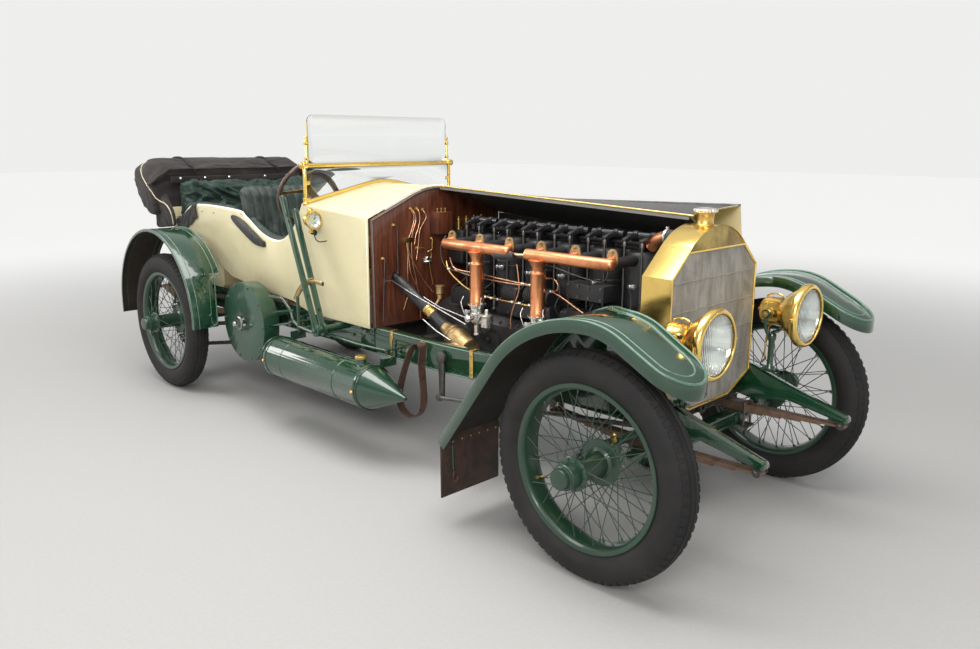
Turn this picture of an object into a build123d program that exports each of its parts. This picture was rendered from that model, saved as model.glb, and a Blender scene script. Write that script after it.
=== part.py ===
from build123d import *
import os
from math import atan2, cos, degrees, hypot, pi, radians, sin

# An open four-seat touring car of about 1910 with chain drive, wire wheels
# and its right bonnet side folded back.
# Millimetres. Stations run forward (+X) from the rear axle, +Y is the car's left
# and +Z is up from the floor.
# Every node is moved by -middle_station when it is written, so that the origin
# lies under the middle of the car.

os.makedirs("parts", exist_ok=True)

# Wheels and tyres
wheelbase = 3570.0
track = 1445.0
tyre_diameter = 895.0
tyre_section = 135.0
rim_edge_radius = 327.0
rim_floor_radius = 311.0
rim_width = 104.0
rim_wall = 5.0
spoke_width = 5.0
spokes_per_row = 16
hub_reach = 189.5
hub_barrel_radius = 46.0
hub_flange_radius = 92.0
hub_inner_reach = 60.0
stub_radius = 21.0
running_gap = 0.3
bearing_depth = 110.0

# Frame
rail_top = 660.0
rail_depth = 140.0
rail_half_width = 440.0
rail_front_half_width = 382.0
rail_taper_start = 2450.0
rail_taper_end = 3150.0
rail_flange = 48.0
rail_wall = 5.0
rail_rear_end = -640.0
horn_root = 3560.0
horn_eye_station = 4062.0
horn_eye_height = 490.0
horn_eye_radius = 18.0
horn_width = 46.0
handle_station = 3560.0
handle_height = 521.0
handle_bore = 12.5

# Springs and axles
spring_width = 50.0
spring_leaf = 7.0
spring_eye = 12.0
spring_room = 94.5
front_spring_leaves = 5
rear_spring_leaves = 6
front_spring_back = 3090.0
front_spring_rise = 12.0
rear_spring_half_length = 610.0
rear_spring_line = 492.0
rear_spring_rise = 62.0
axle_radius = 30.0
beam_depth = 62.0
kingpin_line = 588.0
kingpin_radius = 14.0
kingpin_boss_height = 84.0
kingpin_boss_radius = 28.0
knuckle_lug = 20.0
knuckle_web = 14.0
steering_arm_length = 150.0
steering_arm_drop = 62.0
tie_rod_radius = 13.0
eye_pin_radius = 9.0
column_station = 2430.0
column_line = 310.0
column_height = 640.0
column_rake = 27.6
column_length = 1500.0
steering_wheel_diameter = 420.0
wheel_boss_height = 44.0
sector_height = 600.0
pitman_line = 446.0
pitman_length = 200.0
pitman_thickness = 12.0
drag_link_radius = 10.0
drag_arm_reach = 176.0

# Chain drive
chain_line = 600.0
cross_shaft_radius = 30.0
front_sprocket_station = 858.0
front_sprocket_height = 556.0
front_sprocket_radius = 112.0
rear_sprocket_radius = 168.0
chain_pitch = 44.45
chain_width = 26.0
chain_height = 20.0
chain_gap = 5.0
drum_radius = 150.0
drum_width = 70.0
guard_radius = 240.0
guard_width = 100.0
guard_face = 652.0
guard_wall = 3.0

# Engine
first_cylinder = 2270.0
cylinder_pitch = 200.0
cylinder_count = 6
cylinder_radius = 82.0
cylinder_foot = 770.0
cylinder_top = 1160.0
crankcase_bottom = 440.0
crankcase_half_width = 165.0
valve_gear_height = 1235.0
manifold_height = 1125.0
manifold_line = 265.0
manifold_radius = 27.0
riser_foot = 850.0
exhaust_line = 215.0
exhaust_height = 1095.0
exhaust_radius = 38.0

# Radiator
radiator_front = 3630.0
radiator_depth = 140.0
radiator_half_width = 326.0
radiator_foot = 555.0
radiator_foot_half_width = 155.0
radiator_chine = 635.0
radiator_shoulder = 1110.0
radiator_head = 1207.0
radiator_head_half_width = 216.0
radiator_crown = 1300.0
radiator_rim = 6.0
filler_top = 1367.0

# Body
dash_station = 1885.0
dash_thickness = 22.0
dash_half_width = 462.0
dash_shoulder = 1230.0
dash_apex = 1420.0
arch_radius = 500.0
screen_station = 1385.0
body_floor = 655.0
body_foot_half_width = 475.0
body_shoulder_half_width = 541.0
body_shoulder = 1283.0
screen_apex = 1398.0
panel = 18.0
cowl_wall = 3.0

# Fenders
fender_half_width = 833.0
fender_sheet = 3.0
fender_skirt = 46.0
front_fender_inner = 450.0
front_fender_tip = 4006.0
front_fender_tip_inner = 583.0
rear_fender_inner = 592.0
rear_fender_notch = 668.0

# Bonnet
bonnet_sheet = 3.0
bonnet_gap = 6.0
bonnet_back_apex = 1384.0
bonnet_front_apex = 1325.0
bonnet_front_shoulder = 1118.0
bonnet_front_half_width = 340.0
hinge_offset = 6.0
hinge_rise = 4.0
shoulder_pin_radius = 5.7
shoulder_drop = 4.0
bonnet_fold = 209.0
side_fold = 150.0

wheel_radius = tyre_diameter / 2
half_track = track / 2
tyre_ring_radius = wheel_radius - tyre_section / 2
rail_bottom = rail_top - rail_depth
spring_line = rail_front_half_width - horn_width / 2
radiator_back = radiator_front - radiator_depth
bonnet_back = dash_station + dash_thickness + bonnet_gap
bonnet_front = radiator_back - bonnet_gap
hinge_radius = hypot(hinge_offset, hinge_rise) - running_gap
side_lean = (body_shoulder_half_width - body_foot_half_width) / (body_shoulder - body_floor)
LEFT, RIGHT = 1, -1

# The folded hood and the horns' eyes reach furthest, and the origin lies midway between them
hood_reach = 705.0
middle_station = (horn_eye_station + horn_eye_radius - hood_reach) / 2


def hinge_height(station):
    """Height of the bonnet's centre hinge, which falls towards the radiator."""
    share = (station - bonnet_back) / (bonnet_front - bonnet_back)
    return bonnet_back_apex + hinge_rise + share * (bonnet_front_apex - bonnet_back_apex)


def side_half(height):
    """Half width of the body's leaning side at a height."""
    return body_foot_half_width + (height - body_floor) * side_lean


def write(name, *shapes):
    solids = [solid for shape in shapes for solid in shape.solids()]
    placed = [Pos(-middle_station, 0, 0) * solid for solid in solids]
    export_step(Compound(children=placed), f"parts/{name}.step")


def both(shape):
    return [shape, mirror(shape, about=Plane.XZ)]


def box(x0, x1, y0, y1, z0, z1):
    return Pos((x0 + x1) / 2, (y0 + y1) / 2, (z0 + z1) / 2) * Box(abs(x1 - x0), abs(y1 - y0), abs(z1 - z0))


def rod(start, end, radius):
    start, end = Vector(*start), Vector(*end)
    return extrude(Plane(start, z_dir=end - start) * Circle(radius), (end - start).length)


def square_bar(start, end, width, depth=None):
    start, end = Vector(*start), Vector(*end)
    return extrude(Plane(start, z_dir=end - start) * Rectangle(width, depth or width), (end - start).length)


def pipe(points, bend_radii, radius, bore=0.0):
    path = FilletPolyline(*points, radius=bend_radii) if len(points) > 2 else Polyline(*points)
    section = Circle(radius) - Circle(bore) if bore else Circle(radius)
    return sweep(Plane(path @ 0, z_dir=path % 0) * section, path)


def side_plate(points, y0, y1):
    """A plate whose outline is drawn in side view as (station, height)."""
    return extrude(Plane.XZ.offset(-y1) * make_face(Polyline(*points, close=True)), y1 - y0)


def front_plate(points, x0, x1):
    """A plate whose outline is drawn in front view as (y, height)."""
    return extrude(Plane.YZ.offset(x0) * make_face(Polyline(*points, close=True)), x1 - x0)


def top_plate(points, z0, z1):
    """A plate whose outline is drawn in plan as (station, y)."""
    return extrude(Plane.XY.offset(z0) * make_face(Polyline(*points, close=True)), z1 - z0)


def turned(profile):
    """A solid turned about Z from (radius, height) corners."""
    return revolve(Plane.XZ * make_face(Polyline(*profile, close=True)), Axis.Z)


def outboard(shape, side, station, y, height):
    """Turns local +Z to point away from the car's middle and places it."""
    return Pos(station, side * y, height) * Rot(X=-90 * side) * shape


def offset_corners(points, distance):
    """Corners of a line of runs moved to the right of its direction by distance."""
    moved = []
    for i, (x, z) in enumerate(points):
        normals = []
        for a, b in ((i - 1, i), (i, i + 1)):
            if 0 <= a and b < len(points):
                dx, dz = points[b][0] - points[a][0], points[b][1] - points[a][1]
                run = hypot(dx, dz)
                normals.append((dz / run, -dx / run))
        nx, nz = sum(n[0] for n in normals), sum(n[1] for n in normals)
        scale = 2 / (nx * nx + nz * nz) * len(normals) / 2
        moved.append((x + nx * scale * distance, z + nz * scale * distance))
    return moved


def strip(points, bend_radii, depth, start=0.0):
    """A band in side view from start to depth on the right of a filleted line; its bends turn right."""
    def line(distance):
        corners = offset_corners(points, distance)
        return FilletPolyline(*corners, radius=[r - distance for r in bend_radii])
    upper, lower = line(start), line(depth)
    ends = [Line(upper @ 0, lower @ 0), Line(upper @ 1, lower @ 1)]
    return make_face([*upper.edges(), *lower.edges(), *ends])


def extruded_strip(points, bend_radii, y0, y1, depth, start=0.0):
    return extrude(Plane.XZ.offset(-y1) * strip(points, bend_radii, depth, start), y1 - y0)


# Wheels

def tyre():
    ring = revolve(Plane.XZ * Pos(tyre_ring_radius, 0) * Circle(tyre_section / 2), Axis.Z)
    bead_half = rim_width / 2 - rim_wall - running_gap
    bead_line = rim_floor_radius + running_gap
    beads = Cylinder(tyre_ring_radius, 2 * bead_half) - Cylinder(bead_line, 2 * bead_half)
    inside = Cylinder(rim_edge_radius + running_gap, tyre_section)
    return (ring - inside) + beads


def rim():
    half = rim_width / 2
    floor = rim_floor_radius - rim_wall
    return turned([
        (floor, -half), (rim_edge_radius, -half), (rim_edge_radius, rim_wall - half),
        (rim_floor_radius, rim_wall - half), (rim_floor_radius, half - rim_wall),
        (rim_edge_radius, half - rim_wall), (rim_edge_radius, half), (floor, half),
    ])


def hub():
    bore = stub_radius + running_gap
    outer_flange = 104.0
    shell = turned([
        (0, bearing_depth), (bore, bearing_depth), (bore, -hub_inner_reach),
        (hub_flange_radius, -hub_inner_reach),
        (hub_flange_radius, 8 - hub_inner_reach), (hub_barrel_radius + 10, 14 - hub_inner_reach),
        (hub_barrel_radius, 40 - hub_inner_reach), (hub_barrel_radius - 4, outer_flange - 8),
        (66, outer_flange - 4), (66, outer_flange + 4), (50, outer_flange + 8), (50, hub_reach - 30),
        (42, hub_reach - 26), (42, hub_reach - 4), (36, hub_reach), (0, hub_reach),
    ])
    return shell


def spokes():
    """Two crossed rows; each row is (hub radius, hub height, rim height, lean in degrees)."""
    rows = [
        (hub_flange_radius - 8, 6 - hub_inner_reach, -18, 38),
        (hub_flange_radius - 8, 2 - hub_inner_reach, -12, -38),
        (58, 104, 22, 30),
    ]
    reach = rim_floor_radius - 2
    bars = []
    for hub_radius, hub_height, rim_height, lean in rows:
        for i in range(spokes_per_row):
            angle = 2 * pi * (i + 0.5 * (lean < 0)) / spokes_per_row
            end = angle + radians(lean) * 0.75
            bars.append(square_bar(
                (hub_radius * cos(angle), hub_radius * sin(angle), hub_height),
                (reach * cos(end), reach * sin(end), rim_height), spoke_width))
    return bars


def sprocket(radius, teeth, width, bore):
    tooth = 2 * pi / teeth
    corners = []
    for i in range(teeth):
        for share, r in ((-0.32, radius - 9), (-0.12, radius), (0.12, radius), (0.32, radius - 9)):
            corners.append((r * cos((i + share) * tooth), r * sin((i + share) * tooth)))
    return extrude(make_face(Polyline(*corners, close=True)), width) - Pos(0, 0, width / 2) * Cylinder(bore,
                                                                                                       width)


def rear_drive():
    """Brake drum and chain wheel on the inner end of a rear hub."""
    plate = half_track - chain_line
    teeth = round(2 * pi * rear_sprocket_radius / chain_pitch)
    wheel_width = chain_width * 0.4
    toothed = Pos(0, 0, -plate - wheel_width / 2) * sprocket(rear_sprocket_radius, teeth, wheel_width, 60)
    drum = turned([
        (stub_radius + running_gap, -hub_inner_reach), (stub_radius + running_gap, -plate - 8),
        (drum_radius - 8, -plate - 8), (drum_radius - 8, -plate - drum_width),
        (drum_radius, -plate - drum_width),
        (drum_radius, -plate + 14), (70, -plate + 24), (60, -hub_inner_reach),
    ])
    return toothed + drum


wheel_core = rim() + hub() + spokes()
rear_wheel_core = wheel_core + rear_drive()
tyre_ring = tyre()
wheel_places = [
    ("front_left", LEFT, wheelbase, wheel_core), ("front_right", RIGHT, wheelbase, wheel_core),
    ("rear_left", LEFT, 0.0, rear_wheel_core), ("rear_right", RIGHT, 0.0, rear_wheel_core),
]
for place, side, station, core in wheel_places:
    write(f"tyre_{place}", outboard(tyre_ring, side, station, half_track, wheel_radius))
    write(f"wheel_{place}", outboard(core, side, station, half_track, wheel_radius))


# Front axle and steering

fork_reach = kingpin_boss_height / 2 + running_gap + knuckle_lug
arm_height = wheel_radius - steering_arm_drop


beam_top = rail_bottom - spring_room
beam_bottom = beam_top - beam_depth


def front_axle():
    """Forged beam of I section that rises to a boss round each kingpin."""
    half, lug_reach = kingpin_line, kingpin_boss_radius + 6
    boss_low = wheel_radius - kingpin_boss_height / 2 + 3
    boss_high = wheel_radius + kingpin_boss_height / 2 - 3
    profile = [(spring_line + 40, beam_top), (half - lug_reach - 30, beam_top),
               (half - lug_reach + 14, boss_high),
               (half, boss_high), (half, boss_low), (half - lug_reach - 10, boss_low),
               (half - lug_reach - 46, beam_bottom + 16), (spring_line, beam_bottom)]
    outline = profile + [(-y, z) for y, z in reversed(profile)]
    beam = front_plate(outline, wheelbase - 26, wheelbase + 26)
    web_half, flange = 7.0, 12.0
    for face in (LEFT, RIGHT):
        low, high = sorted((wheelbase + face * web_half, wheelbase + face * 27))
        beam -= box(low, high, -spring_line + 40, spring_line - 40, beam_bottom + flange, beam_top - flange)
    for side in (LEFT, RIGHT):
        boss = Pos(wheelbase, side * half, wheel_radius) * Cylinder(kingpin_boss_radius,
                                                                    kingpin_boss_height)
        clearance = Pos(wheelbase, side * half, wheel_radius) * Cylinder(kingpin_boss_radius + 200,
                                                                         kingpin_boss_height)
        clearance &= box(wheelbase - 30, wheelbase + 30, side * half, side * (half + 60), 0,
                         2 * wheel_radius)
        seat = box(wheelbase - 70, wheelbase + 70, side * spring_line - 30, side * spring_line + 30,
                   beam_top - 14, beam_top)
        pin_hole = Cylinder(kingpin_radius + running_gap, kingpin_boss_height * 2)
        beam = beam - clearance + boss + seat - Pos(wheelbase, side * half, wheel_radius) * pin_hole
    return beam


def knuckle(side):
    lug = Cylinder(kingpin_boss_radius, knuckle_lug)
    lug_height = kingpin_boss_height / 2 + running_gap + knuckle_lug / 2
    body = Pos(0, 0, lug_height) * lug + Pos(0, 0, -lug_height) * lug + Cylinder(kingpin_radius,
                                                                                 2 * fork_reach)
    web_start = kingpin_boss_radius + 3
    web_end = web_start + knuckle_web
    fork = box(-kingpin_boss_radius, kingpin_boss_radius, 0, side * web_end, -fork_reach, fork_reach)
    fork -= Cylinder(web_start, kingpin_boss_height + 2 * running_gap)
    fork -= box(-kingpin_boss_radius, kingpin_boss_radius, 0, side * web_start,
                -kingpin_boss_height / 2 - running_gap, kingpin_boss_height / 2 + running_gap)
    stub_end = half_track - kingpin_line + bearing_depth - 4
    hub_face = half_track - hub_inner_reach - kingpin_line
    stub = rod((0, side * web_start, 0), (0, side * stub_end, 0), stub_radius)
    shoulder = rod((0, side * (web_end - 4), 0), (0, side * (hub_face - running_gap), 0), 38)
    arm_z = arm_height - wheel_radius
    arm = box(-steering_arm_length, -10, -15, 15, arm_z - 8, arm_z + 8)
    eye = Pos(-steering_arm_length, 0, arm_z) * Cylinder(20, 16)
    arm_pin = Pos(-steering_arm_length, 0, arm_z + 21) * Cylinder(eye_pin_radius, 58)
    body = body + fork + stub + shoulder + arm + eye + arm_pin
    if side == RIGHT:
        body += box(-14, 14, 0, drag_arm_reach, fork_reach - knuckle_lug + 2, fork_reach)
        body += Pos(0, drag_arm_reach, fork_reach - 9) * Cylinder(20, 18)
    return Pos(wheelbase, side * kingpin_line, wheel_radius) * body


def tie_rod():
    station = wheelbase - steering_arm_length
    z = arm_height + 8 + running_gap + 11
    bar = rod((station, -kingpin_line + 24, z), (station, kingpin_line - 24, z), tie_rod_radius)
    for side in (LEFT, RIGHT):
        eye = Cylinder(22, 22)
        neck = Pos(0, -side * 24, 0) * Box(20, 24, 20)
        bar += Pos(station, side * kingpin_line, z) * (eye + neck)
        bar -= Pos(station, side * kingpin_line, z) * Cylinder(eye_pin_radius + running_gap, 40)
    return bar


write("front_axle", front_axle())
write("knuckle_left", knuckle(LEFT))
write("knuckle_right", knuckle(RIGHT))
write("tie_rod", tie_rod())


# Frame

def rail_plan(outer_shift, width, front_limit):
    """Plan outline of a right-hand strip inside the rail's outer face."""
    outer = [
        (rail_rear_end, rail_half_width), (rail_taper_start, rail_half_width),
        (rail_taper_end, rail_front_half_width), (front_limit, rail_front_half_width),
    ]
    near = [(x, -(y - outer_shift)) for x, y in outer]
    far = [(x, -(y - outer_shift - width)) for x, y in reversed(outer)]
    return near + far


def rail_side(inset, front_limit):
    """Side outline of the channel, cut off at front_limit."""
    return [(rail_rear_end - 10, rail_bottom + inset), (rail_rear_end - 10, rail_top - inset),
            (front_limit, rail_top - inset), (front_limit, rail_bottom + inset)]


horn_top = [(horn_root - 60, rail_top), (horn_root + 70, rail_top - 12), (horn_root + 250, rail_top - 74),
            (horn_eye_station, horn_eye_height + horn_eye_radius)]


def horn():
    bottom = [(horn_eye_station, horn_eye_height - horn_eye_radius * 0.6),
              (horn_root + 260, rail_bottom + 6),
              (horn_root + 90, rail_bottom - 22), (horn_root - 60, rail_bottom)]
    blade = side_plate(horn_top + bottom, -rail_front_half_width, horn_width - rail_front_half_width)
    eye = rod((horn_eye_station, -rail_front_half_width, horn_eye_height),
              (horn_eye_station, horn_width - rail_front_half_width, horn_eye_height), horn_eye_radius)
    return blade + eye


def frame_rail():
    front = horn_root - 60
    outer = top_plate(rail_plan(0, rail_flange, front), rail_bottom - 1, rail_top + 1)
    outer &= side_plate(rail_side(0, front), -rail_half_width - 1, 0)
    hollow = top_plate(rail_plan(rail_wall, rail_flange, front + 1), rail_bottom, rail_top)
    hollow &= side_plate(rail_side(rail_wall, front + 1), -rail_half_width - 1, 0)
    bearing = rod((front_sprocket_station, -rail_half_width - 1, front_sprocket_height),
                  (front_sprocket_station, rail_wall + 1 - rail_half_width, front_sprocket_height),
                  cross_shaft_radius + running_gap)
    return outer - hollow - bearing + horn()


def cross_members():
    """Rear and front tubes and channels; a channel's row is (station, length, depth)."""
    inner = rail_half_width - rail_wall
    front_inner = rail_front_half_width - horn_width
    rear_tube = rod((rail_rear_end + 40, -inner, rail_top - 60), (rail_rear_end + 40, inner, rail_top - 60),
                    24)
    front_tube = rod((handle_station, -front_inner, handle_height),
                     (handle_station, front_inner, handle_height), 20)
    front_tube += rod((handle_station - 36, 0, handle_height), (handle_station + 44, 0, handle_height), 27)
    front_tube -= rod((handle_station - 40, 0, handle_height), (handle_station + 50, 0, handle_height),
                      handle_bore)
    foot_top = radiator_foot - radiator_rim - running_gap
    for side in (LEFT, RIGHT):
        front_tube += box(handle_station - 18, handle_station + 18, side * 90 - 16, side * 90 + 16,
                          handle_height, foot_top)
    parts = [rear_tube, front_tube]
    shaft_way = rod((front_sprocket_station, 0, 580), (dash_station + 60, 0, 598), 40)
    for station, length, depth in ((60, 70, 110), (1080, 70, 110), (1820, 60, 90)):
        channel = box(station, station + length, -inner, inner, rail_top - 12 - depth, rail_top - 12)
        channel -= box(station + 6, station + length, -inner, inner, rail_top - 6 - depth, rail_top - 18)
        parts.append(channel - shaft_way)
    return parts


right_rail = frame_rail() - rod((column_station, -rail_half_width - 1, sector_height),
                                (column_station, -rail_half_width + 10, sector_height), 20 + running_gap)
write("frame_rail_right", right_rail)
write("frame_rail_left", mirror(right_rail, about=Plane.XZ))
write("cross_members", *cross_members())


# Springs

def leaf_pack(front, back, seat, seat_height, front_height, back_height, leaves, y):
    """One outline for the stacked leaves: a curved top with both eyes and a stepped underside."""
    shares = [1 - i / (leaves + 0.5) for i in range(leaves)] + [0.0]

    def half(end, end_height):
        run, rise = end - seat, end_height - seat_height
        curve = [(seat + run * share, seat_height + rise * share ** 2) for share in shares]
        under = []
        for i in range(leaves):
            under += [(x, z - (i + 1) * spring_leaf) for x, z in curve[i:i + 2]]
        return curve, under
    front_top, front_under = half(front, front_height)
    back_top, back_under = half(back, back_height)
    outline = back_top + front_top[-2::-1] + front_under + back_under[-2::-1]
    pack = side_plate(outline, y - spring_width / 2, y + spring_width / 2)
    for x, z in ((front, front_height), (back, back_height)):
        centre = z - spring_eye / 2
        pack += rod((x, y - spring_width / 2, centre), (x, y + spring_width / 2, centre), spring_eye)
    return pack


def front_spring():
    seat = beam_top
    y = -spring_line
    top = seat + front_spring_leaves * spring_leaf
    front_eye = horn_eye_height - horn_eye_radius - running_gap - spring_eye / 2
    back_eye = front_eye + front_spring_rise
    pack = leaf_pack(horn_eye_station - 6, front_spring_back, wheelbase, top, front_eye, back_eye,
                     front_spring_leaves, y)
    shackle_top = rail_bottom - running_gap
    for face in (LEFT, RIGHT):
        low, high = sorted((y + face * 25, y + face * 33))
        pack += box(front_spring_back - 14, front_spring_back + 14, low, high, back_eye - 18, shackle_top)
    pack += rod((front_spring_back, y - 30, shackle_top - 9), (front_spring_back, y + 30, shackle_top - 9),
                8)
    for station in (wheelbase - 52, wheelbase + 52):
        pack += box(station - 8, station + 8, y - 32, y + 32, seat, top + 12)
    return pack


def rear_spring():
    seat = wheel_radius + axle_radius
    y = -rear_spring_line
    top = seat + rear_spring_leaves * spring_leaf
    eye = top + rear_spring_rise
    ends = rear_spring_half_length
    pack = leaf_pack(ends, -ends, 0.0, top, eye, eye, rear_spring_leaves, y)
    for station in (ends, -ends):
        centre = eye - spring_eye / 2
        pack += rod((station, y - spring_width / 2, centre), (station, -rail_half_width, centre),
                    spring_eye)
    for station in (-36, 36):
        pack += box(station - 8, station + 8, y - 31, y + 31, seat, top + 10)
    return pack


write("front_springs", *both(front_spring()))
write("rear_springs", *both(rear_spring()))


def rear_axle():
    reach = half_track + bearing_depth - 4
    inner_face = chain_line - drum_width - 12
    beam = rod((0, -inner_face, wheel_radius), (0, inner_face, wheel_radius), axle_radius)
    beam += rod((0, -reach, wheel_radius), (0, reach, wheel_radius), stub_radius)
    for side in (LEFT, RIGHT):
        plate = Rot(X=90) * Cylinder(drum_radius - 12, 8)
        beam += Pos(0, side * (inner_face + 10), wheel_radius) * plate
        beam += box(-50, 50, side * rear_spring_line - 32, side * rear_spring_line + 32,
                    wheel_radius - 34, wheel_radius + axle_radius)
    return beam


write("rear_axle", rear_axle())


# Steering gear, in the plane y = -column_line

column_way = Vector(-cos(radians(column_rake)), 0, sin(radians(column_rake)))
column_foot = Vector(column_station, -column_line, column_height)


def along_column(distance):
    return column_foot + column_way * distance


def on_column(shape, distance):
    """Places a shape whose axis is Z on the column, distance up from its foot."""
    return Plane(along_column(distance), x_dir=(0, 1, 0), z_dir=column_way) * shape


def steering_gear():
    case = on_column(Cylinder(58, 130) + Pos(0, 0, 85) * Cone(52, 26, 60), 20)
    case += rod((column_station, 70 - column_line, sector_height),
                (column_station, -70 - column_line, sector_height), 62)
    case_end = rail_wall + 4 - rail_half_width
    case += box(column_station - 50, column_station + 50, -column_line - 62, case_end,
                sector_height - 30, sector_height + 30)
    shaft = rod((column_station, -column_line, sector_height),
                (column_station, -pitman_line + 1, sector_height), 20)
    tube_end = column_length - wheel_boss_height / 2 - running_gap
    tube = on_column(Cylinder(21, tube_end - 60), (tube_end + 60) / 2)
    return case + shaft + tube


def steering_wheel():
    radius = steering_wheel_diameter / 2
    rim_ring = Torus(radius - 13, 13)
    boss = Cylinder(32, wheel_boss_height)
    arms = Cylinder(8, 8)
    for angle in (0, 90, 180, 270):
        reach = radius - 13
        end = (reach * cos(radians(angle)), reach * sin(radians(angle)), 0)
        arms += square_bar((0, 0, -6), end, 20, 9)
    return on_column(rim_ring + boss + arms, column_length)


def pitman_arm():
    y0, y1 = -pitman_line - pitman_thickness, -pitman_line
    low = sector_height - pitman_length
    arm = side_plate([(column_station - 22, sector_height), (column_station + 22, sector_height),
                      (column_station + 13, low), (column_station - 13, low)], y0, y1)
    arm += rod((column_station, y0 - 6, sector_height), (column_station, y1, sector_height), 30)
    arm += rod((column_station, y0, low), (column_station, y1, low), 18)
    return arm + rod((column_station, y0 - 24, low), (column_station, y0, low), eye_pin_radius)


drag_seat = wheel_radius + fork_reach + 0.5


def drag_link():
    y = -pitman_line - pitman_thickness - 12
    back = Vector(column_station, y, sector_height - pitman_length)
    front = Vector(wheelbase, drag_arm_reach - kingpin_line, drag_seat + 18)
    way = (front - back).normalized()
    link = rod(back + way * 14, front - way * 12, drag_link_radius)
    link += rod(back - Vector(0, 9, 0), back + Vector(0, 9, 0), 18)
    link += Pos(front) * Cylinder(18, 36)
    return link - rod(back - Vector(0, 14, 0), back + Vector(0, 14, 0), eye_pin_radius + running_gap)


write("steering_gear", steering_gear())
write("steering_wheel", steering_wheel())
write("pitman_arm", pitman_arm())
write("drag_link", drag_link())


# Chain drive

def gearbox():
    sx, sz = front_sprocket_station, front_sprocket_height
    casing = side_plate([(sx - 190, sz - 90), (sx - 150, sz - 125), (sx + 120, sz - 125),
                         (sx + 190, sz - 60),
                         (sx + 190, sz + 70), (sx + 150, sz + 92), (sx - 150, sz + 92),
                         (sx - 190, sz + 60)], -150, 150)
    tube_end = chain_line - chain_width / 2 - 12
    casing += rod((sx, -tube_end, sz), (sx, tube_end, sz), cross_shaft_radius)
    casing += rod((sx + 180, 0, sz + 24), (dash_station + 100, 0, 600), 26)
    plate_start = rail_half_width + running_gap
    rod_radius = 13.0
    seat_low = wheel_radius - axle_radius - 4
    for side in (LEFT, RIGHT):
        casing += rod((sx, side * 150, sz), (sx, side * 230, sz), 85)
        casing += rod((sx, side * plate_start, sz), (sx, side * (plate_start + 12), sz), 60)
        y = side * rear_spring_line
        casing += rod((-20, y, seat_low - 34), (sx - 13, y, sz - 16), rod_radius)
        casing += box(-34, -6, y - 12, y + 12, seat_low - 44, seat_low - running_gap)
    return casing


def front_sprocket(side):
    teeth = round(2 * pi * front_sprocket_radius / chain_pitch)
    wheel_width = chain_width * 0.4
    toothed = Pos(0, 0, chain_line - wheel_width / 2) * sprocket(front_sprocket_radius, teeth, wheel_width,
                                                                 20)
    shaft_start = chain_line - chain_width / 2 - 12
    nut_start = guard_face + running_gap
    shaft = Pos(0, 0, (shaft_start + nut_start) / 2) * Cylinder(24, nut_start - shaft_start)
    nut = Pos(0, 0, nut_start) * turned([(0, 0), (50, 0), (50, 12), (38, 14), (38, 40), (26, 44), (26, 62),
                                         (0, 62)])
    for i in range(3):
        nut -= Pos(0, 0, nut_start + 36) * Rot(Z=60 * i) * Box(90, 9, 20)
    nut += Pos(0, 0, nut_start + 20) * Cylinder(27, 40)
    return outboard(toothed + shaft + nut, side, front_sprocket_station, 0, front_sprocket_height)


def chain_points():
    """Pin places of the chain in side view, evenly spaced round both chain wheels."""
    x, z = front_sprocket_station, front_sprocket_height - wheel_radius
    span, turn = hypot(x, z), atan2(z, x)
    link_half = chain_height / 2
    sag = chain_pitch ** 2 / (8 * (front_sprocket_radius + link_half))
    r_front = front_sprocket_radius + running_gap + sag + link_half
    r_rear = rear_sprocket_radius + chain_gap + link_half
    lean = (r_rear - r_front) / span
    run = span * (1 - lean ** 2) ** 0.5
    front_wrap, rear_wrap = r_front * (pi - 2 * lean), r_rear * (pi + 2 * lean)
    total = 2 * run + front_wrap + rear_wrap
    links = round(total / chain_pitch / 2) * 2
    points = []
    for i in range(links):
        s = total * i / links
        if s < front_wrap:
            angle = turn - pi / 2 + lean + s / r_front
            points.append((x + r_front * cos(angle), wheel_radius + z + r_front * sin(angle)))
            continue
        s -= front_wrap
        if s < run:
            angle = turn + pi / 2 - lean
            start = (x + r_front * cos(angle), wheel_radius + z + r_front * sin(angle))
            end = (r_rear * cos(angle), wheel_radius + r_rear * sin(angle))
            points.append(tuple(a + (b - a) * s / run for a, b in zip(start, end)))
            continue
        s -= run
        if s < rear_wrap:
            angle = turn + pi / 2 - lean + s / r_rear
            points.append((r_rear * cos(angle), wheel_radius + r_rear * sin(angle)))
            continue
        s -= rear_wrap
        angle = turn - pi / 2 + lean
        start = (r_rear * cos(angle), wheel_radius + r_rear * sin(angle))
        end = (x + r_front * cos(angle), wheel_radius + z + r_front * sin(angle))
        points.append(tuple(a + (b - a) * s / run for a, b in zip(start, end)))
    return points


def chain():
    points = chain_points()
    loop = None
    for i, (x0, z0) in enumerate(points):
        x1, z1 = points[(i + 1) % len(points)]
        width = chain_width if i % 2 else chain_width * 0.62
        run = hypot(x1 - x0, z1 - z0)
        link = Pos((x0 + x1) / 2, -chain_line, (z0 + z1) / 2) * Rot(Y=-degrees(atan2(z1 - z0,
                                                                                     x1 - x0))) * Box(
            run + 6, width, chain_height)
        loop = link if loop is None else loop + link
    return loop


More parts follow.
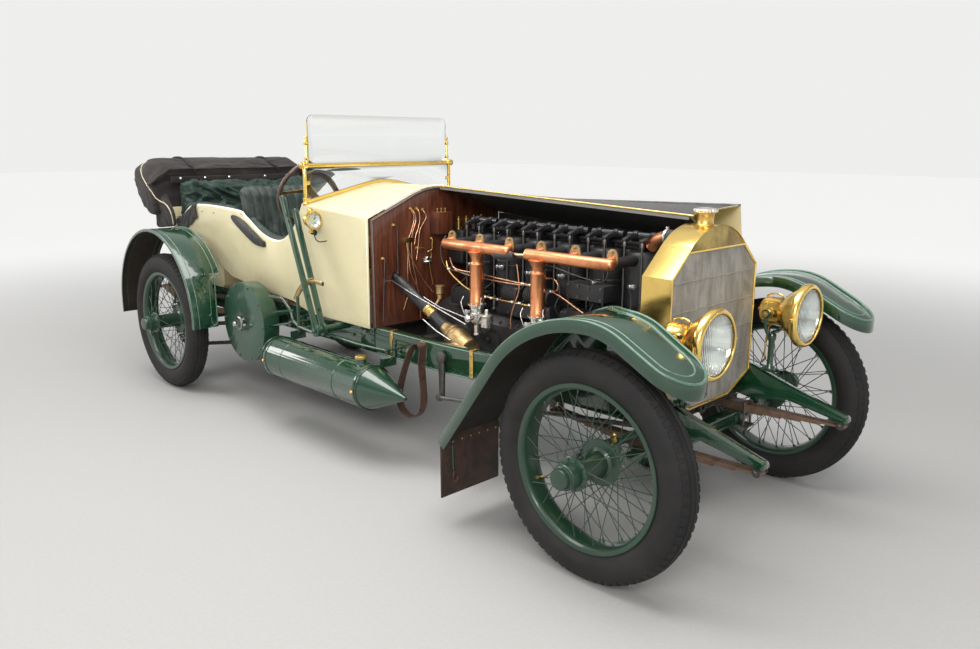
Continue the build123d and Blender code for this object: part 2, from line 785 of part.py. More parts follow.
def chain_guard():
    """Cover disc with a hoop that stays open towards the rear wheel."""
    disc = Cylinder(guard_radius, guard_wall) - Cylinder(24 + running_gap, guard_wall)
    hoop = Cylinder(guard_radius, guard_width) - Cylinder(guard_radius - guard_wall, guard_width)
    opening = extrude(make_face(Polyline((0, 0), (-400, 330), (-400, -400), (0, -400), close=True)),
                      guard_width * 2,
                      both=True)
    cover = Pos(0, 0, -guard_wall / 2) * disc + Pos(0, 0, -guard_width / 2) * (hoop - opening)
    stay_foot = rail_half_width + running_gap - guard_face
    stay = box(guard_radius - 45, guard_radius - 13, 60, 84, stay_foot, 30 - guard_width)
    foot_plate = box(guard_radius - 60, guard_radius + 2, 40, 96, stay_foot, stay_foot + 6)
    return outboard(cover + stay + foot_plate, RIGHT, front_sprocket_station, guard_face,
                    front_sprocket_height)


write("gearbox", gearbox())
write("drive_chains", *both(chain()), front_sprocket(LEFT), front_sprocket(RIGHT))
write("chain_guards", *both(chain_guard()))


# Engine

cylinder_stations = [first_cylinder + i * cylinder_pitch for i in range(cylinder_count)]


def crankcase():
    w, b = crankcase_half_width, crankcase_bottom
    back, front = cylinder_stations[0] - 130, cylinder_stations[-1] + 130
    case = front_plate([(-w * 0.55, b), (w * 0.55, b), (w, b + 110), (w, cylinder_foot - 40),
                        (w - 30, cylinder_foot),
                        (30 - w, cylinder_foot), (-w, cylinder_foot - 40), (-w, b + 110)], back, front)
    arm_top = rail_top - rail_wall
    for station in (back + 60, front - 260):
        share = min(1.0, max(0.0, (station + 60 - rail_taper_start) / (rail_taper_end - rail_taper_start)))
        reach = rail_half_width - rail_wall - share * (rail_half_width - rail_front_half_width) - 1
        case += box(station, station + 60, -reach, reach, arm_top - 50, arm_top)
    case += rod((back - 130, 0, 600), (back, 0, 600), 190)
    case += rod((front, 0, handle_height), (handle_station - 36 - bonnet_gap, 0, handle_height), 26)
    return case


def cylinders():
    barrels = []
    intake_reach = manifold_line - manifold_radius - running_gap
    exhaust_reach = exhaust_line - exhaust_radius - running_gap
    foot_flange = cylinder_radius + 12
    for station in cylinder_stations:
        barrel = turned([(0, cylinder_foot), (foot_flange, cylinder_foot),
                         (foot_flange, cylinder_foot + 18),
                         (cylinder_radius, cylinder_foot + 18), (cylinder_radius, cylinder_top - 14),
                         (cylinder_radius - 14, cylinder_top), (0, cylinder_top)])
        barrel += rod((0, 0, manifold_height), (0, -intake_reach, manifold_height), 24)
        barrel += rod((0, 0, exhaust_height), (0, exhaust_reach, exhaust_height), 30)
        barrels.append(Pos(station, 0, 0) * barrel)
    return barrels


def valve_gear():
    """Rockers, springs and push rods; each row is (station offset, side of the head)."""
    parts = []
    for station in cylinder_stations:
        post = box(station - 14, station + 14, -30, 30, cylinder_top, valve_gear_height)
        shaft = rod((station - 88, 0, valve_gear_height - 10), (station + 88, 0, valve_gear_height - 10),
                    17)
        group = post + shaft
        for offset, face in ((-46, RIGHT), (46, LEFT)):
            x = station + offset
            group += box(x - 11, x + 11, -96, 70, valve_gear_height - 22, valve_gear_height + 2)
            group += rod((x, 40, cylinder_top), (x, 40, valve_gear_height), 19)
            group += rod((x, -88, cylinder_foot + 18), (x, -88, valve_gear_height), 7)
        parts.append(group)
    return parts


def riser_station(first):
    return cylinder_stations[first] + 12 + (cylinder_pitch if first == 0 else 0)


def intake_manifold(first):
    """Pipe over three ports with a riser below it."""
    ports = cylinder_stations[first:first + 3]
    y, x = -manifold_line, riser_station(first)
    header = rod((ports[0] - 34, y, manifold_height), (ports[-1] + 34, y, manifold_height), manifold_radius)
    header += rod((x, y, manifold_height - 70), (x, y, manifold_height), manifold_radius - 1)
    header += rod((x, y, riser_foot), (x, y, manifold_height - 40), 36)
    return header


def carburettor(first):
    x, y = riser_station(first), -manifold_line
    top = riser_foot - running_gap
    body = rod((x, y, 742), (x, y, top), 34) + rod((x, y, top - 20), (x, y, top), 46)
    body += rod((x + 70, y, 738), (x + 70, y, 812), 32) + rod((x, y, 760), (x + 70, y, 760), 14)
    body += rod((x, y, 690), (x, y, 760), 14) + rod((x, y, 705),
                                                    (x, -crankcase_half_width - running_gap, 705), 11)
    return body


def exhaust():
    y, z = exhaust_line, exhaust_height
    header = rod((cylinder_stations[0] - 40, y, z), (cylinder_stations[-1] + 34, y, z), exhaust_radius)
    down = pipe([(cylinder_stations[0], y, z), (cylinder_stations[0] - 130, y + 30, z), (2080, 280, 820),
                 (2030, 290, 470),
                 (1700, 290, 430)], [60, 110, 110], 30)
    silencer = rod((1180, 290, 430), (1720, 290, 430), 78)
    tail = rod((300, 290, 430), (1180, 290, 430), 24)
    return header + down + silencer + tail


write("crankcase", crankcase())
write("cylinders", *cylinders())
write("valve_gear", *valve_gear())
write("intake_manifolds", intake_manifold(0), intake_manifold(3))
write("carburettors", carburettor(0), carburettor(3))
write("exhaust", exhaust())


# Radiator

def radiator_outline(grow):
    """Front outline as a face: straight lower sides and shoulders under an arched head."""
    g = grow
    low = radiator_foot - g
    chine = radiator_chine - g * 0.4
    side = radiator_half_width + g
    shoulder = radiator_shoulder + g * 0.4
    head_half = radiator_head_half_width + g
    head = radiator_head + g * 0.4
    foot_half = radiator_foot_half_width + g * 0.4
    lines = Polyline((head_half, head), (side, shoulder), (side, chine), (foot_half, low),
                     (-foot_half, low),
                     (-side, chine), (-side, shoulder), (-head_half, head))
    arch = ThreePointArc((-head_half, head), (0, radiator_crown), (head_half, head))
    return make_face([*lines.edges(), arch])


def core_outline(inset):
    g = inset
    return make_face(Polyline(
        (radiator_head_half_width - g, radiator_head), (radiator_half_width - g,
                                                        radiator_shoulder - g * 0.4),
        (radiator_half_width - g, radiator_chine + g * 0.4),
        (radiator_foot_half_width - g * 0.4, radiator_foot + g),
        (g * 0.4 - radiator_foot_half_width, radiator_foot + g),
        (g - radiator_half_width, radiator_chine + g * 0.4),
        (g - radiator_half_width, radiator_shoulder - g * 0.4),
        (g - radiator_head_half_width, radiator_head), close=True))


def radiator_shell():
    shell = extrude(Plane.YZ.offset(radiator_back) * radiator_outline(radiator_rim), radiator_depth)
    shell -= extrude(Plane.YZ.offset(radiator_back - 1) * core_outline(3), radiator_depth + 2)
    filler = turned([(0, 0), (34, 0), (34, 44), (30, 50), (48, 50), (50, 56), (50, 66), (40, 72), (0, 72)])
    middle = (radiator_front + radiator_back) / 2
    seat = box(radiator_back, radiator_back + 20, -12, 12, radiator_crown - 4,
               hinge_height(radiator_back + 20) - hinge_radius - running_gap)
    return shell + seat + Pos(middle, 0, filler_top - 72) * filler


def radiator_core():
    return extrude(Plane.YZ.offset(radiator_back + 12) * core_outline(3 + running_gap), radiator_depth - 16)


write("radiator_shell", radiator_shell())
write("radiator_core", radiator_core())


# Dash and cowl

def arch_edges(half, shoulder, apex, radius=arch_radius):
    """Sloping sides with a rounded crown, from the left shoulder to the right one."""
    return FilletPolyline((half, shoulder), (0, apex), (-half, shoulder), radius=radius)


def arched_face(half, shoulder, apex, foot_half, foot):
    top = arch_edges(half, shoulder, apex)
    sides = Polyline((-half, shoulder), (-foot_half, foot), (foot_half, foot), (half, shoulder))
    return make_face([*top.edges(), *sides.edges()])


def dash():
    face = arched_face(dash_half_width, dash_shoulder, dash_apex, dash_half_width - 6, rail_top)
    board = extrude(Plane.YZ.offset(dash_station) * face, dash_thickness)
    board += box(dash_station + 6, dash_station + dash_thickness, -12, 12, dash_shoulder,
                 hinge_height(dash_station + 6) - hinge_radius - running_gap - 1)
    return board - on_column(Cylinder(30, 200), (column_station - dash_station) / cos(radians(column_rake)))


def cowl():
    def section(station, half, shoulder, apex, foot_half, inset):
        face = arched_face(half - inset, shoulder - inset * 0.6, apex - inset, foot_half - inset,
                           body_floor)
        return Plane.YZ.offset(station) * face
    def hull(inset):
        back = section(screen_station, body_shoulder_half_width, body_shoulder, screen_apex,
                       body_foot_half_width, inset)
        front = section(dash_station - running_gap, dash_half_width + 8, dash_shoulder + 6, dash_apex + 6,
                        body_foot_half_width, inset)
        return loft([back, front])
    shell = hull(0) - hull(cowl_wall)
    return shell - box(screen_station - 10, dash_station + 10, -body_foot_half_width + cowl_wall,
                       body_foot_half_width - cowl_wall, body_floor - 10, body_floor + 10)


write("bulkhead", dash())
write("cowl", cowl())


# Body tub

tub_back = -330.0
cabin_back = 215.0
locker_inset = 8.0
seat_box_back = 590.0
seat_box_front = 1190.0
seat_box_half_width = 430.0
seat_box_top = 840.0
locker_top = 1013.0


def body_side():
    """Side panel cut down beside the front seat and swept up over the rear wheel."""
    top = [(tub_back, 1090), (-180, 1100), (60, 1200), (610, 1200), (720, 1165), (840, 1095), (930, 1060),
           (1010, 1048),
           (1090, 1050), (1180, 1085), (1290, 1170), (screen_station - running_gap, body_shoulder)]
    foot = [(screen_station - running_gap, body_floor), (1300, 662), (1150, 705), (640, 742), (430, 770),
            (300, 830),
            (225, 930), (130, 1000), (-60, 1030), (tub_back, 1035)]
    outline = side_plate(top + foot, -900, -300)
    low, high = body_floor - 60, body_shoulder + 60
    slab = front_plate([(-side_half(low), low), (-side_half(high), high), (panel - side_half(high), high),
                        (panel - side_half(low), low)], tub_back - 10, screen_station + 10)
    return outline & slab


def body_rear():
    z0, z1 = locker_top + 22, 1170.0
    inset = panel + running_gap
    back = front_plate([(inset - side_half(z0), z0), (inset - side_half(z1), z1),
                        (side_half(z1) - inset, z1),
                        (side_half(z0) - inset, z0)], tub_back, tub_back + panel)
    half = rail_half_width - locker_inset
    front = cabin_back - running_gap
    deck = box(tub_back, front, -half, half, locker_top - panel, locker_top)
    riser = box(front - panel, front, -half, half, rail_top, locker_top - panel)
    tail = box(tub_back, tub_back + panel, -half, half, rail_top, z0 + 5)
    sills = [box(tub_back, front, side * half, side * (half - panel), rail_top,
                 locker_top) for side in (LEFT, RIGHT)]
    return back + deck + riser + tail + sills


def floor():
    boards = box(cabin_back, dash_station - running_gap, -rail_half_width, rail_half_width, rail_top,
                 rail_top + panel)
    half, back, front = seat_box_half_width, seat_box_back, seat_box_front
    seat_box = box(back, front, -half, half, rail_top + panel, seat_box_top)
    seat_box -= box(back + panel, front - panel, panel - half, half - panel, rail_top + panel,
                    seat_box_top - panel)
    return boards + seat_box


right_side = body_side()
write("body_side_right", right_side)
write("body_side_left", mirror(right_side, about=Plane.XZ))
write("body_rear", body_rear())
write("floor", floor())


# Seats and hood

def front_seat():
    low = seat_box_top + running_gap
    cushion = box(745, 1215, -425, 425, low, 985)
    back = side_plate([(seat_box_back, low), (735, low), (705, 1340), (660, 1370), (610, 1350)], -470, 470)
    return [cushion, back]


def rear_seat():
    cushion = box(-90, 420, -430, 430, locker_top + running_gap, 1120)
    wall = tub_back + panel + running_gap
    back = side_plate([(wall, 1040), (-110, 1125), (-150, 1330), (-215, 1360), (-295, 1320), (wall, 1190)],
                      -484, 484)
    return [cushion, back]


def folded_hood():
    bundle = side_plate([(-705, 1310), (-690, 1440), (-640, 1498), (-520, 1503), (-320, 1450), (-318, 1372),
                         (tub_back - running_gap, 1200), (tub_back - running_gap, 1120), (-420, 1110),
                         (-560, 1190)],
                        -640, 640)
    ends = [(-640, 1100), (-640, 1400), (-545, 1510), (545, 1510), (640, 1400), (640, 1100)]
    return bundle & front_plate(ends, -hood_reach - 5, -200)


write("front_seat", *front_seat())
write("rear_seat", *rear_seat())
write("folded_hood", folded_hood())


# Windscreen

screen_rail = 1494.0
screen_half = 526.0
glass_top = 1764.0
post_radius = 12.0
finger_inset = 18.0
finger_radius = 8.0
sill_height = 20.0
sill_seat = 1.7


def sill_outline(rise):
    """The area under a line that follows the cowl's back edge, rise above it."""
    return arched_face(screen_half, body_shoulder + 3 + rise, screen_apex + rise, screen_half, body_floor)


def windscreen_frame():
    x = screen_station + 16
    frame = rod((x, -screen_half, screen_rail), (x, screen_half, screen_rail), post_radius)
    for side in (LEFT, RIGHT):
        y = side * screen_half
        frame += rod((x, y, body_shoulder + 6), (x, y, screen_rail + 4), post_radius - 1.5)
        frame += rod((x, y - side * finger_inset, screen_rail), (x, y - side * finger_inset, 1640),
                     finger_radius)
    sill = extrude(Plane.YZ.offset(x - 8) * sill_outline(sill_height), 16)
    return frame + (sill - extrude(Plane.YZ.offset(x - 9) * sill_outline(sill_seat), 18))


def windscreen_glass():
    x = screen_station + 16
    upper_low = screen_rail + post_radius + running_gap
    upper = Pos(0, (upper_low + glass_top) / 2) * RectangleRounded(
        2 * (screen_half - finger_inset - finger_radius - running_gap), glass_top - upper_low, 40)
    lower_high = screen_rail - post_radius - running_gap
    lower = Pos(0, (body_floor + lower_high) / 2) * Rectangle(
        2 * (screen_half - post_radius - running_gap), lower_high - body_floor)
    panes = [extrude(Plane.YZ.offset(x - 3) * pane, 6) for pane in (upper,
                                                                    lower - sill_outline(sill_height + 1))]
    return panes


write("windscreen_frame", windscreen_frame())
write("windscreen_glass", *windscreen_glass())


# Levers

lever_line = 620.0
lever_station = 1630.0
lever_height = 632.0
gate_radius = 260.0


def hand_levers():
    """Brake and gear levers on a cross shaft; each row is (line, top station, top height)."""
    rail_face = -rail_half_width - running_gap
    parts = rod((lever_station, -lever_line - 34, lever_height), (lever_station, rail_face, lever_height),
                18)
    for line, x, z in ((-lever_line - 22, 1350, 1330), (-lever_line + 22, 1400, 1260)):
        foot = (lever_station, line, lever_height)
        parts += square_bar(foot, (x, line, z), 13, 30)
        parts += rod((lever_station, line - 9, lever_height), (lever_station, line + 9, lever_height), 34)
    quadrant = Rot(X=90) * (Cylinder(gate_radius + 10, 10) - Cylinder(gate_radius - 10, 10))
    wedge = side_plate([(0, 0), (-300, 190), (-300, 420), (60, 420), (60, 300)], -10, 10)
    gate = Pos(lever_station, -lever_line, lever_height) * (quadrant & wedge)
    stay_station = lever_station - 206
    stay_top = lever_height + (gate_radius ** 2 - 206 ** 2) ** 0.5
    stay = rod((stay_station, rail_face, lever_height - 32),
               (stay_station, -lever_line - 4, lever_height - 32), 10)
    stay += rod((stay_station, -lever_line, lever_height - 42), (stay_station, -lever_line, stay_top), 9)
    return parts + gate + stay


write("hand_levers", hand_levers())


# Lamps

lamp_station = 3862.0
lamp_line = 375.0
lamp_height = 903.0
lens_radius = 116.0
fork_setback = 150.0
fork_half = 74.0
side_lamp_station = 1533.0
side_lamp_line = 566.0
side_lamp_height = 1209.0


def headlamp(side):
    """Bell that steps down to a lamp can, turned about its lens axis."""
    bell = turned([(0, -230), (14, -230), (20, -216), (14, -204), (52, -202), (62, -192), (66, -110),
                   (82, -92),
                   (112, -44), (126, -26), (134, -22), (136, 0), (lens_radius + 1, 6),
                   (lens_radius + 1, -8),
                   (100, -26), (60, -84), (0, -100)])
    lamp = Pos(lamp_station, side * lamp_line, lamp_height) * Rot(Y=90) * bell
    x, y = lamp_station - fork_setback, side * lamp_line
    return lamp + rod((x, y - fork_half, lamp_height), (x, y + fork_half, lamp_height), 14)


def headlamp_lens(side):
    lens = turned([(0, -6), (lens_radius, -6), (lens_radius, -1), (0, 8)])
    return Pos(lamp_station, side * lamp_line, lamp_height) * Rot(Y=90) * lens


def lamp_bracket(side):
    """Post on the frame horn with a fork that holds the lamp by its two trunnions."""
    x, y = lamp_station - fork_setback, side * lamp_line
    reach = fork_half + running_gap + 9
    cradle = lamp_height - 96
    fork = pipe([(x, y - reach, lamp_height + 8), (x, y - reach, cradle), (x, y + reach, cradle),
                 (x, y + reach, lamp_height + 8)], 50, 9)
    slope = (horn_top[2][1] - horn_top[1][1]) / (horn_top[2][0] - horn_top[1][0])
    post_radius = 13.0
    foot = horn_top[1][1] + (x - post_radius - horn_top[1][0]) * slope + running_gap
    return fork + rod((x, side * spring_line, foot), (x, side * spring_line, cradle), post_radius)


def side_lamp(side):
    """Short lamp whose stay seats on the cowl's side."""
    can = turned([(0, -78), (24, -78), (36, -64), (38, -10), (50, -4), (50, 6), (44, 6), (40, 0), (0, 0)])
    y = side * side_lamp_line
    shell = Pos(side_lamp_station, y, side_lamp_height) * Rot(Y=90) * can
    x, z = side_lamp_station - 32, side_lamp_height - 60
    share = (x - 8 - screen_station) / (dash_station - screen_station)
    half = body_shoulder_half_width + share * (dash_half_width + 8 - body_shoulder_half_width)
    shoulder = body_shoulder + share * (dash_shoulder + 6 - body_shoulder)
    climb = (z + 8 - body_floor) / (shoulder - body_floor)
    cowl_face = body_foot_half_width + (half - body_foot_half_width) * climb
    stay = rod((x, y, side_lamp_height), (x, y, z - 8), 8)
    return shell + stay + rod((x, y, z), (x, side * (cowl_face + running_gap), z), 8)


write("lamp_shells", headlamp(LEFT), headlamp(RIGHT), side_lamp(LEFT), side_lamp(RIGHT))
write("lamp_lenses", headlamp_lens(LEFT), headlamp_lens(RIGHT))
write("lamp_brackets", lamp_bracket(LEFT), lamp_bracket(RIGHT))


# Fenders

front_fender_line = [(2830, 373), (3302, 1021), (3687, 1021), (4040, 834)]
front_fender_bends = [600, 320]
rear_fender_line = [(-533, 440), (-533, 1062), (563, 1062), (563, 486)]
rear_fender_bends = [546, 546]


def fender_shell(line, bends, skirt, plan, plan_inside, edge):
    """A sheet along a line with skirts round its plan outline."""
    outer = extruded_strip(line, bends, -fender_half_width, -edge, skirt) & plan
    inner = extruded_strip(line, bends, -fender_half_width, -edge, skirt + 2, fender_sheet) & plan_inside
    return outer - inner


def tongue(inset):
    """Plan of the front fender: wide beside the bonnet, drawn in beside the lamp, with a round tip."""
    outer, inner = inset - fender_half_width, -front_fender_inner - inset
    tip_inner = -front_fender_tip_inner - inset
    radius = (tip_inner - outer) / 2
    tip_centre = front_fender_tip - inset - radius
    outline = [(2700, outer), (tip_centre, outer), (tip_centre, tip_inner), (3600, tip_inner + 26),
               (3420, inner), (3040, inner), (3040, inner - 28), (2700, inner - 28)]
    plan = top_plate(outline, 0, 1200)
    return plan + Pos(tip_centre, (outer + tip_inner) / 2, 600) * Cylinder(radius, 1200)


def under_line(points, bend_radii, depth):
    """The area below a filleted line, depth under it."""
    edge = FilletPolyline(*offset_corners(points, depth), radius=[r - depth for r in bend_radii])
    start, end = edge @ 0, edge @ 1
    return make_face([*edge.edges(), *Polyline((end.X, end.Y), (end.X, 0), (start.X, 0),
                                               (start.X, start.Y)).edges()])


def front_fender():
    """Tongue-shaped sheet with a valance wall and a shelf that seats on the frame rail."""
    shell = fender_shell(front_fender_line, front_fender_bends, fender_skirt, tongue(0),
                         tongue(fender_sheet),
                         front_fender_inner)
    low = rail_top + running_gap
    wall_back, wall_front = 3060, 3420
    wall_outer, wall_inner = -front_fender_inner, fender_sheet - front_fender_inner
    valance = box(wall_back, wall_front, wall_outer, wall_inner, low, 1100)
    under = extrude(Plane.XZ.offset(-wall_inner) * under_line(front_fender_line, front_fender_bends, 1),
                    wall_inner - wall_outer)
    seat = rail_front_half_width - rail_flange + 10
    shelf = top_plate([(wall_back, wall_outer), (wall_front, wall_outer), (wall_front, -seat),
                       (wall_back, -seat)],
                      low, low + 4)
    return shell + (valance & under) + shelf


def rear_plan(inset):
    outer, inner = -fender_half_width + inset, -rear_fender_inner - inset
    plan = box(-700, 700, outer, inner, 0, 1200)
    return plan - box(200, 700, -rear_fender_notch - inset, inner + 5, 0, 810 + inset)


def rear_fender():
    """Wheel arch with rolled lips and one stay to the sill of the rear locker."""
    lip = 16.0
    shell = fender_shell(rear_fender_line, rear_fender_bends, lip, rear_plan(0), rear_plan(fender_sheet),
                         rear_fender_inner)
    sill_face = rail_half_width - locker_inset + running_gap
    return shell + rod((-200, -rear_fender_inner - 8, 1008), (-200, -sill_face, 1008), 8)


right_front_fender = front_fender()
right_rear_fender = rear_fender()
write("front_fender_right", right_front_fender)
write("front_fender_left", mirror(right_front_fender, about=Plane.XZ))
write("rear_fender_right", right_rear_fender)
write("rear_fender_left", mirror(right_rear_fender, about=Plane.XZ))


def mudflap():
    """Leather flap tucked under the front fender's foot."""
    (x0, z0), (x1, z1) = front_fender_line[:2]
    slope = (z1 - z0) / (x1 - x0)
    sheet_depth = fender_sheet * hypot(x1 - x0, z1 - z0) / (x1 - x0)

    def under(x):
        return z0 + (x - x0) * slope - sheet_depth - running_gap
    edge = fender_sheet + running_gap
    return side_plate([(x0 + 10, under(x0 + 10)), (x0 + 14, 120), (x0 + 20, 120),
                       (x0 + 20, under(x0 + 20))],
                      edge - fender_half_width, -front_fender_inner - 28 - edge)


write("mudflaps", *both(mudflap()))


# Tanks

tank_radius = 115.0
tank_line = 600.0
tank_height = 398.0
tank_back = 1150.0
tank_front = 2070.0
tank_nose = 2330.0


def side_tank():
    length = tank_front - tank_back
    shell = turned([(0, 0), (tank_radius - 26, 0), (tank_radius, 24), (tank_radius, 30),
                    (tank_radius + 4, 30),
                    (tank_radius + 4, 54), (tank_radius, 54), (tank_radius, length - 34),
                    (tank_radius + 4, length - 34),
                    (tank_radius + 4, length - 10), (tank_radius, length - 10), (tank_radius - 3, length),
                    (9, length + tank_nose - tank_front), (0, length + tank_nose - tank_front)])
    tank = Pos(tank_back, -tank_line, tank_height) * Rot(Y=90) * shell
    tank += Pos(1970, -tank_line, tank_height + tank_radius + 8) * Cylinder(30, 30)
    rail_face = -rail_half_width - running_gap
    for station in (tank_back + 42, tank_front - 22):
        tank += box(station - 12, station + 12, -tank_line + 70, rail_face, tank_height + 90,
                    tank_height + tank_radius + 20)
        tank += box(station - 12, station + 12, rail_face - 8, rail_face, tank_height + 90,
                    rail_bottom + 100)
    return tank


fuel_tank_station = -420.0
fuel_tank_radius = 112.0


def fuel_tank():
    """Drum hung between the frame rails behind the rear axle."""
    x, z = fuel_tank_station, rail_top - 130
    body = rod((x, -300, z), (x, 300, z), fuel_tank_radius)
    inner = rail_half_width - rail_wall
    body += box(x - 30, x + 30, -inner, inner, rail_top - 22, rail_top - 6)
    for side in (LEFT, RIGHT):
        body += box(x - 20, x + 20, side * 180 - 15, side * 180 + 15, z, rail_top - 14)
    return body


write("side_tank", side_tank())
write("fuel_tank", fuel_tank())


# Bonnet

def leaf_section(station, half, shoulder, apex, thickness):
    """Half section of the top, from the centre hinge to the right shoulder."""
    return Plane.YZ.offset(station) * make_face(Polyline(
        (-hinge_offset, apex), (-half, shoulder), (-half, shoulder - thickness),
        (-hinge_offset, apex - thickness),
        close=True))


def top_leaf():
    back = leaf_section(bonnet_back, dash_half_width, dash_shoulder, bonnet_back_apex, bonnet_sheet)
    front = leaf_section(bonnet_front, bonnet_front_half_width, bonnet_front_shoulder, bonnet_front_apex,
                         bonnet_sheet)
    return loft([back, front])


def side_leaf():
    """Side sheet from the shoulder to the frame rail, cut away in front where the fender's valance rises."""
    low, drop = rail_top + bonnet_gap + 4, shoulder_drop + shoulder_pin_radius + running_gap

    def section(station, half, shoulder):
        return Plane.YZ.offset(station) * make_face(Polyline(
            (-half - 1, shoulder - drop), (-half - 1, low), (bonnet_sheet - half - 1, low),
            (bonnet_sheet - half - 1, shoulder - drop), close=True))
    sheet = loft([section(bonnet_back, dash_half_width, dash_shoulder),
                  section(bonnet_front, bonnet_front_half_width, bonnet_front_shoulder)])
    cut = side_plate([(2994, low - 10), (3114, 768), (3246, 878), (bonnet_front + 5, 940),
                      (bonnet_front + 5, low - 10)],
                     -rail_half_width - 100, 0)
    return sheet - cut


centre_back = Vector(bonnet_back, 0, hinge_height(bonnet_back))
centre_front = Vector(bonnet_front, 0, hinge_height(bonnet_front))
shoulder_back = Vector(bonnet_back, -dash_half_width - 1, dash_shoulder - shoulder_drop)
shoulder_front = Vector(bonnet_front, -bonnet_front_half_width - 1, bonnet_front_shoulder - shoulder_drop)
centre_axis = Axis(centre_back, centre_front - centre_back)
shoulder_axis = Axis(shoulder_back, shoulder_front - shoulder_back)


def open_top(shape):
    return shape.rotate(centre_axis, -bonnet_fold)


def open_side(shape):
    return open_top(shape.rotate(shoulder_axis, -side_fold))


closed_top = top_leaf() + rod(shoulder_back, shoulder_front, shoulder_pin_radius)
closed_side = side_leaf()
pin_back, pin_front = dash_station + 8, radiator_back + 18
hinge_pin = rod((pin_back, 0, hinge_height(pin_back)), (pin_front, 0, hinge_height(pin_front)),
                hinge_radius)
write("bonnet_left", mirror(closed_top, about=Plane.XZ), mirror(closed_side, about=Plane.XZ), hinge_pin)
write("bonnet_right_top", open_top(closed_top))
write("bonnet_right_side", open_side(closed_side))


def bonnet_strap():
    """Leather strap that hangs in a loop from the frame rail."""
    radius = 5.0
    top_line = -rail_half_width - radius - running_gap
    return pipe([(2170, top_line, 640), (2120, top_line - 10, 440), (2150, top_line - 16, 270),
                 (2250, top_line - 16, 270), (2280, top_line - 10, 440), (2230, top_line, 640)],
                 [70, 45, 45, 70], radius)


write("bonnet_strap", bonnet_strap())
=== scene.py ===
import bmesh
import bpy
import random
from math import acos, atan2, cos, hypot, pi, radians, sin
from mathutils import Matrix, Vector, noise


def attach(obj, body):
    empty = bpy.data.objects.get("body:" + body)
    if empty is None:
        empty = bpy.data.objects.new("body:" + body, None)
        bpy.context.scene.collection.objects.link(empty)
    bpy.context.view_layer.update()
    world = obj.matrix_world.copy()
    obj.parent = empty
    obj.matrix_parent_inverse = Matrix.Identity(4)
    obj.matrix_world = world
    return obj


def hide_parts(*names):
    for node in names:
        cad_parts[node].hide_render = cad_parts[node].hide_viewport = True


# An open touring car of about 1910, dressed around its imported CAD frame.
# Shapes are written in station millimetres, as in the part's source: X from the rear axle, +Y left, +Z up.

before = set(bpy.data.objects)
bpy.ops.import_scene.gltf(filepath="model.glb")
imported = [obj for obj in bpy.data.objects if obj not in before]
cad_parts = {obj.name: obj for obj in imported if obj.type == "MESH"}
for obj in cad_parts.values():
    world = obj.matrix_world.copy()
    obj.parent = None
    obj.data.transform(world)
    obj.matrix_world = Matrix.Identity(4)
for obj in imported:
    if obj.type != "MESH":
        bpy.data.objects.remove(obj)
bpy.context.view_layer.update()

MIDDLE = 1687.5
LEFT, RIGHT = 1, -1
ROOT = "car"
NOISE_SEED = 1795720041
noise.seed_set(NOISE_SEED)  # Otherwise noise_vector starts from the clock and the folds change with each run.


def metres(point):
    """A point of station millimetres in the row frame's metres."""
    return Vector(((point[0] - MIDDLE) / 1000, point[1] / 1000, point[2] / 1000))


# Finishes

class Wire:
    """A shader socket on which Python arithmetic adds Math nodes."""

    def __init__(self, finish, socket):
        self.finish = finish
        self.socket = socket

    def math(self, operation, *values):
        return self.finish.node("ShaderNodeMath", {"operation": operation}, dict(enumerate(values)))

    def __add__(self, other):
        return self.math("ADD", self, other)

    def __radd__(self, other):
        return self.math("ADD", other, self)

    def __sub__(self, other):
        return self.math("SUBTRACT", self, other)

    def __rsub__(self, other):
        return self.math("SUBTRACT", other, self)

    def __mul__(self, other):
        return self.math("MULTIPLY", self, other)

    def __rmul__(self, other):
        return self.math("MULTIPLY", other, self)

    def __truediv__(self, other):
        return self.math("DIVIDE", self, other)

    def __pow__(self, other):
        return self.math("POWER", self, other)

    def wave(self):
        return self.math("SINE", self)

    def step(self, low, high):
        """Rises smoothly from 0 at low to 1 at high."""
        return self.finish.node("ShaderNodeMapRange", {"interpolation_type": "SMOOTHSTEP"},
            {"Value": self, "From Min": low, "From Max": high})


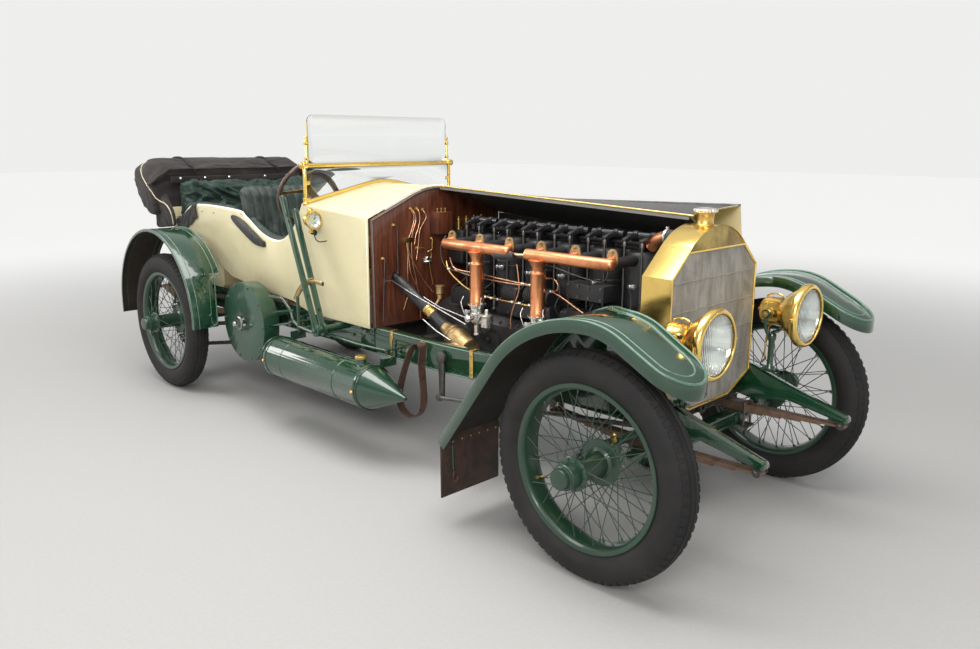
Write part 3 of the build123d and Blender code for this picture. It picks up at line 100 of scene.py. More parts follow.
class Finish:
    """One material whose patterns follow the piece's own place."""

    def __init__(self, name, **shader):
        self.material = bpy.data.materials.new(name)
        self.material.use_nodes = True
        self.tree = self.material.node_tree
        self.tree.nodes.clear()
        self.shader = self.tree.nodes.new("ShaderNodeBsdfPrincipled")
        output = self.tree.nodes.new("ShaderNodeOutputMaterial")
        self.tree.links.new(self.shader.outputs[0], output.inputs[0])
        self.place = self.node("ShaderNodeTexCoord", output="Object")
        self.give(**shader)

    def feed(self, socket, value):
        if isinstance(value, Wire):
            self.tree.links.new(value.socket, socket)
        elif socket.type == "RGBA":
            socket.default_value = (*value[:3], 1.0)
        else:
            socket.default_value = value

    def node(self, kind, settings=None, sockets=None, output=0):
        made = self.tree.nodes.new(kind)
        for key, value in (settings or {}).items():
            if key == "stops":
                ramp = made.color_ramp.elements
                while len(ramp) < len(value):
                    ramp.new(1.0)
                for element, (position, colour) in zip(ramp, value):
                    element.position = position
                    element.color = (*colour, 1.0)
            else:
                setattr(made, key, value)
        for key, value in (sockets or {}).items():
            self.feed(made.inputs[key], value)
        return Wire(self, made.outputs[output])

    def give(self, **values):
        """Shader sockets by name, with _ for the spaces."""
        for key, value in values.items():
            self.feed(self.shader.inputs[key.replace("_", " ")], value)

    def stretched(self, stretch, turn=(0, 0, 0)):
        return self.node("ShaderNodeMapping", None, {"Vector": self.place, "Scale": stretch, "Rotation": turn})

    def cloud(self, scale, detail=4.0, stretch=None, coarse=0.5, bend=0.0):
        vector = self.stretched(stretch) if stretch else self.place
        return self.node("ShaderNodeTexNoise", None, {"Vector": vector, "Scale": scale, "Detail": detail,
            "Roughness": coarse, "Distortion": bend})

    def cells(self, scale, stretch=None, feature="F1", output="Distance"):
        vector = self.stretched(stretch) if stretch else self.place
        return self.node("ShaderNodeTexVoronoi", {"feature": feature}, {"Vector": vector, "Scale": scale}, output)

    def mix(self, share, first, second):
        return self.node("ShaderNodeMix", {"data_type": "RGBA"}, {0: share, 6: first, 7: second}, 2)

    def axes(self):
        """The three parts of the place, in metres."""
        return [self.node("ShaderNodeSeparateXYZ", None, {0: self.place}, i) for i in range(3)]

    def bump(self, height, distance, strength=1.0):
        normal = self.node("ShaderNodeBump", None, {"Strength": strength, "Distance": distance, "Height": height})
        self.give(Normal=normal)
        return self


def shade(colour, factor):
    return tuple(channel * factor for channel in colour)


def coach_paint(name, colour, roughness, coat, mottle=0.25, dirt=(0.10, 0.085, 0.06), dust=0.18):
    """Brush-painted enamel: slow colour drift, a film of dust, fine rubbing marks and an orange-peel skin."""
    finish = Finish(name, Coat_Weight=coat, Coat_Roughness=0.06, Specular_IOR_Level=0.5)
    drift = finish.cloud(2.3, 3.0)
    film = finish.cloud(9.0, 6.0, coarse=0.62).step(0.45, 0.8)
    specks = finish.cloud(140.0, 2.0).step(0.66, 0.78)
    body = finish.mix(drift, shade(colour, 1 - mottle), shade(colour, 1 + mottle))
    worn = finish.mix(film * dust + specks * 0.12, body, dirt)
    rub = finish.cloud(60.0, 5.0, stretch=(0.25, 1.0, 1.0))
    finish.give(Base_Color=worn, Roughness=roughness + film * 0.16 + rub * 0.08)
    peel = finish.cloud(520.0, 1.0) * 0.5 + finish.cloud(36.0, 2.0)
    return finish.bump(peel, 0.00035, 0.35).material


def bare_metal(name, colour, roughness, tarnish, spread, tarnish_share=0.5, streak=(1.0, 1.0, 1.0), metallic=1.0,
        pits=0.0002):
    """Polished or dull metal: tarnish in clouds, hand-rubbed streaks and small pits."""
    finish = Finish(name, Metallic=metallic)
    cloud = finish.cloud(spread, 6.0, coarse=0.6, bend=0.4).step(0.42, 0.72)
    spots = finish.cloud(spread * 11, 3.0).step(0.6, 0.75)
    rub = finish.cloud(210.0, 4.0, stretch=streak)
    stain = (cloud * tarnish_share + spots * tarnish_share * 0.5)
    finish.give(Base_Color=finish.mix(stain, colour, tarnish), Roughness=roughness + stain * 0.25 + rub * 0.10)
    return finish.bump(rub * 0.6 + finish.cloud(34.0, 3.0), pits, 0.5).material


def cast_black(name, colour, roughness, coat=0.0, grain=160.0, oil=0.35, rust=0.12):
    """Painted casting with sand grain, oily patches and rust at random spots."""
    finish = Finish(name, Coat_Weight=coat, Coat_Roughness=0.12)
    sand = finish.cloud(grain, 3.0)
    wet = finish.cloud(11.0, 5.0, coarse=0.65).step(0.4, 0.65)
    rusty = finish.cloud(26.0, 6.0, coarse=0.7).step(0.62, 0.75)
    tone = finish.mix(sand, shade(colour, 0.6), shade(colour, 1.5))
    finish.give(Base_Color=finish.mix(rusty * rust, tone, (0.16, 0.065, 0.03)), Roughness=roughness - wet * oil + sand
        * 0.1)
    return finish.bump(sand + finish.cloud(40.0, 2.0), 0.0006, 0.5).material


def tyre_rubber():
    finish = Finish("tyre_rubber", Specular_IOR_Level=0.35)
    bloom = finish.cloud(5.0, 6.0, coarse=0.65)
    grit = finish.cloud(240.0, 3.0)
    dusty = finish.mix(bloom.step(0.35, 0.8), (0.011, 0.0105, 0.011), (0.030, 0.026, 0.025))
    finish.give(Base_Color=finish.mix(grit.step(0.62, 0.8) * 0.5, dusty, (0.06, 0.055, 0.05)), Roughness=0.58 + bloom
        * 0.24)
    return finish.bump(grit * 0.6 + finish.cloud(46.0, 3.0), 0.0006, 0.6).material


def leather(name, dark, light, crease, grain=330.0, worn=(0.16, 0.15, 0.12), worn_share=0.35):
    """Old hide: pebbled grain, long soft creases and rubbed high places."""
    finish = Finish(name, Specular_IOR_Level=0.4, Sheen_Weight=0.06)
    pebble = finish.cells(grain)
    folds = finish.cloud(crease, 5.0, coarse=0.55, bend=1.2)
    rubbed = finish.cloud(crease * 1.9, 6.0, coarse=0.7).step(0.5, 0.78)
    tone = finish.mix(folds.step(0.3, 0.7), dark, light)
    finish.give(Base_Color=finish.mix(rubbed * worn_share, tone, worn), Roughness=0.40 + pebble * 0.25 + rubbed * 0.12)
    height = pebble * 0.25 + folds
    return finish.bump(height, 0.0022, 0.6).material


def hood_cloth():
    finish = Finish("hood_cloth", Sheen_Weight=0.12, Sheen_Roughness=0.5, Specular_IOR_Level=0.25)
    across, along, up = finish.axes()
    weave = (along * 5200).wave() * (across * 5200 + up * 5200).wave()
    fade = finish.cloud(3.2, 5.0, coarse=0.6)
    lint = finish.cloud(300.0, 2.0).step(0.68, 0.8)
    tone = finish.mix(fade.step(0.3, 0.75), (0.014, 0.012, 0.012), (0.042, 0.034, 0.032))
    finish.give(Base_Color=finish.mix(lint * 0.3, tone, (0.10, 0.09, 0.085)), Roughness=0.72 + fade * 0.16)
    return finish.bump(weave * 0.25 + finish.cloud(18.0, 4.0), 0.0022, 0.55).material


def varnished_wood(name, dark, light, coat, lines=(1.0, 14.0, 1.0), scale=7.0):
    """Grain lines that run along the piece, pores and a thin coat of varnish."""
    finish = Finish(name, Coat_Weight=coat, Coat_Roughness=0.14)
    figure = finish.cloud(scale, 6.0, stretch=lines, coarse=0.6, bend=0.9)
    pores = finish.cloud(scale * 22, 2.0, stretch=lines).step(0.58, 0.72)
    tone = finish.mix(figure.step(0.3, 0.72), dark, light)
    finish.give(Base_Color=finish.mix(pores * 0.6, tone, shade(dark, 0.4)), Roughness=0.36 + pores * 0.2 + figure * 0.1)
    return finish.bump(figure * 0.4 - pores, 0.0003, 0.5).material


def radiator_matrix():
    """Fine tubes and fins under a grey-brown patina."""
    finish = Finish("radiator_matrix", Metallic=0.45)
    across, up = finish.axes()[1:]
    fins = (up * 2100).wave() * 0.5 + 0.5
    tubes = (across * 1050).wave() * 0.5 + 0.5
    cells = fins * tubes
    patina = finish.cloud(6.5, 7.0, stretch=(1.0, 1.0, 0.55), coarse=0.68, bend=0.6)
    streaks = finish.cloud(30.0, 5.0, stretch=(1.0, 1.0, 0.12)).step(0.48, 0.7)
    tone = finish.mix(patina.step(0.3, 0.72), (0.27, 0.26, 0.235), (0.64, 0.62, 0.58))
    browned = finish.mix(streaks * 0.35, tone, (0.24, 0.19, 0.13))
    # The sunk middle of each cell between the tubes and fins is painted dark: painted shade in the openings of the
    # core.
    finish.give(Base_Color=finish.mix(cells.step(0.2, 0.75) * 0.42, browned, (0.06, 0.055, 0.05)),
        Roughness=0.48 + patina * 0.22)
    return finish.bump(0.5 - cells, 0.0012, 0.8).material


def clear_glass():
    finish = Finish("clear_glass", Transmission_Weight=1.0, IOR=1.46)
    haze = finish.cloud(6.0, 5.0)
    finish.give(Base_Color=finish.mix(haze, (0.93, 0.96, 0.94), (1.0, 1.0, 1.0)), Roughness=haze.step(0.55, 0.9) * 0.04)
    return finish.material


green_paint = coach_paint("green_paint", (0.0045, 0.040, 0.017), 0.16, 1.0, dust=0.07)
wheel_green = coach_paint("wheel_green", (0.008, 0.038, 0.019), 0.34, 0.5, dust=0.14)
guard_green = coach_paint("guard_green", (0.012, 0.052, 0.027), 0.32, 0.5, dust=0.18)
pale_green = coach_paint("pale_green", (0.12, 0.22, 0.16), 0.24, 0.8, dust=0.12)
cream_paint = coach_paint("cream_paint", (0.74, 0.67, 0.42), 0.34, 0.35, mottle=0.05, dirt=(0.42, 0.36, 0.22),
    dust=0.22)
cream_edge = coach_paint("cream_edge", (0.86, 0.82, 0.66), 0.32, 0.4, mottle=0.04, dirt=(0.5, 0.44, 0.3), dust=0.15)
engine_black = cast_black("engine_black", (0.016, 0.016, 0.017), 0.52, oil=0.28)
sleeve_black = bare_metal("sleeve_black", (0.075, 0.075, 0.082), 0.20, (0.02, 0.02, 0.02), 24.0, 0.5, metallic=0.8)
chassis_black = cast_black("chassis_black", (0.022, 0.021, 0.020), 0.60, oil=0.2, rust=0.3)
dark_steel = bare_metal("dark_steel", (0.15, 0.145, 0.14), 0.38, (0.07, 0.05, 0.04), 20.0, 0.6)
bright_steel = bare_metal("bright_steel", (0.62, 0.62, 0.62), 0.22, (0.22, 0.19, 0.16), 26.0, 0.45)
chain_steel = bare_metal("chain_steel", (0.13, 0.115, 0.10), 0.42, (0.05, 0.035, 0.025), 40.0, 0.7)
nickel = bare_metal("nickel", (0.70, 0.68, 0.64), 0.20, (0.28, 0.25, 0.21), 38.0, 0.5)
copper = bare_metal("copper", (0.86, 0.36, 0.17), 0.27, (0.36, 0.12, 0.06), 12.0, 0.62, streak=(0.1, 1.0, 1.0))
bright_copper = bare_metal("bright_copper", (0.90, 0.50, 0.30), 0.22, (0.45, 0.20, 0.10), 30.0, 0.5)
bronze = bare_metal("bronze", (0.48, 0.34, 0.17), 0.40, (0.16, 0.105, 0.055), 22.0, 0.75)
brass = bare_metal("brass", (0.93, 0.66, 0.20), 0.13, (0.62, 0.38, 0.10), 8.0, 0.4, pits=0.0003)
old_brass = bare_metal("old_brass", (0.70, 0.47, 0.15), 0.26, (0.30, 0.19, 0.07), 26.0, 0.6)
silvered = bare_metal("silvered", (0.93, 0.93, 0.92), 0.07, (0.72, 0.72, 0.70), 14.0, 0.3, pits=0.0001)
mahogany = varnished_wood("mahogany", (0.060, 0.016, 0.008), (0.17, 0.050, 0.022), 0.7, lines=(1.0, 9.0, 0.8))
wheel_wood = varnished_wood("wheel_wood", (0.035, 0.014, 0.008), (0.10, 0.040, 0.020), 0.9, scale=16.0)
boards = varnished_wood("boards", (0.10, 0.062, 0.030), (0.24, 0.155, 0.085), 0.1)
seat_leather = leather("seat_leather", (0.010, 0.020, 0.017), (0.035, 0.052, 0.046), 9.0)
pad_leather = leather("pad_leather", (0.016, 0.015, 0.015), (0.05, 0.048, 0.046), 16.0, worn=(0.2, 0.19, 0.18))
rubbed_leather = leather("rubbed_leather", (0.060, 0.058, 0.056), (0.16, 0.155, 0.15), 16.0, worn=(0.28, 0.27, 0.25))
strap_leather = leather("strap_leather", (0.040, 0.019, 0.013), (0.10, 0.048, 0.031), 13.0, worn=(0.20, 0.14, 0.10))
flap_leather = leather("flap_leather", (0.026, 0.014, 0.010), (0.060, 0.031, 0.022), 10.0, worn=(0.12, 0.085, 0.065))
piping = leather("piping", (0.50, 0.43, 0.30), (0.72, 0.65, 0.50), 30.0, worn=(0.35, 0.28, 0.18))
hose_rubber = cast_black("hose_rubber", (0.030, 0.030, 0.034), 0.62, oil=0.1, rust=0.0)
spring_brown = bare_metal("spring_brown", (0.20, 0.13, 0.09), 0.5, (0.08, 0.045, 0.03), 18.0, 0.7, metallic=0.5)
rubber = tyre_rubber()
hood_black = hood_cloth()
core_metal = radiator_matrix()
glass = clear_glass()


# Shapes

def angles(count, start=0.0):
    """Angles evenly round a full turn, the first one at a share of a step."""
    return [2 * pi * (k + start) / count for k in range(count)]


def square_to(way, hint=(0, 0, 1)):
    """Two directions square to a way, as a right-handed set (side, up, way)."""
    way = Vector(way).normalized()
    hint = Vector(hint)
    if abs(way.dot(hint.normalized())) > 0.98:
        hint = Vector((1, 0, 0)) if abs(way.x) < 0.9 else Vector((0, 1, 0))
    side = hint.cross(way).normalized()
    return side, way.cross(side), way


def smooth_line(points, steps=6, closed=False):
    """A Catmull-Rom line through points."""
    points = [Vector(p) for p in points]
    count = len(points)
    if count < 3 and not closed:
        return points
    line = []
    for i in range(count if closed else count - 1):
        around = [points[(i + k) % count] if closed else points[min(max(i + k, 0), count - 1)] for k in (-1, 0, 1, 2)]
        a, b, c, d = around
        for k in range(steps):
            t = k / steps
            line.append(0.5 * (2 * b + (c - a) * t + (2 * a - 5 * b + 4 * c - d) * t ** 2 + (3 * b - a - 3 * c + d)
                * t ** 3))
    return line if closed else line + [points[-1]]


def rounded_line(points, radii, steps=8):
    """Runs joined by arcs, as the part's source bends them."""
    points = [Vector(p) for p in points]
    line = [points[0]]
    for i, radius in enumerate(radii, 1):
        before, corner, after = points[i - 1], points[i], points[i + 1]
        back, on = (before - corner).normalized(), (after - corner).normalized()
        half = acos(max(-1.0, min(1.0, back.dot(on)))) / 2
        reach = radius / (sin(half) / cos(half))
        start, end = corner + back * reach, corner + on * reach
        centre = corner + (back + on).normalized() * (radius / sin(half))
        first, last = start - centre, end - centre
        turn = acos(max(-1.0, min(1.0, first.normalized().dot(last.normalized()))))
        for k in range(steps + 1):
            share = k / steps
            line.append(centre + (first * sin((1 - share) * turn) + last * sin(share * turn)) / sin(turn))
    return line + [points[-1]]


def placed(name, mesh):
    """A new object of a mesh, linked to the scene."""
    piece = bpy.data.objects.new(name, mesh)
    bpy.context.scene.collection.objects.link(piece)
    return piece


def applied(piece):
    """Gives a piece the mesh that its modifiers make."""
    bpy.context.view_layer.update()
    piece.data = bpy.data.meshes.new_from_object(piece.evaluated_get(bpy.context.evaluated_depsgraph_get()))
    piece.modifiers.clear()
    return piece


def smoothed(piece, levels):
    """Subdivides a piece's mesh."""
    smooth = piece.modifiers.new("smooth", "SUBSURF")
    smooth.levels = smooth.render_levels = levels
    return applied(piece)


class Shape:
    """Vertices in station millimetres and faces with a finish number, added form by form."""

    def __init__(self):
        self.points = []
        self.faces = []
        self.marks = []

    def add(self, points, faces, mark=0):
        base = len(self.points)
        self.points += [Vector(p) for p in points]
        self.faces += [tuple(base + i for i in face) for face in faces]
        self.marks += [mark] * len(faces)
        return self

    def join(self, other):
        base = len(self.points)
        self.points += other.points
        self.faces += [tuple(base + i for i in face) for face in other.faces]
        self.marks += other.marks
        return self

    def moved(self, matrix):
        copy = Shape()
        copy.points = [matrix @ p for p in self.points]
        turned = matrix.to_3x3().determinant() < 0
        copy.faces = [tuple(reversed(face)) if turned else face for face in self.faces]
        copy.marks = list(self.marks)
        return copy

    def mirrored(self):
        return self.moved(Matrix.Diagonal((1, -1, 1, 1)))

    def both_sides(self):
        return self.join(self.mirrored())

    def rings(self, rings, mark=0, closed=False, caps=True):
        """Skins rings of the same count of points; closed joins the last ring to the first."""
        count = len(rings[0])
        faces = []
        turns = len(rings) if closed else len(rings) - 1
        for i in range(turns):
            j = (i + 1) % len(rings)
            for k in range(count):
                n = (k + 1) % count
                faces.append((i * count + k, i * count + n, j * count + n, j * count + k))
        if caps and not closed:
            last = (len(rings) - 1) * count
            faces += [tuple(reversed(range(count))), tuple(last + k for k in range(count))]
        return self.add([p for ring in rings for p in ring], faces, mark)

    def lathe(self, centre, way, profile, mark=0, steps=32, hint=(0, 0, 1)):
        """A profile of (radius, height) turned round a way; it closes on the axis or on itself."""
        side, up, way = square_to(way, hint)
        centre = Vector(centre)
        rings = []
        for radius, height in profile:
            rings.append([centre + way * height + (side * cos(a) + up * sin(a)) * radius for a in angles(steps)])
        points, faces, starts = [], [], []
        for (radius, height), ring in zip(profile, rings):
            starts.append((len(points), radius < 1e-6))
            points += [centre + way * height] if radius < 1e-6 else ring
        loop = profile[0][0] > 1e-6
        pairs = list(zip(range(len(profile)), range(1, len(profile)))) + ([(len(profile) - 1, 0)] if loop else [])
        for i, j in pairs:
            (a, a_pole), (b, b_pole) = starts[i], starts[j]
            for k in range(steps):
                n = (k + 1) % steps
                if a_pole and b_pole:
                    continue
                if a_pole:
                    faces.append((a, b + n, b + k))
                elif b_pole:
                    faces.append((a + k, a + n, b))
                else:
                    faces.append((a + k, a + n, b + n, b + k))
        return self.add(points, faces, mark)

    def tube(self, path, radius, mark=0, sides=10, closed=False, flat=1.0, hint=(0, 0, 1)):
        """A round or flattened bar along a line; radius may be a list."""
        path = [Vector(p) for p in path]
        count = len(path)
        radii = radius if isinstance(radius, (list, tuple)) else [radius] * count
        rings, side = [], None
        for i, point in enumerate(path):
            before = path[i - 1] if i or closed else point
            after = path[(i + 1) % count] if i < count - 1 or closed else point
            way = (after - before).normalized()
            if side is None:
                side = square_to(way, hint)[0]
            side = (side - way * side.dot(way)).normalized()
            up = way.cross(side)
            rings.append([point + (side * cos(a) + up * sin(a) * flat) * radii[i] for a in angles(sides)])
        return self.rings(rings, mark, closed)

    def milled(self, centre, side, up, steps, depth, profile, period=2, cut=(1,)):
        """A turned edge with cuts across it; each ring is (radius, height, share of the cuts' depth)."""
        centre, side, up = Vector(centre), Vector(side), Vector(up)
        way = Vector((0, 1, 0)) if up.z else Vector((0, 0, 1))
        rings = []
        for radius, height, share in profile:
            ring = []
            for k in range(steps):
                a, r = 2 * pi * k / steps, radius - (depth * share if k % period in cut else 0)
                ring.append(centre + (side * cos(a) + up * sin(a)) * r + way * height)
            rings.append(ring)
        return self.rings(rings)

    def block(self, low, high, mark=0):
        (x0, y0, z0), (x1, y1, z1) = low, high
        points = [(x, y, z) for x in (x0, x1) for y in (y0, y1) for z in (z0, z1)]
        return self.add(points, [(0, 1, 3, 2), (4, 6, 7, 5), (0, 4, 5, 1), (2, 3, 7, 6), (0, 2, 6, 4), (1, 5, 7, 3)],
            mark)

    def slab(self, outline, depth, mark=0):
        """A flat outline of 3-D points given a thickness along a vector."""
        count = len(outline)
        outline = [Vector(p) for p in outline]
        points = outline + [p + Vector(depth) for p in outline]
        faces = [tuple(reversed(range(count))), tuple(range(count, 2 * count))]
        faces += [(i, (i + 1) % count, count + (i + 1) % count, count + i) for i in range(count)]
        return self.add(points, faces, mark)

    def bolt(self, centre, way, radius, height=None, mark=0, washer=True):
        """A hexagon head on a washer with a small domed end."""
        height = height or radius * 1.1
        side, up, way = square_to(way)
        centre = Vector(centre)
        if washer:
            self.lathe(centre, way, [(0, 0), (radius * 1.5, 0), (radius * 1.5, radius * 0.22), (0, radius * 0.22)],
                mark, 12)
        rings = []
        for z, r in ((0, 1.0), (height * 0.8, 1.0), (height, 0.82)):
            rings.append([centre + way * z + (side * cos(pi * k / 3) + up * sin(pi * k / 3)) * radius * r
                for k in range(6)])
        self.rings(rings, mark)
        return self.lathe(centre + way * height * 0.95, way, [(0, 0), (radius * 0.5, 0), (radius * 0.45, radius * 0.3),
            (0, radius * 0.42)], mark, 8)

    def dome(self, centre, way, radius, mark=0, steps=10, rise=0.55):
        """A round-headed rivet or nail."""
        profile = [(0, -0.1 * radius), (radius, -0.1 * radius)]
        profile += [(radius * cos(a), radius * rise * sin(a)) for a in (0.0, 0.5, 1.0)] + [(0, radius * rise)]
        return self.lathe(centre, way, profile, mark, steps)

    def mesh(self, name, merge=0.0, bevel=0.0, sharp=38.0, bevel_angle=30.0, segments=2, recalculate=True):
        """The plain mesh in metres, faces outward, flat edges kept sharp."""
        data = bpy.data.meshes.new(name)
        data.from_pydata([metres(p) for p in self.points], [], self.faces)
        data.polygons.foreach_set("material_index", self.marks)
        work = bmesh.new()
        work.from_mesh(data)
        if merge:
            bmesh.ops.remove_doubles(work, verts=work.verts, dist=merge / 1000)
        if recalculate:
            bmesh.ops.recalc_face_normals(work, faces=work.faces)
        if bevel:
            edges = [e for e in work.edges if len(e.link_faces) == 2 and e.calc_face_angle(0) > radians(bevel_angle)]
            bmesh.ops.bevel(work, geom=edges, offset=bevel / 1000, offset_type="OFFSET", segments=segments, profile=0.5,
                affect="EDGES", clamp_overlap=True)
        for face in work.faces:
            face.smooth = True
        for edge in work.edges:
            edge.smooth = len(edge.link_faces) == 2 and edge.calc_face_angle(0) < radians(sharp)
        work.to_mesh(data)
        work.free()
        return data

    def make(self, name, finishes, node=(), body=ROOT, **options):
        """A finished piece that rides on its body and may replace a node."""
        return finished(placed(name, self.mesh(name, **options)), finishes, node, body)


def finished(piece, finishes, node=(), body=ROOT):
    """Gives a piece its finishes, its body and the node that it replaces."""
    finishes = finishes if isinstance(finishes, (list, tuple)) else [finishes]
    piece.data.materials.clear()
    for finish in finishes:
        piece.data.materials.append(finish)
    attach(piece, body)
    if node:
        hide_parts(node)
    return piece


# Repeated forms, by Geometry Nodes

def copies_tree():
    """Sets one item on each point, turned and sized by the points' attributes."""
    tree = bpy.data.node_groups.new("copies", "GeometryNodeTree")
    tree.is_modifier = True
    for name, kind in (("Points", "NodeSocketGeometry"), ("Item", "NodeSocketObject"), ("Size", "NodeSocketFloat"),
            ("Finish", "NodeSocketMaterial")):
        tree.interface.new_socket(name, in_out="INPUT", socket_type=kind)
    tree.interface.new_socket("Copies", in_out="OUTPUT", socket_type="NodeSocketGeometry")

    def node(kind, **settings):
        made = tree.nodes.new(kind)
        for key, value in settings.items():
            setattr(made, key, value)
        return made
    start, end = node("NodeGroupInput"), node("NodeGroupOutput")
    item = node("GeometryNodeObjectInfo", transform_space="ORIGINAL")
    turn = node("GeometryNodeInputNamedAttribute", data_type="FLOAT_VECTOR")
    turn.inputs["Name"].default_value = "turn"
    grow = node("GeometryNodeInputNamedAttribute", data_type="FLOAT_VECTOR")
    grow.inputs["Name"].default_value = "grow"
    euler = node("FunctionNodeEulerToRotation")
    size = node("ShaderNodeVectorMath", operation="SCALE")
    put = node("GeometryNodeInstanceOnPoints")
    real = node("GeometryNodeRealizeInstances")
    coat = node("GeometryNodeSetMaterial")
    link = tree.links.new
    link(start.outputs["Item"], item.inputs["Object"])
    link(start.outputs["Points"], put.inputs["Points"])
    link(item.outputs["Geometry"], put.inputs["Instance"])
    link(turn.outputs["Attribute"], euler.inputs[0])
    link(euler.outputs[0], put.inputs["Rotation"])
    link(grow.outputs["Attribute"], size.inputs[0])
    link(start.outputs["Size"], size.inputs["Scale"])
    link(size.outputs[0], put.inputs["Scale"])
    link(put.outputs[0], real.inputs[0])
    link(real.outputs[0], coat.inputs["Geometry"])
    link(start.outputs["Finish"], coat.inputs["Material"])
    link(coat.outputs[0], end.inputs[0])
    return tree


COPIES = copies_tree()
COPIES_INPUT = {s.name: s.identifier for s in COPIES.interface.items_tree if s.in_out == "INPUT"}


def turned_to(way, hint=(0, 0, 1)):
    """Euler angles that turn +Z to a way, +X square to the hint."""
    side, up, way = square_to(way, hint)
    return Matrix((side, up, way)).transposed().to_euler()


def copies(name, item, spots, finish, node=(), body=ROOT, sharp=38.0):
    """One item of a Shape, in millimetres round its own origin, set on spots of (point, way, hint, growth)."""
    unit = Shape()
    unit.points = [p + Vector((MIDDLE, 0, 0)) for p in item.points]
    unit.faces, unit.marks = item.faces, item.marks
    pattern = placed(name + "_item", unit.mesh(name + "_item", sharp=sharp))
    data = bpy.data.meshes.new(name)
    data.from_pydata([metres(spot[0]) for spot in spots], [], [])
    turn = data.attributes.new("turn", "FLOAT_VECTOR", "POINT")
    grow = data.attributes.new("grow", "FLOAT_VECTOR", "POINT")
    for i, (_, way, hint, growth) in enumerate(spots):
        turn.data[i].vector = turned_to(way, hint)
        grow.data[i].vector = growth
    piece = placed(name, data)
    modifier = piece.modifiers.new("copies", "NODES")
    modifier.node_group = COPIES
    modifier[COPIES_INPUT["Item"]] = pattern
    modifier[COPIES_INPUT["Size"]] = 1.0
    modifier[COPIES_INPUT["Finish"]] = finish
    applied(piece)
    bpy.data.objects.remove(pattern)
    kept = piece.data.attributes
    for leftover in ("turn", "grow"):
        if leftover in kept:
            kept.remove(kept[leftover])
    return finished(piece, finish, node, body)


def spot(point, way, hint=(0, 0, 1), growth=(1, 1, 1)):
    return Vector(point), Vector(way), Vector(hint), growth


def rivet(radius, rise=0.55):
    return Shape().dome((0, 0, 0), (0, 0, 1), radius, steps=8, rise=rise)


def hexagon_bolt(radius):
    return Shape().bolt((0, 0, 0), (0, 0, 1), radius)


# CAD nodes that are shown as they are

def dress(node, finish, width=0.9, angle=32):
    """Gives a CAD node its finish, with its corners broken by a small round."""
    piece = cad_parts[node]
    piece.data.materials.clear()
    piece.data.materials.append(finish)
    for polygon in piece.data.polygons:
        polygon.use_smooth = True
        polygon.material_index = 0
    weld = piece.modifiers.new("weld", "WELD")
    weld.merge_threshold = 0.00002
    if width:
        bevel = piece.modifiers.new("round", "BEVEL")
        bevel.width = width / 1000
        bevel.segments = 2
        bevel.limit_method = "ANGLE"
        bevel.angle_limit = radians(angle)
        bevel.harden_normals = True
    else:
        split = piece.modifiers.new("sharp", "EDGE_SPLIT")
        split.split_angle = radians(angle)
    return piece


# Wheels and tyres

WHEEL_HEIGHT = 447.5
HALF_TRACK = 722.5
TYRE_RING, TYRE_HALF = 380.0, 67.5
TREAD_BARS = 72
SPOKE_ROWS = (
    # hub radius, hub height, rim radius, rim height, count, lean in degrees
    (87.0, -54.0, 303.0, -24.0, 20, 42.0), (87.0, -58.5, 303.0, -14.0, 20, -42.0),
    (61.0, 103.0, 303.0, 22.0, 10, 36.0), (61.0, 106.0, 303.0, 26.0, 10, -36.0))


def radial(angle):
    return Vector((cos(angle), 0, sin(angle)))


def tyre_profile():
    """Section from bead to bead: round walls, a shoulder step and three grooves in the tread."""
    profile = [(312, -36), (313, -45), (318, -47.5), (325, -46), (331, -48)]
    grooves = {-24: 3.2, -20: 3.2, -4: 3.6, 4: 3.6, 20: 3.2, 24: 3.2}
    lands = [-26, -24, -20, -18, -6, -4, 4, 6, 18, 20, 24, 26]
    for angle in list(range(-132, -32, 8)) + lands + list(range(36, 140, 8)):
        depth = TYRE_HALF - grooves.get(angle, 0)
        if 52 < abs(angle) < 100:
            depth -= 1.2
        profile.append((TYRE_RING + depth * cos(radians(angle)), depth * sin(radians(angle))))
    return profile + [(331, 48), (325, 46), (318, 47.5), (313, 45), (312, 36)]


def rim_profile():
    edge = [(294.5, 0), (295.5, 20), (299, 36), (304, 44), (308, 49), (318, 52), (325, 52), (327.2, 49), (326, 46),
        (320, 45.5), (312.5, 43), (311, 36)]
    return [(r, -h) for r, h in reversed(edge)] + edge[1:]


HUB_PROFILE = [(22, -60), (88, -60), (92, -58), (92, -53), (88, -51), (60, -48), (50, -40), (46, -24), (44, 90),
    (50, 96), (62, 99), (66, 101), (66, 107), (62, 110), (52, 112), (50, 118), (50, 156), (47, 160), (44, 161),
    (44, 165), (41, 167), (41, 181), (38, 187), (20, 189.5), (0, 189.5), (0, 160), (22, 100)]


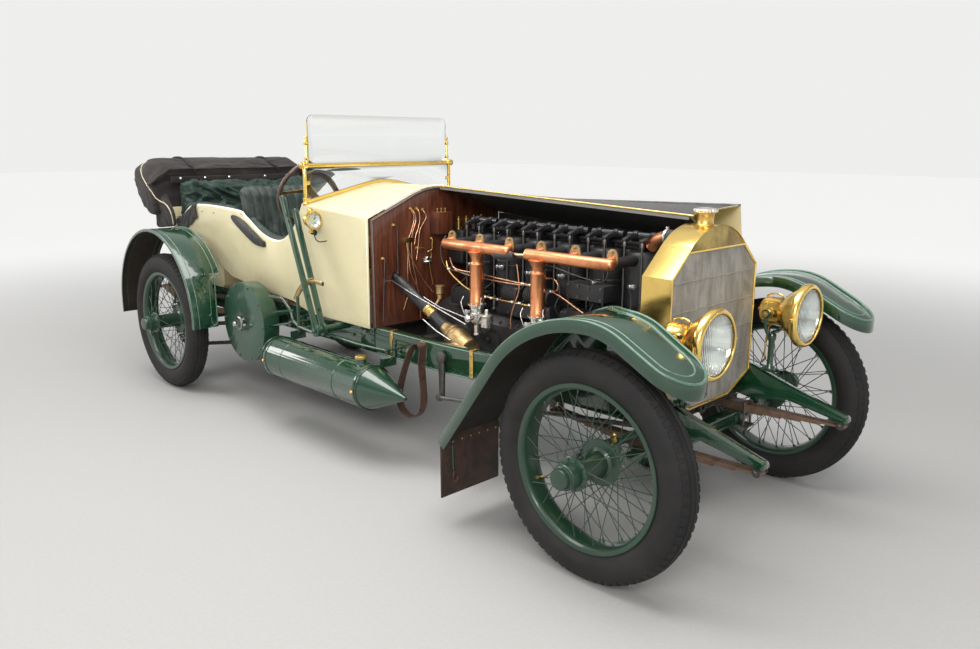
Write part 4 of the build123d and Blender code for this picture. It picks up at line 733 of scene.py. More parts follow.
def wheel(place, side, station, driven):
    body = "wheel_" + place
    way = Vector((0, side, 0))
    centre = Vector((station, side * HALF_TRACK, WHEEL_HEIGHT))
    hint = (1, 0, 0)

    tyre = Shape().lathe(centre, way, tyre_profile(), steps=128, hint=hint)
    tyre.make("tyre_" + place + "_rubber", rubber, "tyre_" + place, body=body, sharp=26)
    bar = Shape().add([(-14, -13, -2.4), (14, -13, -2.4), (14, 13, -2.4), (-14, 13, -2.4), (-12, -11, 4.8),
        (12, -11, 4.8), (12, 11, 4.8), (-12, 11, 4.8)], [(3, 2, 1, 0), (4, 5, 6, 7), (0, 1, 5, 4), (1, 2, 6, 5),
        (2, 3, 7, 6), (3, 0, 4, 7)])
    spots = []
    for face in (-1, 1):
        for a in angles(TREAD_BARS, 0.5 * (face > 0)):
            tilt = radians(37 * face)
            out = radial(a) * cos(tilt) + way * sin(tilt)
            across = way * cos(tilt) - radial(a) * sin(tilt)
            spots.append(spot(centre + radial(a) * TYRE_RING + out * (TYRE_HALF - 2.4), out, across.cross(out)))
    copies("tread_bars_" + place, bar, spots, rubber, body=body)

    core = Shape().lathe(centre, way, rim_profile(), steps=96, hint=hint)
    core.lathe(centre, way, HUB_PROFILE, steps=48, hint=hint)
    core.lathe(centre, way, [(36.5, 168), (39.5, 168), (39.5, 172), (36.5, 172)], steps=48, hint=hint)
    core.make(body + "_core", wheel_green, "wheel_" + place, body=body, sharp=30)
    bolt_spots = [spot(centre + way * 109.5 + radial(a) * 57.5, way) for a in angles(10)]
    bolt_spots += [spot(centre - way * 59.8 + radial(a) * 70, -way) for a in angles(12, 0.5)]
    copies("hub_bolts_" + place, hexagon_bolt(4.2), bolt_spots, wheel_green, body=body)
    cap = Shape().lathe(centre + way * 183, way, [(0, 0), (25, 0), (25, 5.5), (22, 6.4), (0, 6.4)], steps=6)
    cap.make("hub_cap_" + place, guard_green, body=body)

    for row, (hub_radius, hub_height, rim_radius, rim_height, count, lean) in enumerate(SPOKE_ROWS):
        first = centre + way * hub_height + radial(0) * hub_radius
        last = centre + way * rim_height + radial(radians(lean)) * rim_radius
        reach = (last - first).length
        wire = Shape().lathe((0, 0, 0), (0, 0, 1), [(0, -7), (2.0, -7), (2.0, reach - 18), (3.9, reach - 16),
            (3.9, reach - 1), (0, reach - 1)], steps=7)
        wire.lathe((0, 0, 0), (0, 0, 1), [(0, -9), (4.2, -8), (4.2, -4), (0, -3)], steps=7)
        spots = []
        for a in angles(count, 0.25 + 0.5 * (row % 2)):
            foot = centre + way * hub_height + radial(a) * hub_radius
            top = centre + way * rim_height + radial(a + radians(lean)) * rim_radius
            spots.append(spot(foot, top - foot, way))
        copies(f"spokes_{row + 1}_{place}", wire, spots, spoke_green, body=body, sharp=60)
    stem_way = radial(radians(205))
    stem = Shape().lathe(centre + stem_way * 295, -stem_way, [(0, 0), (7, 0), (7, 4), (4, 5), (4, 26), (5.2, 26),
        (5.2, 40), (4, 42), (0, 42)], steps=12)
    stem.make("valve_stem_" + place, old_brass, body=body)
    if driven:
        rear_drum(place, centre, way, body)


def rear_drum(place, centre, way, body):
    """Brake drum with cooling ribs, and the chain wheel bolted to it."""
    plate = HALF_TRACK - 600.0
    drum = Shape().lathe(centre, way, [(142, -plate - 8), (142, -plate - 70), (147, -plate - 70), (147, -plate - 62),
        (150, -plate - 60), (150, -plate - 50), (147, -plate - 48), (147, -plate - 38), (150, -plate - 36),
        (150, -plate - 26), (147, -plate - 24), (147, -plate - 6), (150, -plate - 4), (150, -plate + 12),
        (144, -plate + 16), (72, -plate + 24), (62, -60), (22, -60), (22, -plate - 8)], steps=72, hint=(1, 0, 0))
    teeth, rim, root = 24, 168.0, 157.0
    for i in range(teeth):
        pitch = 2 * pi / teeth
        outline = []
        for share, r in ((-0.5, root), (-0.36, root + 1), (-0.20, rim - 3), (-0.10, rim), (0.10, rim), (0.20, rim - 3),
                (0.36, root + 1), (0.5, root)):
            outline.append(centre - way * (plate + 4.6) + radial((i + share) * pitch) * r)
        inner = [centre - way * (plate + 4.6) + radial((i + share) * pitch) * 138 for share in (0.5, 0, -0.5)]
        drum.slab(outline + inner, way * 9.2, 1)
    drum.make("brake_drum_" + place, [guard_green, chain_steel], body=body, sharp=24)
    spots = [spot(centre - way * (plate - 17) + radial(a) * 118, way) for a in angles(12, 0.5)]
    copies("drum_bolts_" + place, hexagon_bolt(7), spots, dark_steel, body=body)


spoke_green = coach_paint("spoke_green", (0.022, 0.050, 0.034), 0.40, 0.2, dust=0.2)
for place, side, station, driven in (("front_left", LEFT, 3570.0, False), ("front_right", RIGHT, 3570.0, False),
        ("rear_left", LEFT, 0.0, True), ("rear_right", RIGHT, 0.0, True)):
    wheel(place, side, station, driven)


# Fenders

FRONT_LINE = rounded_line([(2830, 0, 373), (3302, 0, 1021), (3687, 0, 1021), (4040, 0, 834)], [600, 320], 24)
REAR_LINE = rounded_line([(-533, 0, 440), (-533, 0, 1062), (563, 0, 1062), (563, 0, 486)], [546, 546], 32)


def front_height(x):
    """Height of the front fender's sheet at a station."""
    for a, b in zip(FRONT_LINE, FRONT_LINE[1:]):
        if a.x <= x <= b.x:
            return a.z + (b.z - a.z) * (x - a.x) / max(b.x - a.x, 1e-6)
    return FRONT_LINE[-1].z if x > FRONT_LINE[-1].x else FRONT_LINE[0].z


def tongue_edge(inset, foot=2836):
    """The front fender's plan edge, inset from its outline, from the outer foot round the tip to the inner foot."""
    outer, tip_inner = -833.0 + inset, -583.0 - inset
    radius = (tip_inner - outer) / 2
    tip = 4006.0 - inset - radius
    middle = (outer + tip_inner) / 2
    edge = [(x, outer) for x in range(foot, int(tip), 24)]
    edge += [(tip + radius * cos(a), middle + radius * sin(a)) for a in [radians(-90 + 9 * k) for k in range(21)]]
    inner = [(3880, tip_inner), (3740, tip_inner + 13), (3600, tip_inner + 26), (3510, -504 - inset),
        (3440, -456 - inset), (3400, -450 - inset), (3240, -450 - inset), (3090, -450 - inset), (3050, -456 - inset),
        (3034, -474 - inset), (2980, -478 - inset), (foot, -478 - inset)]
    smooth = smooth_line([(x, y, 0) for x, y in inner], 6)
    return edge + [(p.x, p.y) for p in smooth[1:]]


def over_fender(edge, rise):
    return [Vector((x, y, front_height(x) + rise)) for x, y in edge]


def front_fender_trim(side, name):
    trim = Shape().tube(over_fender(tongue_edge(6.5), 0.4), 6.2, sides=10, flat=0.8)
    trim.tube(over_fender(tongue_edge(44, foot=3040), 0.0), 3.6, sides=8, flat=0.7)
    skirt = tongue_edge(3.6)
    low = [Vector((x, y, front_height(x) - 44)) for x, y in skirt if x > 2880]
    trim.tube(low, 3.4, sides=8)
    if side == LEFT:
        trim = trim.mirrored()
    trim.make(f"front_fender_beads_{name}", bead_green, sharp=60)
    spots = []
    for x, y in ((3120, -520), (3120, -640), (3120, -760), (3340, -486), (3480, -500), (3290, -486)):
        spots.append(spot((x, side * -y, front_height(x) + 0.4), (0, 0, 1)))
    copies(f"front_fender_rivets_{name}", rivet(6.5, 0.5), spots, green_paint)


def rear_edge(y, inset, first=0, last=None):
    """A line on the rear fender's sheet at one y, inset inwards along its own normal."""
    centre = Vector((15, 0, 516))
    line = []
    for p in REAR_LINE[first:last]:
        out = Vector((p.x - centre.x, 0, max(p.z - centre.z, 0))).normalized()
        line.append(Vector((p.x, y, p.z)) - out * inset)
    return line


def rear_fender_trim(side, name):
    trim = Shape()
    for y in (-828.0, -790.0):
        trim.tube(rear_edge(y, 0.6), 4.6 if y == -828.0 else 3.2, sides=8, flat=0.8)
    notch = [p for p in rear_edge(-598.0, 0.6) if not (p.x > 300 and p.z < 835)]
    low = [(561, -640, 818), (562.5, -664, 800), (562.4, -673, 770), (562.4, -673, 640), (562.4, -673, 520),
        (562.4, -690, 496), (562.4, -720, 490)]
    for inset, radius in ((0, 4.4), (36, 3.0)):
        path = [p + Vector((0, -inset, 0)) for p in notch]
        path += smooth_line([Vector(p) + Vector((0.2, -inset if i < 5 else 0, -inset * 0.3 if i < 2 else 0)) for i,
            p in enumerate(low)], 4)
        trim.tube(path, radius, sides=8, flat=0.8, hint=(0, 1, 0))
    if side == LEFT:
        trim = trim.mirrored()
    trim.make(f"rear_fender_beads_{name}", bead_green, sharp=60)
    spots = []
    for y, z in ((-770, 800), (-712, 806), (-694, 806), (-722, 700), (-716, 560)):
        x = next(p.x for p in REAR_LINE if p.x > 0 and p.z <= z) if z < 1000 else 500
        spots.append(spot((x - 0.6, side * -y, z), (1, 0, 0.12)))
    copies(f"rear_fender_domes_{name}", rivet(9.5, 0.6), spots, green_paint)


bead_green = coach_paint("bead_green", (0.075, 0.17, 0.115), 0.22, 0.9, dust=0.1)
for name, side in (("left", LEFT), ("right", RIGHT)):
    front_fender_trim(side, name)
    rear_fender_trim(side, name)
    studs = [spot((2848.6, side * (500 + i * 52), 362), (1, 0, 0)) for i in range(7)]
    copies(f"mudflap_rivets_{name}", rivet(5.5), studs, old_brass)
    stay = Shape().tube([(2852, side * 770, 372), (2852, side * 765, 236)], 5.5, sides=10, flat=0.6, hint=(0, 1, 0))
    stay.bolt((2851, side * 769, 350), (1, 0, 0), 6)
    stay.make(f"mudflap_stay_{name}", green_paint, sharp=50)
    loop = rounded_line([(2851.4, side * 758, 226), (2860, side * 772, 196), (2858, side * 748, 168),
        (2851.4, side * 738, 196)], [8, 8], 5)
    Shape().tube(loop, 4.5, sides=8).make(f"mudflap_loop_{name}", strap_leather, sharp=60)


# Body trim

def side_half(height):
    return 475 + (height - 655) * (541 - 475) / (1283 - 655)


BODY_TOP = [(-330, 1090), (-180, 1100), (60, 1200), (610, 1200), (720, 1165), (840, 1095), (930, 1060), (1010, 1048),
    (1090, 1050), (1180, 1085), (1290, 1170), (1384, 1283)]


def body_top_height(x):
    for (x0, z0), (x1, z1) in zip(BODY_TOP, BODY_TOP[1:]):
        if x0 <= x <= x1:
            return z0 + (z1 - z0) * (x - x0) / (x1 - x0)
    return BODY_TOP[-1][1]


def body_trim(side, name):
    """Half-round bead on the body's top edge, the elbow pad, two snaps and screws along the sill and front edge."""
    edge = []
    for p in smooth_line([(x, 0, z) for x, z in BODY_TOP], 8):
        edge.append(Vector((p.x, side * (side_half(p.z) - 9), p.z + 0.5)))
    Shape().tube(edge, 11.5, sides=12, flat=0.62, hint=(0, 1, 0)).make(f"body_edge_{name}", cream_edge, sharp=60)
    pad = []
    outline = [(566, 1168), (600, 1174), (700, 1150), (800, 1098), (900, 1046), (925, 1040), (924, 1008), (900, 1004),
        (820, 1012), (740, 1046), (650, 1096), (580, 1140)]
    middle = Vector((sum(x for x, z in outline) / len(outline), sum(z for x, z in outline) / len(outline), 0))
    for share, rise in ((1.0, 0.5), (1.0, 7.0), (0.96, 12.0), (0.86, 17.0), (0.60, 21.0), (0.25, 23.0)):
        ring = []
        for p in smooth_line([(x, z, 0) for x, z in outline], 4, closed=True):
            q = middle + (p - middle) * share
            ring.append(Vector((q.x, side * (side_half(q.y) + rise), q.y)))
        pad.append(ring)
    cover = Shape().rings(pad[:4], caps=False).rings(pad[3:], 1, caps=False)
    count = len(pad[0])
    cover.add(pad[0], [tuple(reversed(range(count)))]).add(pad[-1], [tuple(range(count))], 1)
    seam = [Vector((p.x, p.y + side * 1.5, p.z)) for p in pad[2]]
    cover.tube(seam, 2.2, sides=6, closed=True)
    cover.make(f"elbow_pad_{name}", [pad_leather, rubbed_leather], sharp=50, merge=0.01)
    nails = []
    ring = pad[1]
    for i in range(0, len(ring), 4):
        nails.append(spot(ring[i] + Vector((0, side * 0.6, 0)), (0, side, 0)))
    copies(f"elbow_pad_nails_{name}", rivet(3.0), nails, old_brass)
    snaps = [spot((x, side * (side_half(1176) + 0.6), 1176), (0, side, -0.1)) for x in (162, 325)]
    copies(f"body_snaps_{name}", Shape().lathe((0, 0, 0), (0, 0, 1), [(0, 0), (8, 0), (8, 1.5), (5, 3), (5, 5),
        (3.5, 6.5), (0, 6.8)], steps=14), snaps, nickel)
    screws = []
    for x in range(700, 1381, 75):
        z = 668 + max(0, (1150 - x)) * 0.165
        screws.append(spot((x, side * (side_half(z) + 0.4), z + 12), (0, side, -0.1)))
    for z in range(700, 1261, 70):
        screws.append(spot((1378, side * (side_half(z) + 0.4), z), (0, side, -0.1)))
    copies(f"body_screws_{name}", rivet(2.6, 0.35), screws, cream_paint)


def cowl_section(share, rise, count=34):
    """A line over the cowl at a share of its length from the screen, rise outside it."""
    half = 541 + (470 - 541) * share
    shoulder = 1283 + (1236 - 1283) * share
    apex = 1398 + (1426 - 1398) * share
    x = 1385 + (1884.7 - 1385) * share
    line = rounded_line([(x, half, shoulder), (x, 0, apex), (x, -half, shoulder)], [500], count)
    out = []
    for p in line:
        normal = Vector((0, p.y / half * 0.35, 1)).normalized()
        out.append(p + normal * rise)
    return out, half, shoulder


def cowl_trim():
    """Bead where the bonnet meets the dash, and a row of screws."""
    line, half, shoulder = cowl_section(0.985, 1.6)
    foot = 475 - 2
    band = [Vector((line[0].x, foot, 672))] + [p + Vector((0, 1.6 if p.y > half * 0.98 else 0, 0)) for p in line[:1]]
    path = band + line[1:-1] + [Vector((line[0].x, -line[0].y - 1.6, line[0].z)), Vector((line[0].x, -foot, 672))]
    Shape().tube(path, 5.2, sides=8, flat=0.55, hint=(1, 0, 0)).make("cowl_edge_bead", cream_edge, sharp=60)
    screws = []
    line, half, shoulder = cowl_section(0.97, 0.8)
    for i in range(2, len(line) - 2, 3):
        screws.append(spot(line[i], (0, line[i].y / half * 0.35, 1)))
    for side in (LEFT, RIGHT):
        for z in range(700, 1220, 62):
            y = 475 + (half - 475) * (z - 655) / (shoulder - 655)
            screws.append(spot((line[0].x, side * (y + 0.6), z), (0, side, -0.05)))
    copies("cowl_screws", rivet(3.0, 0.4), screws, old_brass)


for name, side in (("left", LEFT), ("right", RIGHT)):
    body_trim(side, name)
cowl_trim()


# Bulkhead dressing, in the plane of its front face

BULKHEAD = 1907.0


def pipes(name, runs, radius, finish):
    """Small pipes through given points."""
    bundle = Shape()
    for run in runs:
        bundle.tube(smooth_line(run, 6), radius, sides=8)
    return bundle.make(name, finish, sharp=70)


def bulkhead_dressing():
    edge = rounded_line([(0, 462, 1230), (0, 0, 1420), (0, -462, 1230)], [500], 30)
    order = [Vector((1907.5, 454, 664))] + [Vector((1907.5, p.y * 0.992, p.z - 3.5))
        for p in edge] + [Vector((1907.5, -454, 664))]
    Shape().tube(order, 4.2, sides=8, hint=(1, 0, 0)).make("bulkhead_edge", dark_steel, sharp=60)
    copper_runs = [
        [(1907, -204, 1274), (1918, -200, 1262), (1920, -191, 1216), (1919, -213, 1150), (1916, -227, 1112),
            (1916, -236, 1007), (1918, -239, 878), (1922, -244, 830)],
        [(1907, -192, 1262), (1918, -186, 1250), (1921, -180, 1212), (1919, -201, 1150), (1916, -207, 1100),
            (1918, -206, 1000), (1922, -186, 900), (1926, -178, 849)],
        [(1907, -163, 1272), (1919, -156, 1258), (1922, -152, 1213), (1920, -166, 1160), (1918, -179, 1130),
            (1918, -190, 1080)],
        [(1907, -122, 1264), (1919, -116, 1250), (1922, -108, 1222), (1920, -140, 1176), (1918, -152, 1150),
            (1919, -166, 1059), (1921, -180, 1000)],
        [(1916, -254, 1124), (1921, -240, 1090), (1922, -228, 1040), (1930, -190, 960), (1940, -140, 880),
            (1956, -90, 815)],
        [(1916, -246, 1112), (1924, -236, 1020), (1930, -226, 930), (1934, -182, 840), (1936, -170, 740),
            (1936, -168, 670)],
        [(1920, -164, 826), (1924, -160, 760), (1930, -120, 690), (1932, -112, 668)],
    ]
    pipes("bulkhead_copper_pipes", copper_runs, 3.4, bright_copper)
    pipes("bulkhead_brass_pipes", [
        [(1916, -62, 1104), (1921, -66, 1070), (1921, -70, 1046), (1913, -92, 1034)],
        [(1913, -166, 1062), (1924, -120, 1056), (1926, -84, 1040), (1924, -76, 1010), (1924, -90, 984),
            (1924, -84, 940), (1924, -77, 903), (1930, -70, 850)],
        [(1916, -270, 735), (1922, -252, 790), (1924, -236, 832)],
    ], 2.8, old_brass)
    pipes("bulkhead_steel_rods", [
        [(1914, -322, 1194), (1919, -312, 1190), (1920, -306, 1150), (1919, -306, 939), (1919, -307, 910)],
        [(1914, -398, 1024), (1920, -392, 1018), (1920, -397, 960), (1919, -408, 760), (1919, -412, 690)],
    ], 3.4, dark_steel)
    fittings = Shape()
    for y, z in ((-205, 1274), (-192, 1262), (-163, 1272), (-122, 1264), (-62, 1104), (-166, 1062), (-322, 1194),
            (-398, 1024)):
        fittings.bolt((BULKHEAD + 0.4, y, z), (1, 0, 0), 7.5)
    fittings.block((BULKHEAD + 0.4, -262, 1096), (BULKHEAD + 16, -196, 1122))
    fittings.make("bulkhead_unions", old_brass, bevel=0.8)
    clip = Shape().lathe((BULKHEAD + 0.3, -95, 988), (1, 0, 0), [(0, 0), (24, 0), (24, 10), (20, 18), (0, 20)],
        steps=28)
    clip.tube([(BULKHEAD + 12, -126, 983), (BULKHEAD + 30, -110, 985), (BULKHEAD + 34, -90, 987)], 5, sides=10)
    clip.make("bulkhead_cock", nickel, bevel=0.6)
    oiler = Shape()
    oiler.block((BULKHEAD + 0.4, 60, 960), (BULKHEAD + 120, 300, 1150))
    oiler.make("bulkhead_oil_tank", engine_black, bevel=14, segments=4)
    glasses = Shape()
    for i in range(4):
        glasses.lathe((BULKHEAD + 60, 90 + i * 58, 1150), (0, 0, 1), [(0, 0), (15, 0), (15, 8), (10, 12), (10, 46),
            (15, 50), (15, 58), (6, 62), (6, 70), (0, 70)], steps=20)
    glasses.make("oil_tank_feeds", old_brass)
    box = Shape().block((BULKHEAD + 0.4, -66, 1130), (BULKHEAD + 70, 40, 1250))
    box.make("bulkhead_coil_box", mahogany, bevel=5)
    terminals = Shape()
    for y in (-48, -20, 8):
        terminals.lathe((BULKHEAD + 40, y, 1250), (0, 0, 1), [(0, 0), (7, 0), (7, 4), (3, 5), (3, 14), (6, 14), (6, 20),
            (0, 22)], steps=14)
    terminals.make("coil_box_terminals", old_brass)


bulkhead_dressing()


# Engine

CYLINDERS = [2270.0 + 200.0 * i for i in range(6)]
MANIFOLD_Y, MANIFOLD_Z = -265.0, 1125.0


def cylinder_barrels():
    """Cast barrels with a water-jacket band, cooling ribs low down and a bolted foot."""
    barrels = Shape()
    for x in CYLINDERS:
        profile = [(0, 770), (92, 770), (94, 773), (94, 786), (91, 789), (80, 791), (74, 800)]
        for z in range(806, 900, 12):
            profile += [(74, z), (81, z + 2), (81, z + 5), (74, z + 7)]
        profile += [(75, 905), (80, 915), (82, 930), (82, 1118), (80, 1126), (80, 1142), (76, 1152), (68, 1158),
            (0, 1160)]
        barrels.lathe((x, 0, 0), (0, 0, 1), profile, steps=40)
        barrels.lathe((x, 0, 1012), (0, 0, 1), [(82, -9), (84, -7), (84, 7), (82, 9)], steps=40)
        barrels.tube([(x, 0, 1125), (x, -238, 1125)], 24, sides=18)
        barrels.tube([(x, 0, 1095), (x, 177, 1095)], 30, sides=18)
        for y in (-86, 86):
            barrels.lathe((x - 52, y * 0.55, 1150), (0, 0, 1), [(0, 0), (13, 0), (13, 12), (10, 16), (0, 17)], steps=6)
    barrels.make("cylinder_barrels", engine_black, "cylinders", sharp=32)
    studs = []
    for x in CYLINDERS:
        for a in angles(8, 0.5):
            studs.append(spot((x + 86 * cos(a), 86 * sin(a), 788), (0, 0, 1)))
    copies("cylinder_foot_nuts", hexagon_bolt(5.5), studs, dark_steel)


def valve_train():
    """Rocker shaft in glossy sleeves, rockers, springs with caps, push rods and their guides."""
    sleeves, rockers, springs, rods = Shape(), Shape(), Shape(), Shape()
    shaft = 1225.0
    for x in CYLINDERS:
        for start, end in ((x - 88, x - 60), (x - 32, x + 32), (x + 60, x + 88)):
            sleeves.lathe((start, 0, shaft), (1, 0, 0), [(0, 0), (15, 0), (16.8, 2), (16.8, end - start - 2),
                (15, end - start), (0, end - start)], steps=24)
        rockers.block((x - 14, -30, 1160), (x + 14, 30, 1214))
        for u in (x - 46, x + 46):
            arm = [(u - 10, -96, 1216), (u - 10, -70, 1226), (u - 10, -24, 1236), (u - 10, 24, 1236),
                (u - 10, 60, 1226), (u - 10, 70, 1214), (u - 10, 58, 1208), (u - 10, 24, 1214), (u - 10, -24, 1213),
                (u - 10, -80, 1204), (u - 10, -96, 1206)]
            rockers.slab(arm, (20, 0, 0))
            rockers.lathe((u - 12, 0, shaft), (1, 0, 0), [(0, 0), (21, 0), (21, 24), (0, 24)], steps=20)
            turns = [(u + 17 * cos(2 * pi * k / 12), 40 + 17 * sin(2 * pi * k / 12), 1163 + k * 0.62)
                for k in range(60)]
            springs.tube(turns, 2.6, sides=6)
            springs.lathe((u, 40, 1198), (0, 0, 1), [(0, 0), (20, 0), (20, 5), (12, 8), (6, 8), (6, 14), (0, 14)],
                steps=18)
            rods.tube([(u, -88, 792), (u, -88, 1206)], 5.6, sides=10)
            rods.lathe((u, -88, 788), (0, 0, 1), [(0, 0), (15, 0), (15, 8), (11, 12), (11, 40), (8, 46), (0, 46)],
                steps=16)
            rods.lathe((u, -88, 1184), (0, 0, 1), [(0, 0), (8.5, 0), (8.5, 16), (6, 22), (0, 22)], steps=6)
    sleeves.make("rocker_sleeves", sleeve_black, "valve_gear", sharp=40)
    rockers.make("rockers", engine_black, bevel=1.6, sharp=40)
    springs.make("valve_springs", sleeve_black, sharp=60)
    rods.make("push_rods", dark_steel, sharp=40)


def manifold(first, name):
    """Tapered copper header over three ports, with bronze port flanges and a stepped riser."""
    ports = CYLINDERS[first:first + 3]
    riser = CYLINDERS[1] + 12 if first == 0 else CYLINDERS[3] + 12
    y, z = MANIFOLD_Y, MANIFOLD_Z
    ends = (ports[0] - 33.5, ports[-1] + 33.5)
    pipe = Shape()
    line = [(ends[0], 0), (ends[0] + 3, 16), (ends[0] + 9, 23), (ends[0] + 18, 26.4)]
    line += [(riser - 70, 26.6), (riser, 26.9), (riser + 70, 26.6), (ends[1] - 18, 26.2), (ends[1] - 8, 23),
        (ends[1] - 2, 15), (ends[1], 0)]
    pipe.lathe((0, y, z), (1, 0, 0), [(r, x) for x, r in line], steps=32)
    for x in ports:
        reach = []
        for k in range(9):
            t = k / 8
            reach.append((x, y + 4 + 29 * t, z + 3 + 14 * sin(t * pi / 2)))
        pipe.tube(reach, [25, 24, 23, 22, 21, 20.5, 20.5, 21, 22], sides=20)
    pipe.make(f"manifold_{name}_header", copper, "intake_manifolds" if first == 0 else (), sharp=60)
    neck = Shape()
    neck.lathe((riser, y, 0), (0, 0, 1), [(0, 1020), (29, 1020), (29, 1040), (28, 1052), (30, 1072), (38, 1092),
        (46, 1104), (30, 1112), (0, 1114)], steps=36)
    neck.lathe((riser, y, 0), (0, 0, 1), [(0, 850), (36, 850), (36, 868), (34.6, 871), (34.6, 1036), (36, 1039),
        (36, 1046), (33, 1050), (31, 1056), (0, 1058)], steps=36)
    neck.make(f"manifold_{name}_riser", copper, sharp=34)
    flanges = Shape()
    for x in ports:
        outline = []
        for a in angles(28):
            reach = 27 + 12 * abs(sin(a)) ** 3
            outline.append((x + reach * 1.12 * cos(a), -237, z + 20 + reach * 1.12 * sin(a)))
        flanges.slab(outline, (0, 9, 0))
        for face in (-1, 1):
            flanges.bolt((x, -237.4, z + 20 + face * 33), (0, -1, 0), 6.5, 8)
    flanges.make(f"manifold_{name}_flanges", bronze, bevel=1.0)


def carburettor(first, name):
    """Nickel body with a float chamber, unions, throttle levers and a mixture screw."""
    x = (CYLINDERS[1] if first == 0 else CYLINDERS[3]) + 12
    y, top = MANIFOLD_Y, 849.7
    body = Shape()
    body.lathe((x, y, 0), (0, 0, 1), [(0, top), (46, top), (46, top - 7), (40, top - 9), (36, top - 20), (33, top - 22),
        (33, 806), (36, 803), (36, 797), (33, 794), (33, 766), (28, 756), (20, 750), (14, 742), (14, 702), (17, 698),
        (17, 692), (0, 690)], steps=32)
    body.lathe((x + 70, y, 0), (0, 0, 1), [(0, 738), (20, 738), (30, 744), (31, 750), (31, 792), (33, 795), (33, 801),
        (26, 806), (12, 810), (10, 826), (6, 830), (0, 831)], steps=28)
    body.tube([(x, y, 760), (x + 70, y, 760)], 12, sides=14)
    body.tube([(x, y, 705), (x, y + 60, 705), (x, y + 99, 705)], 10, sides=14)
    body.tube([(x, y - 30, 784), (x, y - 64, 784)], 15, sides=18)
    body.bolt((x, y - 62, 784), (0, -1, 0), 13, 12)
    for k in range(2):
        body.bolt((x + (-36 if k else 36), y, top - 3), (0, 0, 1), 6, 9)
    body.make(f"carburettor_{name}_body", nickel, "carburettors" if first == 0 else (), sharp=30)
    levers = Shape()
    levers.slab([(x - 44, y - 40, 792), (x - 36, y - 40, 800), (x + 4, y - 40, 790), (x + 4, y - 40, 778),
        (x - 6, y - 40, 776)], (0, 5, 0))
    levers.slab([(x + 30, y - 36, 770), (x + 38, y - 36, 764), (x + 62, y - 36, 800), (x + 56, y - 36, 806)], (0, 5, 0))
    levers.tube(smooth_line([(x - 40, y - 46, 796), (x - 60, y - 50, 850), (x - 64, y - 30, 880)], 5), 2.6, sides=8)
    levers.tube(smooth_line([(x + 58, y - 42, 802), (x + 66, y - 40, 850), (x + 60, y - 30, 884),
        (x + 54, y - 12, 890)], 5), 2.4, sides=8)
    levers.lathe((x - 20, y - 34, 812), (0, -1, 0), [(0, 0), (9, 0), (9, 16), (12, 17), (12, 22), (0, 23)], steps=16)
    levers.make(f"carburettor_{name}_levers", bright_steel, bevel=0.5)
    spring = [(x - 30 + 5 * cos(2 * pi * k / 8), y - 46 + 5 * sin(2 * pi * k / 8), 730 + k * 1.1) for k in range(48)]
    Shape().tube(spring, 1.2, sides=5).make(f"carburettor_{name}_spring", dark_steel, sharp=60)


def spark_plug(shape, point, way):
    """Hexagon and body of one plug; the white part is added apart."""
    shape.lathe(point, way, [(0, 0), (12, 0), (12, 10), (9, 12), (9, 18), (0, 18)], steps=6)
    shape.lathe(Vector(point) + Vector(way).normalized() * 42, way, [(0, 0), (3, 0), (3, 8), (6, 8), (6, 14), (0, 15)],
        steps=12)


